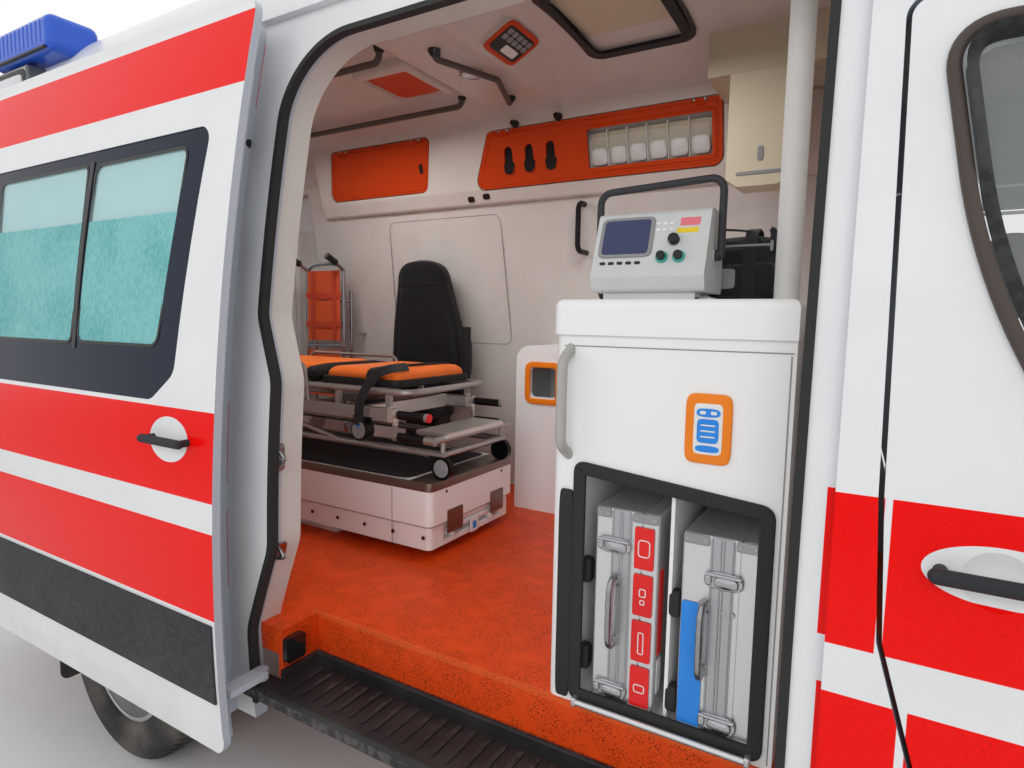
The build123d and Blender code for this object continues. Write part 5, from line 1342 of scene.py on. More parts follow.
@dataclass
class Windows:
    """Printed borders, pane frames, a divider, rubber frames and wipers on the windows."""

    shop: Workshop
    screen: tuple[tuple[float, float], ...] = ((-0.850, 1.405), (0.850, 1.405), (0.750, 2.102),
                                               (-0.750, 2.102))
    screen_border: float = 0.045
    wipers: tuple[tuple[tuple[float, float], ...], ...] = (((-0.02, 1.385), (0.36, 1.470), (0.62, 1.500)),
                                                           ((-0.62, 1.392), (-0.30, 1.475), (-0.06, 1.490)))
    rear_inner: float = 0.158
    rear_outer: float = 0.625
    rear_sill: float = 1.508
    rear_head: float = 2.242

    def build(self) -> None:
        """Makes every window's trim."""
        self.sliding_door()
        self.front_doors()
        self.windscreen()
        self.rear_doors()

    def ring_on(self, skin: Skin, corners: Sequence[Sequence[float]], radii: Sequence[float] | float,
                grow: float, width: float, side: Side, lift: float) -> Shape:
        """A ring that follows an outline on the outer skin."""
        line = rounded_outline(corners, radii, 10)
        outer = skin.trace(inset_outline(line, -grow), side, lift)
        inner = skin.trace(inset_outline(line, width - grow), side, lift)
        return self.shop.ribbon(outer, inner, np.array((0, -side.value * 0.001, 0)))

    def bar_on(self, skin: Skin, start: Sequence[float], end: Sequence[float], width: float, side: Side,
               lift: float, thick: float = 0.003, steps: int = 14) -> Shape:
        """A narrow bar on the outer skin between two places, as X and Z pairs."""
        line = np.linspace(start, end, steps)
        path = skin.trace(line, side, lift)
        return sweep(path, superellipse(width, thick, 6, 16), (0, side.value, 0))

    def sliding_door(self) -> None:
        """The sliding door's window: fine frames round its two panes, and the bar between them."""
        skin = Skin(self.shop.nodes, "fixed_glass")
        side = Side.RIGHT
        frames = []
        for pane in Finishes.frosted_glass.panes:
            corners = (pane.high_right, pane.low_right, pane.low_left, pane.high_left)
            frames.append(self.ring_on(skin, corners, pane.radius, 0.005, 0.009, side, 0.0020))
        divider = self.bar_on(skin, (-1.636, 2.075), (-1.652, 1.490), 0.024, side, 0.0016, 0.003, 20)
        self.shop.piece("slide_window_frames", [*frames, divider], Finishes.black_plastic)

    def front_doors(self) -> None:
        """The thick brown-grey rubber round the front doors' windows, and the pillar's rubber line."""
        for side in Side:
            name = side.name.lower()
            skin = Skin(self.shop.nodes, "front_door_" + name)
            line = rounded_outline(FRONT_WINDOW, FRONT_WINDOW_RADII, 12)
            path = skin.trace(inset_outline(line, -0.013), side, 0.002)
            seal = sweep(path, superellipse(0.020, 0.026, 3, 16), (0, side.value, 0), closed=True)
            self.shop.piece("front_window_rubber_" + name, [seal], Finishes.frame_rubber,
                            "door_front_" + name)
            glass = Skin(self.shop.nodes, "front_door_glass_" + name)
            edge = self.ring_on(glass, FRONT_WINDOW, FRONT_WINDOW_RADII, 0.0, 0.018, side, 0.0008)
            self.shop.piece("front_window_edge_" + name, [edge], Finishes.black_plastic,
                            "door_front_" + name)

    def windscreen(self) -> None:
        """The windscreen's printed border and its two wipers."""
        skin = Skin(self.shop.nodes, "fixed_glass")
        line = rounded_outline(self.screen, 0.07, 12)
        outer = skin.trace_x(line, 4.0, 0.001)
        inner = skin.trace_x(inset_outline(line, self.screen_border), 4.0, 0.001)
        self.shop.piece("windscreen_border", [self.shop.ribbon(outer, inner, np.array((-0.001, 0, 0)))],
                        Finishes.dark_glass)
        wipers, blades = [], []
        for pivot, tip, far_tip in self.wipers:
            arm = [self.on_screen(skin, *spot, lift) for spot, lift in ((pivot, 0.022), (tip, 0.026))]
            wipers.append(strap(arm, 0.022, 0.010, 4, up=(1, 0, 1)))
            wipers.append(button(self.on_screen(skin, *pivot, 0.006), unit((1, 0, 1.1)), 0.020, 0.022))
            start = (2 * tip[0] - far_tip[0], 2 * tip[1] - far_tip[1])
            edge = [self.on_screen(skin, y, z, 0.009) for y, z in np.linspace(start, far_tip, 8)]
            blades.append(strap(edge, 0.010, 0.014, 3, up=(1, 0, 1)))
        self.shop.piece("wiper_arms", wipers, Finishes.black_plastic)
        self.shop.piece("wiper_blades", blades, Finishes.rubber)

    @staticmethod
    def on_screen(skin: Skin, y: float, z: float, lift: float) -> np.ndarray:
        """A place on the windscreen, raised off the glass."""
        point, normal = skin.cast((4.0, y, z), (-1, 0, 0))
        return point + normal * lift

    def rear_doors(self) -> None:
        """Borders on both faces of the rear doors' windows."""
        for side in Side:
            name = side.name.lower()
            body = "door_rear_" + name
            skin = Skin(self.shop.nodes, "rear_door_glass_" + name)
            y_in, y_out = side.value * self.rear_inner, side.value * self.rear_outer
            corners = ((y_in, self.rear_sill), (y_out, self.rear_sill), (y_out, self.rear_head),
                       (y_in, self.rear_head))
            for start, lift, label in ((-4.0, 0.001, "outer"), (-2.0, 0.001, "inner")):
                line = rounded_outline(corners, 0.05, 10)
                way = (1, 0, 0) if start < -3 else (-1, 0, 0)
                rings = []
                for inset in (0.0, 0.030):
                    spots = [skin.cast((start, y, z), way) for y, z in inset_outline(line, inset)]
                    rings.append(np.array([point + normal * lift for point, normal in spots]))
                sink = np.array((way[0] * 0.0008, 0, 0))
                self.shop.piece(f"rear_window_border_{label}_{name}", [self.shop.ribbon(*rings, sink)],
                                Finishes.dark_glass, body)


@dataclass
class Exterior:
    """Lamps' lenses, plates, mirrors, handles and small fittings outside.

    Attributes:
        shop: The workshop.
        bulbs: Each headlamp's bulbs, as Y, Z and radius.
        fog: The fog lamps' X, Y and Z.
        plate_size: A number plate's width and height.
        mirror_panes: The mirrors' panes, as Z and height.
        beacon_ends: Where a rear beacon starts and ends, along X.
    """

    shop: Workshop
    bulbs: tuple[Triple, ...] = ((0.655, 0.885, 0.050), (0.770, 0.935, 0.044))
    fog: Triple = (2.772, 0.700, 0.450)
    plate_size: tuple[float, float] = (0.500, 0.105)
    mirror_panes: tuple[tuple[float, float], ...] = ((1.585, 0.230), (1.410, 0.085))
    beacon_ends: tuple[float, float] = (-2.75, -2.25)

    def build(self) -> None:
        """Makes every outside fitting."""
        self.lamps()
        self.plates()
        self.mirrors()
        self.door_furniture()
        self.beacons()

    def lamps(self) -> None:
        """Bulbs, rings and indicators in the headlamps, the fog lamps, and the lamps over the doors."""
        skin = Skin(self.shop.nodes, "lamps")
        rings, lenses, turn_signals, fogs = [], [], [], []
        for side in Side:
            s = side.value
            for y, z, radius in self.bulbs:
                point, normal = skin.cast((4.0, s * y, z), (-1, 0, 0))
                out = unit(normal + np.array((0.8, 0, 0)))
                rings.append(revolve([(radius + 0.010, -0.004), (radius + 0.010, 0.0015),
                                      (radius + 0.002, 0.003), (radius, 0.001)], point, out, 40))
                lenses.append(revolve([(radius, -0.002), (radius * 0.97, 0.001), (radius * 0.7, 0.0035),
                                       (radius * 0.35, 0.005), (radius * 0.02, 0.0055)], point, out, 40))
            point, normal = skin.cast((4.0, s * 0.880, 0.975), (-1, 0, 0))
            turn_signals.append(plate(point - normal * 0.001, normal, 0.085, 0.050, 0.003, power=4,
                                      bevel=0.001))
            fogs.append(revolve([(0.0470, -0.02), (0.0470, 0.0), (0.043, 0.004), (0.03, 0.007),
                                 (0.001, 0.008)], (self.fog[0], s * self.fog[1], self.fog[2]), (1, 0, 0),
                                36))
        self.shop.piece("headlamp_rings", rings, Finishes.chrome)
        self.shop.piece("headlamp_lenses", lenses, Finishes.clear_lens)
        self.shop.piece("headlamp_indicators", turn_signals, Finishes.amber)
        self.shop.piece("fog_lamps", fogs, Finishes.clear_lens)
        frame, lens = [], []
        for side in Side:
            s = side.value
            out = (0, s, 0)
            centre = np.array((-2.6425, s * 0.842, 2.5125))
            frame.append(plate(centre - np.array((0, s * 0.004, 0)), out, 0.350, 0.120, 0.006, power=8,
                               bevel=0.002))
            lens.append(plate(centre, out, 0.300, 0.080, 0.005, power=7, bevel=0.002, dome=0.002))
        self.shop.piece("scene_lamp_frames", frame, Finishes.black_plastic)
        self.shop.piece("scene_lamp_lenses", lens, Finishes.clear_lens)

    def plates(self) -> None:
        """Blank number plates with their screws, and the step pad on the rear bumper."""
        skin = Skin(self.shop.nodes, "bumpers")
        plates_, screws = [], []
        for start, z in ((4.0, 0.600), (-4.0, 0.515)):
            point, _ = skin.cast((start, 0, z), (-math.copysign(1, start), 0, 0))
            out = (math.copysign(1, start), 0, 0)
            base = point - np.array(out) * 0.002
            plates_.append(plate(base, out, *self.plate_size, 0.003, power=14, bevel=0.001, count=64))
            screws += [button(base + np.array((out[0] * 0.003, y, 0)), out, 0.006, 0.0015)
                       for y in (-0.15, 0.15)]
        self.shop.piece("blank_plates", plates_, Finishes.number_plate)
        self.shop.piece("plate_screws", screws, Finishes.chrome)
        ribs = [strap([(-2.895 - 0.011 * row, -0.62, 0.6005), (-2.895 - 0.011 * row, 0.62, 0.6005)], 0.005,
                      0.0035, 2) for row in range(4)]
        self.shop.piece("bumper_step_ribs", ribs, Finishes.rubber)

    def mirrors(self) -> None:
        """The mirrors' glass, in two panes."""
        for side in Side:
            name = side.name.lower()
            skin = Skin(self.shop.nodes, "front_door_trim_" + name)
            panes = []
            for z, height in self.mirror_panes:
                point, _ = skin.cast((0.9, side.value * 1.118, z), (1, 0, 0))
                panes.append(plate(point + np.array((0.0015, 0, 0)), (-1, 0, 0), 0.135, height, 0.003,
                                   power=6, bevel=0.001, dome=0.001))
            self.shop.piece("mirror_glass_" + name, panes, Finishes.mirror, "door_front_" + name)

    def door_furniture(self) -> None:
        """Lock barrels by the front doors' handles, and the rear doors' handle."""
        for side in Side:
            name = side.name.lower()
            skin = Skin(self.shop.nodes, "front_door_" + name)
            point, normal = skin.side(0.828, 1.225, side)
            self.shop.piece("lock_" + name, [button(point - normal * 0.001, normal, 0.011, 0.004)],
                            Finishes.chrome, "door_front_" + name)
        skin = Skin(self.shop.nodes, "rear_door_left")
        point, normal = skin.cast((-4.0, 0.105, 1.18), (1, 0, 0))
        cup = plate(point - normal * 0.002, normal, 0.110, 0.190, 0.006, power=5, bevel=0.002)
        grip = tube([point + np.array((-0.004, dy, dz)) for dy, dz in ((0, 0.075), (0, 0.07))] +
                    [point + np.array((-0.024, 0, dz)) for dz in (0.045, 0.0, -0.045)] +
                    [point + np.array((-0.004, 0, -0.07)), point + np.array((-0.004, 0, -0.075))], 0.010, 5)
        self.shop.piece("rear_handle", [cup, grip], Finishes.black_plastic, "door_rear_left")

    def beacons(self) -> None:
        """Dark feet under the rear beacons and a row of ribs on their lenses."""
        feet, ribs = [], []
        for side in Side:
            s = side.value
            low, high = self.beacon_ends
            feet.append(tube([(low + 0.03, s * 0.8505, 2.612), (high - 0.03, s * 0.8505, 2.612)], 0.006, 2))
            for x in np.linspace(low + 0.06, high - 0.06, 12):
                ribs.append(tube([(x, s * 0.8490, 2.635), (x, s * 0.8490, 2.715)], 0.0035, 2, sides=10))
        self.shop.piece("beacon_feet", feet, Finishes.black_plastic)
        self.shop.piece("beacon_ribs", ribs, Finishes.beacon)


# -------------------------------------------------------------------- interior


@dataclass(frozen=True)
class CaseLayout:
    """Where the fittings lie on one case's front, in the frame's X and Z."""

    low_x: float
    high_x: float
    top: float
    channel: tuple[float, float]
    latch_x: float
    latch_heights: tuple[float, float]
    grip: tuple[float, float]


CASES = (
    CaseLayout(0.002, 0.152, 1.180, (0.042, 0.089), 0.050, (1.096, 0.752), (0.054, 0.943)),
    CaseLayout(0.203, 0.362, 1.157, (0.262, 0.312), 0.292, (1.066, 0.752), (0.255, 0.9315)),
)


@dataclass
class Cabinet:
    """Fittings of the side cabinet: edging, cases' fittings, the orange plate and the foot roller.

    Attributes:
        shop: The workshop.
        face: The Y of the cabinet's front.
        case_face: The Y of the cases' fronts.
        case_bottom: The cases' undersides.
        label_face: The Y of the labels' backs.
        labels_x: The middle of the column of red labels.
        end_label: Where the labels on the narrow case's end stand, as X and Y.
    """

    shop: Workshop
    face: float = -0.785
    case_face: float = -0.777
    case_bottom: float = 0.706
    label_face: float = -0.7788
    labels_x: float = 0.119
    end_label: tuple[float, float] = (0.1522, -0.748)

    def build(self) -> None:
        """Makes the cabinet's fittings."""
        self.edging()
        self.pictogram()
        self.cases()
        self.straps()

    def ring(self, corners: Sequence[Sequence[float]], radii: float, width: float, y: float,
             thick: float) -> Shape:
        """A raised ring on a face square to Y, from X and Z pairs of its outer outline."""
        outer = rounded_outline(corners, radii, 8)
        middle = inset_outline(outer, width / 2)
        path = np.column_stack([middle[:, 0], np.full(len(middle), y), middle[:, 1]])
        return sweep(path, superellipse(width, thick, 5, 20), (0, -1, 0), closed=True)

    def edging(self) -> None:
        """The black rubber round the recess and a rubber strip at its side, the aluminium foot plate and its
        roller, and two grey seams.
        """
        corners = ((-0.052, 0.700), (-0.052, 1.282), (0.386, 1.240), (0.386, 0.700))
        shapes = [self.ring(corners, 0.030, 0.030, self.face - 0.002, 0.012)]
        shapes.append(plate((-0.069, self.face, 0.955), (0, -1, 0), 0.036, 0.510, 0.007, power=9,
                            bevel=0.002))
        self.shop.piece("recess_edging", shapes, Finishes.rubber)
        plate_ = plate((0.165, self.face + 0.012, 0.7025), (0, -1, 0), 0.400, 0.020, 0.014, power=10,
                       bevel=0.002)
        roller = tube([(-0.025, self.face - 0.018, 0.7035), (0.355, self.face - 0.018, 0.7035)], 0.0075, 2)
        ends = [blob((x, self.face - 0.010, 0.7035), (0.012, 0.030, 0.022), 6) for x in (-0.030, 0.360)]
        self.shop.piece("foot_roller", [plate_, roller, *ends], Finishes.aluminium)
        seams = [strap([(x, self.face - 0.0004, z) for x, z in ends], 0.0025, 0.002, 2, up=(0, -1, 0))
                 for ends in (((-0.085, 1.545), (0.400, 1.545)), ((0.396, 0.70), (0.396, 1.54)))]
        self.shop.piece("cabinet_seams", seams, Finishes.grey_plastic)

    def pictogram(self) -> None:
        """The orange plate with a pale window and a plain picture of a case in blue."""
        x, z = 0.2465, 1.384
        out = (0, -1, 0)
        self.shop.piece("orange_plate", [plate((x, self.face, z), out, 0.094, 0.146, 0.006, power=7,
                                               bevel=0.003, count=64)], Finishes.orange_bright)
        self.shop.piece("orange_plate_window", [plate((x, self.face - 0.0052, z), out, 0.058, 0.106, 0.0015,
                                                      power=9, bevel=0.0006)], Finishes.paper)
        blues = [plate((x, self.face - 0.0062, z + dz), out, w, h, 0.0012, power=power, bevel=0.0004)
                 for dz, w, h, power in ((-0.004, 0.044, 0.050, 6), (0.034, 0.048, 0.018, 3),
                                         (-0.041, 0.048, 0.014, 3))]
        whites = [plate((x + dx, self.face - 0.0070, z + dz), out, w, h, 0.0008, power=5, bevel=0.0003)
                  for dx, dz, w, h in ((0, 0.008, 0.030, 0.003), (0, -0.004, 0.030, 0.003),
                                       (0, -0.016, 0.030, 0.003), (-0.011, 0.034, 0.012, 0.007),
                                       (0.011, 0.034, 0.012, 0.007))]
        self.shop.piece("plate_picture", blues, Finishes.label_blue)
        self.shop.piece("plate_picture_lines", whites, Finishes.paper)

    def cases(self) -> None:
        """Each case's middle channel, corner plates, latches, rivets, grip and blank labels."""
        channels, corners, latches, rivets, grips, inserts = [], [], [], [], [], []
        out, front, bottom = (0, -1, 0), self.case_face, self.case_bottom
        for case in CASES:
            rise, middle = case.top - bottom, (case.top + bottom) / 2
            left, right = case.channel
            channels.append(plate(((left + right) / 2, front, middle), out, right - left, rise - 0.004,
                                  0.0026, power=24, bevel=0.0008))
            channels += [tube([(x, front - 0.0026, bottom + 0.004), (x, front - 0.0026, case.top - 0.004)],
                              0.0016, 2, sides=10) for x in (left + 0.004, (left + right) / 2 - 0.003,
                                                             (left + right) / 2 + 0.003, right - 0.004)]
            for low, high in ((case.low_x + 0.003, left - 0.002), (right + 0.002, case.high_x - 0.003)):
                for z in (bottom + 0.012, case.top - 0.012):
                    corners.append(plate(((low + high) / 2, front - 0.0006, z), out, high - low, 0.022,
                                         0.003, power=9, bevel=0.0012))
                    rivets += [button((x, front - 0.0034, z), out, 0.003, 0.0012)
                               for x in (low + 0.008, high - 0.008)]
            for z in case.latch_heights:
                latches += self.latch(case.latch_x, front - 0.002, z)
            rivets += [button((x, front - 0.0022, case.latch_heights[0] - 0.070), out, 0.0045, 0.0016)
                       for x in (case.latch_x + 0.002, case.latch_x + 0.022)]
            x, z = case.grip
            for end in (-0.070, 0.070):
                corners.append(plate((x, front - 0.001, z + end), out, 0.026, 0.026, 0.004, power=4,
                                     bevel=0.002))
            bend = ((-0.778, 0.075), (-0.800, 0.072), (-0.8115, 0.045))
            outline = [(x, y, z + rise) for y, rise in bend] + [(x, y, z - rise) for y, rise in bend[::-1]]
            grips.append(sweep(smooth_path(outline, 5), superellipse(0.024, 0.013, 4, 20), (1, 0, 0)))
            inserts.append(plate((x, -0.818, z), out, 0.013, 0.078, 0.003, power=6, bevel=0.001))
        self.shop.piece("case_channels", channels, Finishes.pale_aluminium)
        self.shop.piece("case_corners", corners, Finishes.steel)
        self.shop.piece("case_rivets", rivets, Finishes.chrome)
        self.shop.piece("case_latches", latches, Finishes.chrome)
        self.shop.piece("case_grips", grips, Finishes.steel)
        self.shop.piece("case_grip_inserts", inserts, Finishes.rubber)
        reds = [plate((self.labels_x, self.label_face, z), out, 0.045, 0.096, 0.0012, power=16,
                      bevel=0.0003) for z in (1.100, 0.992, 0.884, 0.776)]
        side = [plate((*self.end_label, 0.950), (1, 0, 0), 0.030, 0.200, 0.0010, power=16, bevel=0.0003)]
        self.shop.piece("case_labels_red", reds + side, Finishes.label_red)
        x = self.labels_x
        marks = [self.ring(((x - w, z - h), (x - w, z + h), (x + w, z + h), (x + w, z - h)),
                           min(w, h) * 0.7, 0.0024, self.label_face - 0.0014, 0.0012)
                 for z, w, h in ((1.100, 0.014, 0.020), (0.998, 0.008, 0.010), (0.976, 0.006, 0.006),
                                 (0.880, 0.007, 0.026), (0.772, 0.013, 0.010))]
        marks.append(plate((*self.end_label, 0.800), (1, 0, 0), 0.030, 0.080, 0.0010, power=16,
                           bevel=0.0003))
        self.shop.piece("case_label_marks", marks, Finishes.paper)
        self.shop.piece("case_label_blue", [plate((0.2310, self.label_face, 0.866), out, 0.048, 0.280,
                                                  0.0012, power=24, bevel=0.0003)], Finishes.label_blue)

    @staticmethod
    def latch(x: float, y: float, z: float) -> list[Shape]:
        """A butterfly latch: a dished plate, its turning cover, hinge pin, tongue and four rivets."""
        out = (0, -1, 0)
        pin = [(x + dx, y - 0.008, z + 0.012) for dx in (-0.036, 0.036)]
        cover = (x + 0.006, y - 0.005, z - 0.002)
        shapes = [plate((x, y, z), out, 0.080, 0.038, 0.006, power=3, bevel=0.003),
                  plate(cover, out, 0.050, 0.024, 0.006, power=3, bevel=0.003, dome=0.003),
                  tube(pin, 0.0042, 2), blob((x - 0.030, y - 0.009, z), (0.014, 0.010, 0.020), 4)]
        shapes += [button((x + dx, y - 0.005, z + dz), out, 0.0032, 0.002) for dx in (-0.026, 0.031)
                   for dz in (-0.012, 0.010)]
        return shapes

    def straps(self) -> None:
        """Black pads between the cases and the recess's walls."""
        shapes = [blob((x, -0.756, z), (0.026, 0.034, 0.060), 5)
                  for x, z in ((-0.024, 1.015), (-0.024, 0.800), (0.188, 0.985), (0.188, 0.765))]
        self.shop.piece("recess_stops", shapes, Finishes.rubber)


@dataclass
class MonitorTrim:
    """The screen, knobs, keys and blank labels on the leaning face of the monitor."""

    shop: Workshop

    def build(self) -> None:
        """Makes the monitor's trim on its front face."""
        skin = Skin(self.shop.nodes, "monitor")
        middle, normal = skin.cast((0.052, -2.0, 1.79), (0, 1, 0))
        right = np.array((1.0, 0, 0))
        rise = unit(np.cross(normal, right)) * -1
        if rise[2] < 0:
            rise = -rise

        def on(u: float, v: float, lift: float = 0.0) -> np.ndarray:
            return middle + right * u + rise * v + normal * lift

        flat = {"up": tuple(rise)}
        self.shop.piece("monitor_bezel", [plate(on(-0.058, 0.014), normal, 0.135, 0.104, 0.004, power=9,
                                                bevel=0.002, **flat)], Finishes.grey_plastic)
        self.shop.piece("monitor_screen", [plate(on(-0.058, 0.014, 0.0035), normal, 0.116, 0.088, 0.0016,
                                                 power=14, bevel=0.0006, **flat)], Finishes.screen)
        rings = [button(on(u, -0.040), normal, 0.0145, 0.006) for u in (0.036, 0.076)]
        self.shop.piece("monitor_rings", rings, Finishes.teal_plastic)
        knobs = [button(on(u, -0.040, 0.005), normal, 0.0105, 0.014) for u in (0.036, 0.076)]
        knobs.append(button(on(0.060, 0.002), normal, 0.013, 0.017))
        knobs += [plate(on(u, -0.052), normal, 0.014, 0.007, 0.003, power=4, bevel=0.001, **flat)
                  for u in (-0.110, -0.088, -0.066, -0.044, -0.022)]
        self.shop.piece("monitor_knobs", knobs, Finishes.black_plastic)
        self.shop.piece("monitor_label_yellow", [plate(on(0.088, 0.026), normal, 0.050, 0.012, 0.0008,
                                                       power=14, bevel=0.0002, **flat)],
                        Finishes.label_yellow)
        self.shop.piece("monitor_label_pink", [plate(on(0.092, 0.048), normal, 0.046, 0.020, 0.0008,
                                                     power=14, bevel=0.0002, **flat)], Finishes.label_pink)
        keys = [plate(on(u, v), normal, 0.012, 0.008, 0.0025, power=4, bevel=0.001, **flat)
                for u in (0.018, 0.034, 0.050) for v in (0.030, 0.046)]
        self.shop.piece("monitor_keys", keys, Finishes.paper)
        feet = [blob((x, y, 1.6555), (0.030, 0.018, 0.0095), 5) for x in (-0.05, 0.155)
                for y in (-0.615, -0.50)]
        self.shop.piece("monitor_feet", feet, Finishes.rubber)


@dataclass
class Bins:
    """Six clear tip-out bins in their orange frame, each with its divider and what it holds.

    Attributes:
        shop: The workshop.
        left: The X where the row starts.
        right: The X where it ends.
        low: Its lower edge.
        high: Its upper edge.
        count: How many bins it has.
        foot: The Y and Z of the flap's face at its foot.
        head: The Y and Z of the face at its head.
        body: The body that the bins ride on.
    """

    shop: Workshop
    left: float = -0.664
    right: float = -0.116
    low: float = 2.306
    high: float = 2.464
    count: int = 6
    foot: tuple[float, float] = (0.655, 2.262)
    head: tuple[float, float] = (0.585, 2.520)
    body: str = "flap_front"

    @property
    def lean(self) -> float:
        """How far the face comes forward for each metre of height."""
        return (self.foot[0] - self.head[0]) / (self.head[1] - self.foot[1])

    def face(self, z: float) -> float:
        """The Y of the leaning face at a height."""
        return self.foot[0] - self.lean * (z - self.foot[1])

    def build(self) -> None:
        """Makes the bins, their contents, dividers and back, and the frame round them."""
        tubs, dividers, fills = [], [], []
        pitch = (self.right - self.left) / self.count
        middle, rise = (self.low + self.high) / 2, self.high - self.low
        square = unit((0, -1, -self.lean))
        for index in range(self.count):
            x = self.left + pitch * (index + 0.5)
            tubs.append(plate((x, self.face(middle) + 0.010, middle - 0.012), square, pitch - 0.010,
                              rise - 0.040, 0.003, power=8, bevel=0.001))
            fills.append(plate((x, self.face(middle) + 0.034, middle - 0.030), unit((0, -1, -0.5)),
                               pitch - 0.018, 0.075, 0.012, power=4, bevel=0.004, dome=0.006))
            if index:
                edge = self.left + pitch * index
                ends = [(edge, self.face(self.low) + 0.012, self.low + 0.004),
                        (edge, self.face(self.high) + 0.012, self.high - 0.004)]
                dividers.append(strap(ends, 0.004, 0.020, 2, up=(0, 1, 0)))
        back = plate(((self.left + self.right) / 2, self.face(2.385) + 0.046, 2.385), square,
                     self.right - self.left - 0.004, rise - 0.004, 0.003, power=20, bevel=0.001)
        for name, shapes, finish in (
            ("bin_backs", [back], Finishes.cream), ("bin_fronts", tubs, Finishes.clear_plastic),
            ("bin_dividers", dividers, Finishes.paper), ("bin_contents", fills, Finishes.paper),
            ("bin_frame", [self.ring()], Finishes.orange_panel),
        ):
            self.shop.piece(name, shapes, finish, self.body)

    def ring(self) -> Shape:
        """A raised ring that follows the leaning face of the front flap."""
        left, right = self.left - 0.014, self.right + 0.014
        low, high = self.low - 0.010, self.high + 0.010
        line = rounded_outline(((left, low), (left, high), (right, high), (right, low)), 0.020, 8)
        path = np.column_stack([line[:, 0], [self.face(z) - 0.001 for z in line[:, 1]], line[:, 1]])
        return sweep(path, superellipse(0.018, 0.008, 4, 16), (0, -1, 0), closed=True)


@dataclass
class Room:
    """Fittings on the ceiling, the walls and the cupboards of the treatment room."""

    shop: Workshop

    def build(self) -> None:
        """Makes the room's fittings."""
        self.console()
        self.rails()
        self.cupboards()
        self.walls()
        self.door_frame()

    def console(self) -> None:
        """The orange-framed control panel, the round lamp, the vents, the roof window and the hatch."""
        skin = Skin(self.shop.nodes, "ceiling_fittings")
        way = unit((-0.463, 0, 0.886))
        spot, normal = skin.cast(np.array((-0.713, -0.01, 2.633)) - way * 0.3, way)
        up = (0, 1, 0)
        right = unit(np.cross(up, normal))

        def on(u: float, v: float, lift: float) -> np.ndarray:
            return spot + right * u + np.array(up) * v + normal * lift

        self.shop.piece("panel_frame", [plate(on(0, 0, 0), normal, 0.150, 0.214, 0.004, up=up, power=7,
                                              bevel=0.002, count=64)], Finishes.orange_panel)
        self.shop.piece("panel_face", [plate(on(0, 0, 0.0035), normal, 0.112, 0.176, 0.003, up=up, power=9,
                                             bevel=0.001, count=64)], Finishes.black_plastic)
        keys = [plate(on(u, v, 0.006), normal, 0.022, 0.026, 0.003, up=up, power=5, bevel=0.001)
                for u in (-0.036, -0.010) for v in (-0.066, -0.033, 0.0, 0.033, 0.066)]
        self.shop.piece("panel_keys", keys, Finishes.grey_plastic)
        self.shop.piece("panel_display", [plate(on(0.028, 0.02, 0.006), normal, 0.034, 0.090, 0.0015, up=up,
                                                power=8, bevel=0.0006)], Finishes.paper)
        down = (0, 0, -1)
        lamp, _ = skin.cast((-0.94, 0.07, 1.8), (0, 0, 1))
        ring = revolve([(0.050, 0.0), (0.050, 0.003), (0.044, 0.006), (0.038, 0.004)], lamp, down, 48)
        self.shop.piece("round_lamp_ring", [ring], Finishes.chrome)
        lens = revolve([(0.040, 0.0), (0.036, 0.006), (0.024, 0.009), (0.010, 0.0105), (0.001, 0.011)],
                       lamp, down, 40)
        self.shop.piece("round_lamp_lens", [lens], Finishes.clear_lens)
        vents, slats = [], []
        for x, y in ((-1.265, -0.40), (-0.655, -0.48), (-0.145, -0.43), (-2.095, -0.40)):
            point, facing = skin.cast((x, y, 1.8), (0, 0, 1))
            vents.append(plate(point, facing, 0.088, 0.064, 0.004, up=(0, 1, 0), power=2.2, bevel=0.002))
            slats += [strap([point + facing * 0.005 + np.array((dx, -0.022, 0)),
                             point + facing * 0.005 + np.array((dx, 0.022, 0))], 0.003, 0.003, 2,
                            up=tuple(facing)) for dx in np.linspace(-0.024, 0.024, 5)]
        self.shop.piece("vent_rims", vents, Finishes.black_plastic)
        self.shop.piece("vent_slats", slats, Finishes.grey_plastic)
        lining = Skin(self.shop.nodes, "wall_lining")
        corners = ((-0.475, -0.205), (-0.475, 0.255), (-0.135, 0.255), (-0.135, -0.205))
        line = rounded_outline(corners, 0.05, 8)
        rows = []
        for inset in (-0.028, 0.004):
            spots = [skin.cast((x, y, 1.8), (0, 0, 1)) for x, y in inset_outline(line, inset)]
            rows.append(np.array([point - np.array((0, 0, 0.0015)) for point, _ in spots]))
        self.shop.piece("roof_window_rim", [self.shop.ribbon(rows[0], rows[1], np.array((0, 0, 0.001)))],
                        Finishes.rubber)
        top, _ = lining.cast((-0.305, 0.025, 1.8), (0, 0, 1))
        blind = plate((-0.305, 0.025, top[2]), down, 0.345, 0.465, 0.004, up=(0, 1, 0), power=9,
                      bevel=0.002)
        self.shop.piece("roof_window_blind", [blind], Finishes.cream)
        hatch, _ = skin.cast((-1.34, 0.13, 1.8), (0, 0, 1))
        self.shop.piece("hatch_panel", [plate((-1.3375, 0.13, hatch[2]), down, 0.236, 0.270, 0.005,
                                              up=(0, 1, 0), power=7, bevel=0.002)], Finishes.orange_panel)

    def rails(self) -> None:
        """Rubber feet where the rails meet the ceiling."""
        feet = []
        for x, y, z in ((-1.645, -0.17, 2.645), (-1.21, -0.17, 2.645), (-2.235, 0.39, 2.635),
                        (-1.21, 0.39, 2.635)):
            feet.append(revolve([(0.022, -0.012), (0.022, 0.0), (0.019, 0.012), (0.0135, 0.020)], (x, y, z),
                                (0, 0, -1), 32))
        for y in (-0.165, 0.385):
            feet.append(revolve([(0.024, 0.0), (0.024, 0.006), (0.019, 0.016), (0.0125, 0.024)],
                                (-0.945, y, 2.588), (0, 0, -1), 32))
        self.shop.piece("rail_feet", feet, Finishes.rubber)

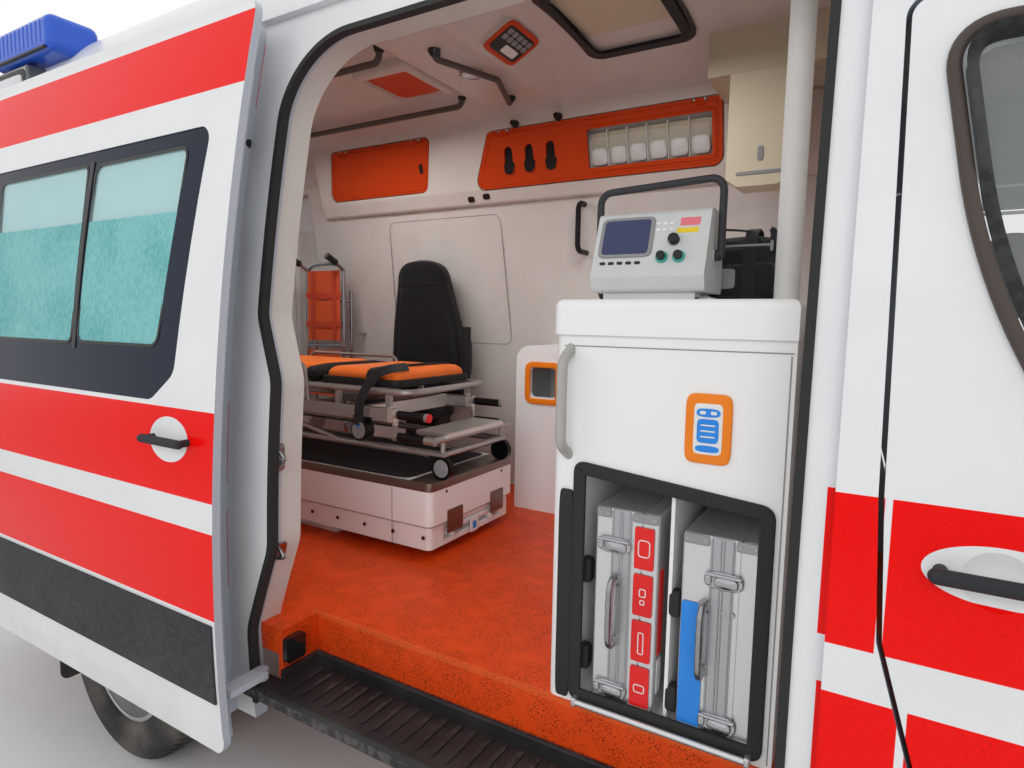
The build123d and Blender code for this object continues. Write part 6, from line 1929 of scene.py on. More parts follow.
    def cupboards(self) -> None:
        """The flaps' edge bands, keyhole and knobs, the slotted part's backing, and the clear bins."""
        skin = Skin(self.shop.nodes, "cupboard_flap_front", "cupboard_flap_rear")
        rear = ((-2.334, 2.291), (-2.266, 2.539), (-1.566, 2.539), (-1.626, 2.291))
        front = ((-1.290, 2.268), (-1.190, 2.514), (-0.080, 2.514), (-0.080, 2.268))
        for label, corners, body in (("rear", rear, "flap_rear"), ("front", front, "flap_front")):
            line = rounded_outline(corners, 0.030, 8)
            path = np.array([skin.cast((x, -0.3, z), (0, 1, 0))[0] for x, z in inset_outline(line, 0.010)])
            band = sweep(path, superellipse(0.008, 0.005, 3, 12), (0, -1, 0), closed=True)
            self.shop.piece("flap_edge_" + label, [band], Finishes.orange_panel, body)
        catches = []
        for x, z in ((-1.030, 2.535), (-0.800, 2.535)):
            catches.append(revolve([(0.018, 0.0), (0.018, 0.012), (0.013, 0.018), (0.013, 0.034),
                                    (0.010, 0.040), (0.001, 0.041)], (x, 0.582, z), (0, -1, 0), 28))
        self.shop.piece("cupboard_knobs", catches, Finishes.black_plastic)
        keyhole, _ = skin.cast((-1.64, -0.3, 2.40), (0, 1, 0))
        self.shop.piece("flap_keyholes", [plate(keyhole, unit((0, -1, -0.27)), 0.022, 0.050, 0.004, power=4,
                                                bevel=0.001)], Finishes.black_plastic, "flap_rear")
        slots = [plate((x, 0.628, 2.385), (0, -1, 0), 0.060, 0.135, 0.003, power=3, bevel=0.001)
                 for x in (-1.090, -0.975, -0.860)]
        self.shop.piece("slot_backing", slots, Finishes.black_plastic)
        Bins(self.shop).build()

    def walls(self) -> None:
        """The hand hole's ring, the wall door's outline, sockets, the device and the dispenser's slot."""
        hole = ((-0.906, 1.206), (-0.906, 1.408), (-0.716, 1.408), (-0.716, 1.206))
        outer = rounded_outline(hole, 0.045, 8)
        middle = inset_outline(outer, 0.014)
        path = np.column_stack([middle[:, 0], np.full(len(outer), 0.4995), middle[:, 1]])
        self.shop.piece("hand_hole_ring", [sweep(path, superellipse(0.028, 0.012, 4, 18), (0, -1, 0),
                                                 closed=True)], Finishes.orange_bright)
        lining = Skin(self.shop.nodes, "wall_lining", "upper_cupboards")
        door = ((-1.980, 1.470), (-1.960, 2.150), (-1.205, 2.150), (-1.175, 1.470))
        line = rounded_outline(door, 0.05, 8)
        path = np.array([lining.cast((x, 0.0, z), (0, 1, 0))[0] for x, z in line])
        self.shop.piece("wall_door_seam", [sweep(path, superellipse(0.004, 0.003, 3, 10), (0, -1, 0),
                                                 closed=True)], Finishes.grey_plastic)
        sockets = []
        for x, z in ((-1.345, 2.225), (-1.250, 2.232)):
            point, normal = lining.cast((x, 0.0, z), (0, 1, 0))
            sockets.append(plate(point, normal, 0.040, 0.030, 0.006, power=4, bevel=0.002))
        self.shop.piece("wall_sockets", sockets, Finishes.black_plastic)
        point, normal = lining.cast((-2.15, -0.05, 2.36), (0, -1, 0))
        device = [blob(point + np.array((0, 0.045, 0)), (0.22, 0.088, 0.15), 6),
                  tube([point + np.array((-0.09, 0.10, -0.03)), point + np.array((0.09, 0.10, -0.03))],
                       0.010, 2)]
        self.shop.piece("wall_device", device, Finishes.device_green)
        self.shop.piece("dispenser_slot", [plate((0.135, 0.2995, 2.20), (0, -1, 0), 0.020, 0.050, 0.003,
                                                 power=4, bevel=0.001),
                                           plate((0.140, 0.2995, 2.135), (0, -1, 0), 0.170, 0.012, 0.003,
                                                 power=6, bevel=0.001)], Finishes.grey_plastic)

    def door_frame(self) -> None:
        """The strikers, their screws and the plugs in the side doorway's pillar."""
        skin = Skin(self.shop.nodes, "side_panels")
        plates_, holes = [], []
        for z, width, height in ((1.205, 0.050, 0.080), (0.930, 0.060, 0.055)):
            point, normal = skin.cast((-0.4, -0.935, z), (-1, 0, 0))
            plates_.append(plate(point, normal, width, height, 0.005, power=5, bevel=0.002))
            plates_.append(tube([point + normal * 0.004 + np.array((0, 0, height * 0.3)),
                                 point + normal * 0.030,
                                 point + normal * 0.004 - np.array((0, 0, height * 0.3))], 0.006, 8))
            holes += [button(point + normal * 0.004 + np.array((0, dy, dz)), normal, 0.006, 0.003)
                      for dy in (-0.016, 0.016) for dz in (-height * 0.36, height * 0.36)]
        self.shop.piece("pillar_strikers", plates_, Finishes.steel)
        self.shop.piece("pillar_screws", holes, Finishes.chrome)
        plugs = []
        for z in (1.75, 2.10, 2.22):
            point, normal = skin.cast((-0.4, -0.86, z), (-1, 0, 0))
            plugs.append(button(point, normal, 0.012, 0.003))
        self.shop.piece("pillar_plugs", plugs, Finishes.black_plastic)


@dataclass
class StretcherTrim:
    """Straps, buckles and caps on the stretcher, and the platform's rim, mat, seam and screws.

    Attributes:
        shop: The workshop.
        back: The X of the platform's rear end.
        front: The X of its front end.
        half: Half its width.
        top: Its height.
        mark: The Y and Z of the label on its front end.
    """

    shop: Workshop
    back: float = -2.780
    front: float = -0.850
    half: float = 0.300
    top: float = 0.990
    mark: tuple[float, float] = (-0.008, 0.762)

    def build(self) -> None:
        """Makes the stretcher's and the platform's fittings."""
        back, front, half, top = self.back, self.front, self.half, self.top
        loop = rounded_outline(((back, -half), (front, -half), (front, half), (back, half)), 0.030, 8)
        line = np.column_stack([inset_outline(loop, 0.003), np.full(len(loop), top - 0.014)])
        lip = plate((front - 0.058, 0, top), (0, 0, 1), 0.100, 2 * half - 0.016, 0.003, up=(0, 1, 0),
                    power=16, bevel=0.001)
        rim = sweep(line, superellipse(0.010, 0.034, 6, 20), (0, 0, 1), closed=True)
        covers = [plate((front - 0.0005, y, 0.822), (1, 0, 0), 0.104, 0.094, 0.003, power=16, bevel=0.001)
                  for y in (-0.144, 0.163)]
        self.shop.piece("platform_rim", [rim, lip, *covers], Finishes.platform_steel)
        mat = plate(((back + front) / 2 - 0.055, 0, top), (0, 0, 1), front - back - 0.150, 2 * half - 0.050,
                    0.003, up=(0, 1, 0), power=24, bevel=0.001)
        self.shop.piece("platform_mat", [mat], Finishes.rubber)
        screws = [button((x, -half + 0.0003, 0.783), (0, -1, 0), 0.0075, 0.003)
                  for x in np.arange(-2.66, -0.88, 0.148)]
        screws += [button((front - 0.0003, y, 0.945), (1, 0, 0), 0.006, 0.002) for y in (-0.20, 0.20)]
        self.shop.piece("platform_screws", screws, Finishes.black_plastic)
        seam = strap([(-1.036, -half - 0.0002, 0.735), (-1.036, -half - 0.0002, 0.955)], 0.003, 0.002, 2,
                     up=(0, -1, 0))
        self.shop.piece("platform_seam", [seam], Finishes.grey_plastic)
        self.shop.piece("platform_label", [plate((front - 0.0005, *self.mark), (1, 0, 0), 0.060, 0.056,
                                                 0.002, power=10, bevel=0.0006)], Finishes.paper)
        self.shop.piece("platform_mark", [plate((front + 0.0014, *self.mark), (1, 0, 0), 0.026, 0.030,
                                                0.001, power=9, bevel=0.0003)], Finishes.label_blue)
        hubs = [revolve([(0.034, -0.002), (0.034, 0.001), (0.031, 0.003), (0.017, 0.002), (0.015, 0.005),
                         (0.006, 0.006), (0.001, 0.006)], (x, side * 0.2245, 1.0353), (0, side, 0), 40)
                for x in (-0.86, -2.58) for side in (-1, 1)]
        self.shop.piece("castor_hubs", hubs, Finishes.grey_plastic)
        self.straps_and_buckles()

    def straps_and_buckles(self) -> None:
        """The belt over the long pad with its buckle, the strap to the reel, the reel and the grip's cap."""
        x = -2.25
        rise = ((0.262, 1.255), (0.272, 1.330), (0.240, 1.402), (0.12, 1.412))
        over = [(x, -y, z) for y, z in rise] + [(x, y, z) for y, z in rise[::-1]]
        belts = [strap(over, 0.048, 0.004, 8, up=(0.001, 0, 1))]
        buckles = [plate((x, -0.02, 1.4125), (0, 0, 1), 0.058, 0.072, 0.011, up=(0, 1, 0), power=5,
                         bevel=0.003)]
        reel = [(-1.205, -0.300, 1.180), (-1.200, -0.302, 1.26), (-1.165, -0.302, 1.33),
                (-1.120, -0.285, 1.385), (-1.095, -0.240, 1.404), (-1.085, -0.15, 1.408)]
        belts.append(strap(reel, 0.036, 0.004, 8, up=(0.6, -1, 0.4)))
        self.shop.piece("stretcher_belts", belts, Finishes.webbing)
        self.shop.piece("belt_buckles", buckles, Finishes.black_plastic)
        ring = revolve([(0.030, 0.0), (0.034, 0.002), (0.034, 0.005), (0.028, 0.006), (0.024, 0.004),
                        (0.001, 0.005)], (-1.210, -0.2955, 1.1590), (0, -1, 0), 40)
        self.shop.piece("reel_face", [ring], Finishes.grey_plastic)
        badge = plate((-1.210, -0.2998, 1.176), (0, -1, 0), 0.022, 0.010, 0.0015, power=2.2, bevel=0.0004)
        self.shop.piece("reel_badge", [badge], Finishes.label_blue)
        cap = revolve([(0.017, 0.0), (0.017, 0.002), (0.011, 0.0028), (0.001, 0.003)],
                      (-0.8850, -0.265, 1.231), (1, 0, 0), 32)
        self.shop.piece("grip_cap", [cap], Finishes.label_red)


# ------------------------------------------------------------------- soft goods


@dataclass(frozen=True)
class Cushion:
    """A filled cushion: an outline with a thickness, blown up as cloth and then seamed.

    Attributes:
        name: The piece's name.
        corners: The outline's corners, as pairs across and up.
        radii: Their radii.
        centre: The middle of the back face.
        normal: The way the front faces.
        up: The direction of the pairs' second number.
        thick: The thickness.
        finish: The finish.
        fill: How tight the filling is; not used.
        cap: How far a point may swell.
        seams: Places across and up where a seam pulls in, each a start and an end pair.
        floor: The least Z that a point may reach, where the cushion rests on something.
    """

    name: str
    corners: tuple[tuple[float, float], ...]
    radii: float | tuple[float, ...]
    centre: Triple
    normal: Triple
    up: Triple
    thick: float
    finish: Finish
    fill: float = 0.6
    cap: float = 0.009
    seams: tuple[tuple[tuple[float, float], tuple[float, float]], ...] = ()
    floor: float | None = None
    voxel: float = 0.006

    def form(self) -> Shape:
        """The unfilled form: rings of the outline, drawn in towards both faces' middles."""
        outline = rounded_outline(self.corners, self.radii, 9)
        middle = outline.mean(0)
        soft = min(0.45 * self.thick, 0.030)
        rings = [(size, 0.0) for size in (0.15, 0.5, 0.8)]
        rings += [(None, 0.0, soft * (1 - math.sin(a)), soft * (1 - math.cos(a)))
                  for a in np.linspace(0, np.pi / 2, 5)]
        rows = []
        for ring in rings:
            if ring[0] is not None:
                rows.append(np.column_stack([middle + (inset_outline(outline, soft) - middle) * ring[0],
                                             np.zeros(len(outline))]))
            else:
                rows.append(np.column_stack([inset_outline(outline, ring[2]),
                                             np.full(len(outline), ring[3])]))
        mirror = [np.column_stack([row[:, :2], self.thick - row[:, 2]]) for row in rows[::-1]]
        frame = axes(self.normal, self.up)
        return Shape.grid(np.stack(rows + mirror) @ frame.T + np.asarray(self.centre, float))

    def pinch(self, points: np.ndarray) -> np.ndarray:
        """Draws the surface in along each seam.

        The depth falls off as a bell curve of the distance to the seam's line, and the cloth
        puckers along it as a small sine.
        """
        frame = axes(self.normal, self.up)
        flat = (points - np.asarray(self.centre, float)) @ frame
        front = np.clip(flat[:, 2] / self.thick * 2 - 1, 0, 1)
        move = np.zeros(len(points))
        for start, end in self.seams:
            a, b = np.asarray(start, float), np.asarray(end, float)
            along = np.clip(((flat[:, :2] - a) @ (b - a)) / np.dot(b - a, b - a), 0, 1)
            gap = np.linalg.norm(flat[:, :2] - (a + along[:, None] * (b - a)), axis=1)
            pucker = 0.85 + 0.15 * np.sin(along * np.linalg.norm(b - a) / 0.014 * np.pi)
            move = np.maximum(move, 0.0075 * np.exp(-((gap / 0.007) ** 2)) * pucker)
        return points - (move * front)[:, None] * frame[:, 2]


CLOTH = {
    "quality": 4, "mass": 0.3, "tension_stiffness": 18, "compression_stiffness": 18,
    "bending_stiffness": 0.6, "use_pressure": True, "uniform_pressure_force": 4.0,
}
CLOTH_FRAMES = 20


@dataclass
class SoftGoods:
    """Makes every cushion, runs their cloth together, and finishes them."""

    shop: Workshop
    made: list[tuple[Cushion, bpy.types.Object]] = field(default_factory=list)

    def add(self, cushion: Cushion) -> bpy.types.Object:
        """Makes a cushion's unfilled form."""
        piece = self.shop.piece(cushion.name, [cushion.form()], cushion.finish)
        self.made.append((cushion, piece))
        return piece

    def inflate(self) -> None:
        """Remeshes every form and fills it with cloth pressure, all in one run of twenty frames."""
        starts = [self.ready(cushion, piece) for cushion, piece in self.made]
        scene = bpy.context.scene
        for frame in range(1, CLOTH_FRAMES + 1):
            scene.frame_set(frame)
        for (cushion, piece), start in zip(self.made, starts):
            self.settle(cushion, piece, start)
        scene.frame_set(1)
        for cushion, piece in self.made:
            count = len(piece.data.vertices)
            points = np.empty(count * 3)
            piece.data.vertices.foreach_get("co", points)
            points = cushion.pinch(points.reshape(-1, 3))
            piece.data.vertices.foreach_set("co", points.ravel())
            piece.data.update()
            piece.data.shade_smooth()

    @staticmethod
    def ready(cushion: Cushion, piece: bpy.types.Object) -> np.ndarray:
        """Remeshes one form and gives it cloth, and returns where its points start."""
        remesh = piece.modifiers.new("remesh", "REMESH")
        remesh.mode = "VOXEL"
        remesh.voxel_size = cushion.voxel
        SoftGoods.apply(piece)
        count = len(piece.data.vertices)
        start = np.empty(count * 3)
        piece.data.vertices.foreach_get("co", start)
        cloth = piece.modifiers.new("cloth", "CLOTH")
        for name, value in CLOTH.items():
            setattr(cloth.settings, name, value)
        cloth.settings.effector_weights.gravity = 0
        cloth.collision_settings.use_collision = False
        return start.reshape(-1, 3)

    @staticmethod
    def settle(cushion: Cushion, piece: bpy.types.Object, start: np.ndarray) -> None:
        """Takes the blown-up shape, keeps each point within the cushion's cap, and drops the cloth."""
        graph = bpy.context.evaluated_depsgraph_get()
        result = piece.evaluated_get(graph).to_mesh()
        points = np.empty(len(start) * 3)
        result.vertices.foreach_get("co", points)
        piece.evaluated_get(graph).to_mesh_clear()
        move = points.reshape(-1, 3) - start
        length = np.linalg.norm(move, axis=1)[:, None] + 1e-12
        points = start + move * np.minimum(1, cushion.cap / length)
        if cushion.floor is not None:
            points[:, 2] = np.maximum(points[:, 2], cushion.floor)
        piece.modifiers.remove(piece.modifiers["cloth"])
        piece.data.vertices.foreach_set("co", points.ravel())
        piece.data.update()

    @staticmethod
    def apply(piece: bpy.types.Object) -> None:
        """Replaces a piece's mesh by what its modifiers make of it."""
        graph = bpy.context.evaluated_depsgraph_get()
        mesh = bpy.data.meshes.new_from_object(piece.evaluated_get(graph))
        piece.modifiers.clear()
        material = piece.data.materials[0]
        piece.data = mesh
        if not mesh.materials:
            mesh.materials.append(material)


@dataclass
class Upholstery:
    """The stretcher's pads, the seats, the soft bag, the packet and the carry chair's cloth.

    Attributes:
        shop: The workshop.
        goods: What fills the cushions.
        pad_half: Half the width of the stretcher's pads.
        pad_low: The pads' underside.
        pad_high: Their upper face before they are filled.
        chair_left: The X where the chair's cloth starts.
        chair_width: How wide the cloth is.
        chair_face: The Y of the cloth's front.
        cloth_thick: How thick the cloth is.
    """

    shop: Workshop
    goods: SoftGoods
    pad_half: float = 0.240
    pad_low: float = 1.331
    pad_high: float = 1.389
    chair_left: float = -2.532
    chair_width: float = 0.274
    chair_face: float = 0.6262
    cloth_thick: float = 0.0022

    def build(self) -> None:
        """Makes every soft thing, then fills them together."""
        self.stretcher_pads()
        self.attendant_seat()
        for side in Side:
            self.cab_seat(side)
        self.bag()
        self.packet()
        self.goods.inflate()
        self.piping()
        self.carry_chair()

    def slab(self, name: str, low: Sequence[float], high: Sequence[float], finish: Finish, radius: float,
             **more: object) -> bpy.types.Object:
        """A cushion that lies flat between two corners of a box."""
        low, high = np.asarray(low, float), np.asarray(high, float)
        half = (high - low) / 2
        corners = ((-half[0], -half[1]), (half[0], -half[1]), (half[0], half[1]), (-half[0], half[1]))
        centre = (*((low + high) / 2)[:2], low[2])
        return self.goods.add(Cushion(name, corners, radius, centre, (0, 0, 1), (0, 1, 0), high[2] - low[2],
                                      finish, floor=float(low[2]), **more))

    def stretcher_pads(self) -> None:
        """A long and a short orange pad with a sewn channel or two, and the black one between."""
        for label, x_from, x_to, finish, at in (
            ("long", -2.675, -1.612, Finishes.pad_orange, (-0.18, 0.18)),
            ("joint", -1.594, -1.487, Finishes.pad_black, ()),
            ("short", -1.468, -1.062, Finishes.pad_orange, (0.085,)),
        ):
            seams = tuple(((x, -0.19), (x, 0.19)) for x in at)
            piece = self.slab("pad_" + label, (x_from, -self.pad_half, self.pad_low),
                              (x_to, self.pad_half, self.pad_high), finish, 0.035, fill=0.8, cap=0.010,
                              seams=seams)
            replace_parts(piece, "pads")

    def attendant_seat(self) -> None:
        """The folding seat on the far wall: a tapered back, a cushion, its stand and its arm."""
        x, z = -1.595, 1.55
        outline = ((-1.857, 1.176), (-1.323, 1.176), (-1.380, 1.560), (-1.500, 1.922), (-1.790, 1.922),
                   (-1.836, 1.560))
        corners = tuple((a - x, b - z) for a, b in outline)
        seams = (((0.175, -0.34), (0.115, 0.30)), ((-0.195, -0.34), (-0.165, 0.30)),
                 ((-0.165, 0.22), (0.125, 0.22)), ((-0.19, -0.22), (0.165, -0.22)))
        back = Cushion("attendant_back", corners, (0.06, 0.06, 0.08, 0.10, 0.10, 0.08), (x, 0.697, z),
                       (0, -1, 0), (0, 0, 1), 0.100, Finishes.seat_hide, cap=0.010, seams=seams)
        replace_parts(self.goods.add(back), "seats")
        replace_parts(self.slab("attendant_cushion", (-1.834, 0.318, 1.096), (-1.346, 0.585, 1.190),
                              Finishes.seat_hide, 0.06, cap=0.010,
                              seams=(((-0.17, -0.03), (0.17, -0.03)),)), "seats")
        stand = [plate((-1.59, 0.490, 0.69), (0, 0, 1), 0.280, 0.220, 0.024, up=(0, 1, 0), power=8,
                       bevel=0.004), tube([(-1.59, 0.490, 0.70), (-1.59, 0.490, 1.095)], 0.034, 2),
                 plate((-1.59, 0.490, 1.072), (0, 0, 1), 0.240, 0.200, 0.022, up=(0, 1, 0), power=8,
                       bevel=0.003), blob((-1.59, 0.628, 1.052), (0.236, 0.130, 0.080), 8)]
        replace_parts(self.shop.piece("attendant_stand", stand, Finishes.chassis), "seats")
        arm = [tube([(-1.29, 0.560, 1.235), (-1.29, 0.560, 1.40), (-1.29, 0.560, 1.562)], 0.023, 6),
               tube([(-1.36, 0.600, 1.250), (-1.29, 0.575, 1.245)], 0.012, 2),
               blob((-1.29, 0.560, 1.400), (0.056, 0.052, 0.230), 3)]
        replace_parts(self.shop.piece("attendant_arm", arm, Finishes.black_plastic), "seats")

    def cab_seat(self, side: Side) -> None:
        """One cab seat: cushion, side bolsters, back, headrest on its posts, and plinth."""
        s, name = side.value * 0.48, side.name.lower()
        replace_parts(self.slab("cab_cushion_" + name, (0.792, s - 0.232, 0.962), (1.348, s + 0.232, 1.108),
                              Finishes.seat_hide, 0.07, cap=0.010,
                              seams=(((-0.22, -0.14), (0.24, -0.14)), ((-0.22, 0.14), (0.24, 0.14)),
                                     ((0.02, -0.14), (0.02, 0.14)))), "seats")
        back = ((-0.222, 0.0), (0.222, 0.0), (0.222, 0.40), (0.170, 0.585), (-0.170, 0.585), (-0.222, 0.40))
        seams = (((-0.13, 0.08), (-0.13, 0.50)), ((0.13, 0.08), (0.13, 0.50)),
                 ((-0.13, 0.25), (0.13, 0.25)), ((-0.13, 0.42), (0.13, 0.42)))
        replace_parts(self.goods.add(Cushion("cab_back_" + name, back, (0.06, 0.06, 0.08, 0.10, 0.10, 0.08),
                                           (0.706, s, 1.008), (1, 0, 0), (0, 0, 1), 0.150,
                                           Finishes.seat_hide, cap=0.010, seams=seams)), "seats")
        rest = ((-0.122, 0.0), (0.122, 0.0), (0.110, 0.165), (-0.110, 0.165))
        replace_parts(self.goods.add(Cushion("cab_headrest_" + name, rest, 0.05, (0.705, s, 1.618), (1, 0, 0),
                                           (0, 0, 1), 0.082, Finishes.seat_hide, cap=0.006)), "seats")
        posts = [tube([(0.745, s + dy, 1.585), (0.745, s + dy, 1.640)], 0.006, 2) for dy in (-0.06, 0.06)]
        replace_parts(self.shop.piece("cab_headrest_posts_" + name, posts, Finishes.chrome), "seats")
        plinth = [blob((1.025, s, 0.808), (0.44, 0.35, 0.305), 12)]
        plinth += [plate((1.02, s + dy, 0.958), (0, 0, 1), 0.480, 0.030, 0.016, up=(0, 1, 0), power=10)
                   for dy in (-0.15, 0.15)]
        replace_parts(self.shop.piece("cab_plinth_" + name, plinth, Finishes.black_plastic), "seats")

    def bag(self) -> None:
        """The soft black bag: a sagging shell, a front pocket, straps, a zip and a grey patch."""
        shell = ((-0.250, 0.004), (0.250, 0.004), (0.249, 0.146), (0.214, 0.175), (-0.200, 0.170),
                 (-0.250, 0.110))
        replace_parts(self.goods.add(Cushion("bag_shell", shell, (0.03, 0.03, 0.05, 0.06, 0.06, 0.05),
                                           (0.085, -0.332, 1.650), (0, -1, 0), (0, 0, 1), 0.108,
                                           Finishes.bag_cloth, fill=0.45, cap=0.012,
                                           seams=(((-0.22, 0.142), (0.21, 0.146)),), floor=1.6505)),
                    "equipment_bag")
        pocket = ((-0.110, 0.010), (0.235, 0.010), (0.228, 0.108), (-0.100, 0.104))
        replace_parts(self.goods.add(Cushion("bag_pocket", pocket, 0.03, (0.085, -0.433, 1.650), (0, -1, 0),
                                           (0, 0, 1), 0.022, Finishes.bag_cloth, fill=0.5, cap=0.006,
                                           floor=1.6515, voxel=0.005)), "equipment_bag")
        straps = []
        for x in (-0.040, 0.250):
            straps.append(strap([(x, -0.340, 1.655), (x, -0.335, 1.78), (x, -0.352, 1.832),
                                 (x, -0.420, 1.832), (x, -0.452, 1.78), (x, -0.463, 1.72),
                                 (x, -0.463, 1.66)], 0.030, 0.003, 6, up=(0, -1, 0.02)))
        straps.append(strap([(-0.040, -0.424, 1.829), (0.02, -0.412, 1.838), (0.105, -0.405, 1.842),
                             (0.19, -0.412, 1.838), (0.250, -0.424, 1.829)], 0.028, 0.004, 6, up=(0, 0, 1)))
        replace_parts(self.shop.piece("bag_straps", straps, Finishes.webbing), "equipment_bag")
        zips = [strap([(x, -0.4500, 1.793) for x in np.linspace(-0.10, 0.30, 6)], 0.006, 0.004, 2,
                      up=(0, -1, 0)), plate((0.300, -0.452, 1.790), (0, -1, 0), 0.008, 0.026, 0.003,
                                            power=4)]
        self.shop.piece("bag_zip", zips, Finishes.grey_plastic)
        patch = plate((0.155, -0.4595, 1.712), (0, -1, 0), 0.130, 0.050, 0.003, power=9, bevel=0.001)
        self.shop.piece("bag_patch", [patch], Finishes.grey_plastic)

    def packet(self) -> None:
        """A flat white packet of dressings on the worktop, in front of the bag."""
        self.goods.add(Cushion("dressing_packet", ((-0.100, -0.050), (0.100, -0.050), (0.100, 0.050),
                                                   (-0.100, 0.050)), 0.008, (0.090, -0.530, 1.6505),
                               (0, 0, 1), (0, 1, 0), 0.012, Finishes.paper, fill=0.4, cap=0.006,
                               floor=1.6502, voxel=0.004))

    def piping(self) -> None:
        """Black bands round the lower half of the stretcher pads' sides, and one over the short pad."""
        bands = []
        for x_from, x_to in ((-2.675, -1.612), (-1.468, -1.062)):
            half = self.pad_half
            corners = ((x_from, -half), (x_to, -half), (x_to, half), (x_from, half))
            line = rounded_outline(corners, 0.035, 10)
            path = np.column_stack([inset_outline(line, -0.0055), np.full(len(line), 1.345)])
            bands.append(sweep(path, superellipse(0.012, 0.030, 4, 16), (0, 0, 1), closed=True))
        rise = ((0.252, 1.335), (0.252, 1.372), (0.225, 1.3985), (0.10, 1.4035))
        over = [(-1.180, -y, z) for y, z in rise] + [(-1.180, y, z) for y, z in rise[::-1]]
        bands.append(strap(over, 0.060, 0.004, 8, up=(0.001, 0, 1)))
        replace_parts(self.shop.piece("pad_bands", bands, Finishes.pad_black), "pads")

    def carry_chair(self) -> None:
        """The chair's two cloth panels, its belts, its curved top tube and its black grips."""
        for label, low, high in (("seat", 1.120, 1.400), ("back", 1.460, 1.880)):
            across, rise = np.meshgrid(np.linspace(0, 1, 28), np.linspace(0, 1, 30))
            x = self.chair_left + self.chair_width * across
            z = low + (high - low) * rise
            sag = 0.006 * np.sin(np.pi * across) * (0.75 + 0.25 * np.sin(np.pi * rise))
            ripple = 0.0009 * np.sin(16 * np.pi * rise) * np.cos(np.pi * across) ** 6
            front = np.stack([x, self.chair_face + sag + ripple, z], -1)
            back = front + (0, self.cloth_thick, 0)
            rows = np.concatenate([front, back[:, ::-1]], 1)
            cloth = self.shop.piece("chair_cloth_" + label, [Shape.grid(rows, cap=True)],
                                    Finishes.chair_cloth)
            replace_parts(cloth, "pads")
        belts = [strap([(-2.545, 0.6235, z), (-2.395, 0.6255, z - 0.008), (-2.245, 0.6235, z)], 0.036,
                       0.0025, 6, up=(0, -1, 0)) for z in (1.735, 1.560)]
        belts += [strap([(x, 0.6240, 1.88), (x, 0.6235, 1.70), (x, 0.6240, 1.47)], 0.030, 0.0022, 4,
                        up=(0, -1, 0)) for x in (-2.485, -2.305)]
        self.shop.piece("chair_belts", belts, Finishes.chair_belt)
        top = [(-2.550, 0.640, 1.800), (-2.545, 0.640, 1.872), (-2.500, 0.640, 1.912),
               (-2.395, 0.640, 1.922), (-2.290, 0.640, 1.912), (-2.245, 0.640, 1.872),
               (-2.240, 0.640, 1.800)]
        self.shop.piece("chair_top_tube", [tube(top, 0.0105, 8)], Finishes.chrome)
        grips = []
        for x in (-2.550, -2.240):
            start, end = np.array((x, 0.580, 1.9205)), np.array((x, 0.510, 1.955))
            way = unit(end - start)
            grips.append(revolve([(0.0185, 0.0), (0.0195, 0.004), (0.0185, 0.012), (0.0185, 0.062),
                                  (0.0200, 0.070), (0.018, 0.0765), (0.001, 0.0775)], start, way, 28))
        self.shop.piece("chair_grips", grips, Finishes.rubber)


# ---------------------------------------------------------------------- studio


@dataclass(frozen=True)
class Lamp:
    """A rectangular soft lamp that points at a target and isn't seen itself."""

    name: str
    place: Triple
    target: Triple
    width: float
    height: float
    power: float

    def build(self) -> None:
        """Hangs the lamp in the scene."""
        data = bpy.data.lights.new(self.name, "AREA")
        data.shape = "RECTANGLE"
        data.size, data.size_y = self.width, self.height
        data.energy = self.power
        lamp = bpy.data.objects.new(self.name, data)
        turn = (Vector(self.target) - Vector(self.place)).to_track_quat("-Z", "Y")
        lamp.matrix_world = Matrix.Translation(self.place) @ turn.to_matrix().to_4x4()
        lamp.visible_camera = False
        lamp.visible_glossy = False
        bpy.context.collection.objects.link(lamp)


LAMPS = (
    Lamp("key", (1.2, -6.0, 3.6), (-0.6, 0.0, 1.5), 5.0, 3.0, 110.0),
    Lamp("fill", (-5.5, -5.0, 3.2), (-1.0, 0.0, 1.2), 3.5, 3.0, 50.0),
    Lamp("far_side", (0.0, 7.0, 4.5), (0.0, 0.0, 1.2), 6.0, 3.0, 90.0),
    Lamp("front_side", (7.5, -1.0, 3.6), (1.5, 0.0, 1.2), 4.0, 3.0, 50.0),
    Lamp("top", (0.0, 0.0, 7.0), (0.0, 0.0, 1.0), 6.0, 5.0, 80.0),
    Lamp("room_rear", (-1.70, -0.05, 2.50), (-1.70, 0.05, 0.7), 0.9, 0.5, 10.0),
    Lamp("room_front", (-0.30, -0.15, 2.50), (-0.30, 0.05, 0.7), 0.5, 0.3, 5.0),
)


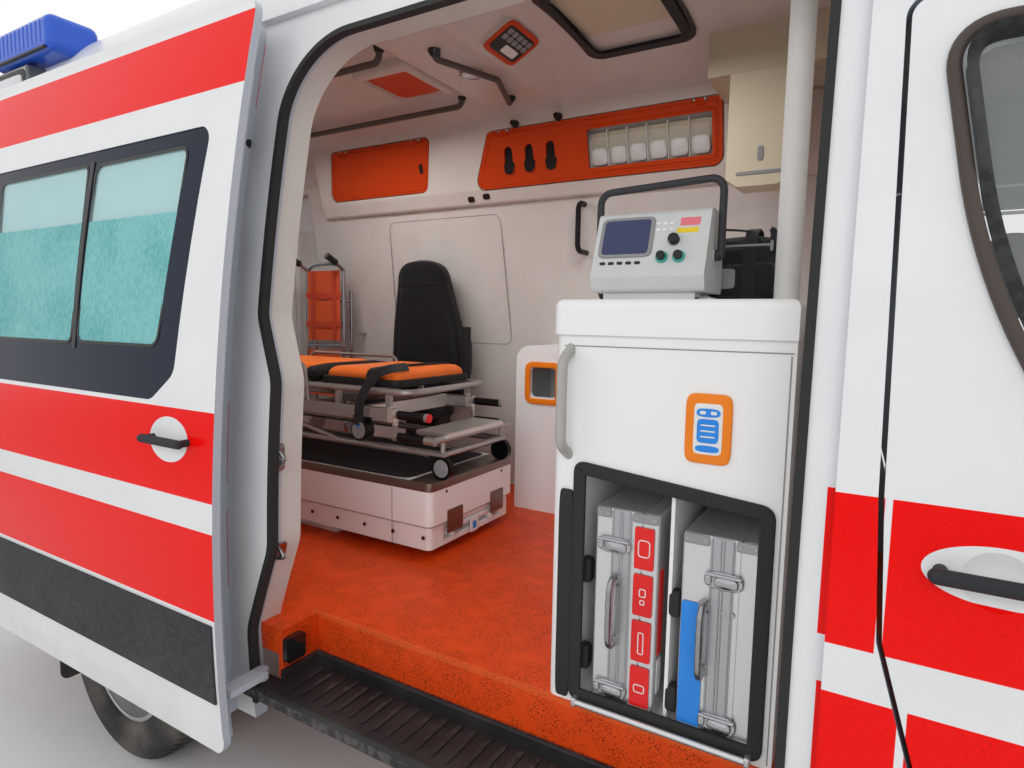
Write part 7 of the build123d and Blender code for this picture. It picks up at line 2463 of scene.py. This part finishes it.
@dataclass
class Studio:
    """The pale floor, the soft lamps and the white surroundings."""

    floor_colour: RGB = (0.80, 0.80, 0.79)
    size: float = 60.0
    lit: float = 0.56
    seen: float = 0.44

    def build(self) -> None:
        """Makes the floor, the lamps and the world."""
        self.floor()
        self.world()
        for lamp in LAMPS:
            lamp.build()

    def floor(self) -> None:
        """A wide disc at ground level, with a fine uneven gloss."""
        turn = np.linspace(0, 2 * np.pi, 96, endpoint=False)
        rows = [np.column_stack([r * np.cos(turn), r * np.sin(turn), np.zeros(96)])
                for r in (0.01, 3.0, self.size / 2)]
        shape = Shape.grid(np.stack(rows)[::-1], cap=False)
        mesh = bpy.data.meshes.new("studio_floor")
        mesh.from_pydata(shape.points.tolist(), [], shape.faces)
        finish = Finish("studio_floor", "paint_white", self.floor_colour, (0.76, 0.76, 0.75), rough=0.6,
                        scale=30.0, strength=0.03)
        mesh.materials.append(finish.material())
        obj = bpy.data.objects.new("studio_floor", mesh)
        bpy.context.collection.objects.link(obj)

    def world(self) -> None:
        """White for the rays that see the surroundings, and a softer level for the light they give."""
        world = bpy.data.worlds.new("studio")
        bpy.context.scene.world = world
        world.use_nodes = True
        graph = Graph(world.node_tree)
        path = graph.add("LightPath")
        seen = graph.math("MAXIMUM", path.outputs["Is Camera Ray"], path.outputs["Is Glossy Ray"])
        seen = graph.math("MAXIMUM", seen, path.outputs["Is Transmission Ray"])
        background = world.node_tree.nodes["Background"]
        background.inputs["Color"].default_value = (1.0, 1.0, 1.0, 1.0)
        graph.put(background.inputs["Strength"], graph.math("MULTIPLY_ADD", seen, self.seen, self.lit))


@dataclass(frozen=True)
class PhotoCamera:
    """The camera that took the photograph, fitted from its straight lines."""

    place: Triple = (0.536, -2.081, 1.600)
    rightward: Triple = (0.86144, 0.50759, 0.01673)
    upward: Triple = (-0.06610, 0.07939, 0.99465)
    forward: Triple = (-0.50354, 0.85794, -0.10195)
    focal_pixels: float = 621.0
    frame_width: float = 1024.0
    sensor_width: float = 36.0

    def build(self) -> bpy.types.Object:
        """Makes the camera and gives it to the scene.

        Returns:
            The camera object.
        """
        data = bpy.data.cameras.new("photo_camera")
        data.sensor_width = self.sensor_width
        data.lens = self.focal_pixels / self.frame_width * self.sensor_width
        data.clip_start = 0.02
        data.clip_end = 200.0
        camera = bpy.data.objects.new("photo_camera", data)
        backward = [-value for value in self.forward]
        turn = Matrix((self.rightward, self.upward, backward)).transposed().to_4x4()
        camera.matrix_world = Matrix.Translation(Vector(self.place)) @ turn
        bpy.context.collection.objects.link(camera)
        bpy.context.scene.camera = camera
        return camera


def build_wheels(shop: Workshop) -> None:
    """Makes the four tyres and the trim on the four wheels."""
    for end, x in AXLES:
        for side in Side:
            name = f"{end}_{side.name.lower()}"
            Tyre("tyre_" + name, "wheel_" + name).build(shop)
            WheelTrim("wheel_" + name, (x, side.value * HALF_TRACK, AXLE_HEIGHT), side).build(shop)


def main() -> None:
    """Builds the whole dressed model."""
    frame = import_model()
    PhotoCamera().build()
    shop = Workshop(frame)
    dress_nodes(frame["nodes"])
    build_wheels(shop)
    for part in (Windows(shop), Exterior(shop), Cabinet(shop), MonitorTrim(shop), Room(shop),
                 StretcherTrim(shop), Upholstery(shop, SoftGoods(shop))):
        before = shop.count
        part.build()
        LOG.info("%s: %d pieces", type(part).__name__, shop.count - before)
    Studio().build()
    bpy.context.scene.view_settings.view_transform = "Standard"


if __name__ == "__main__":
    logging.basicConfig(level=logging.INFO)
    main()
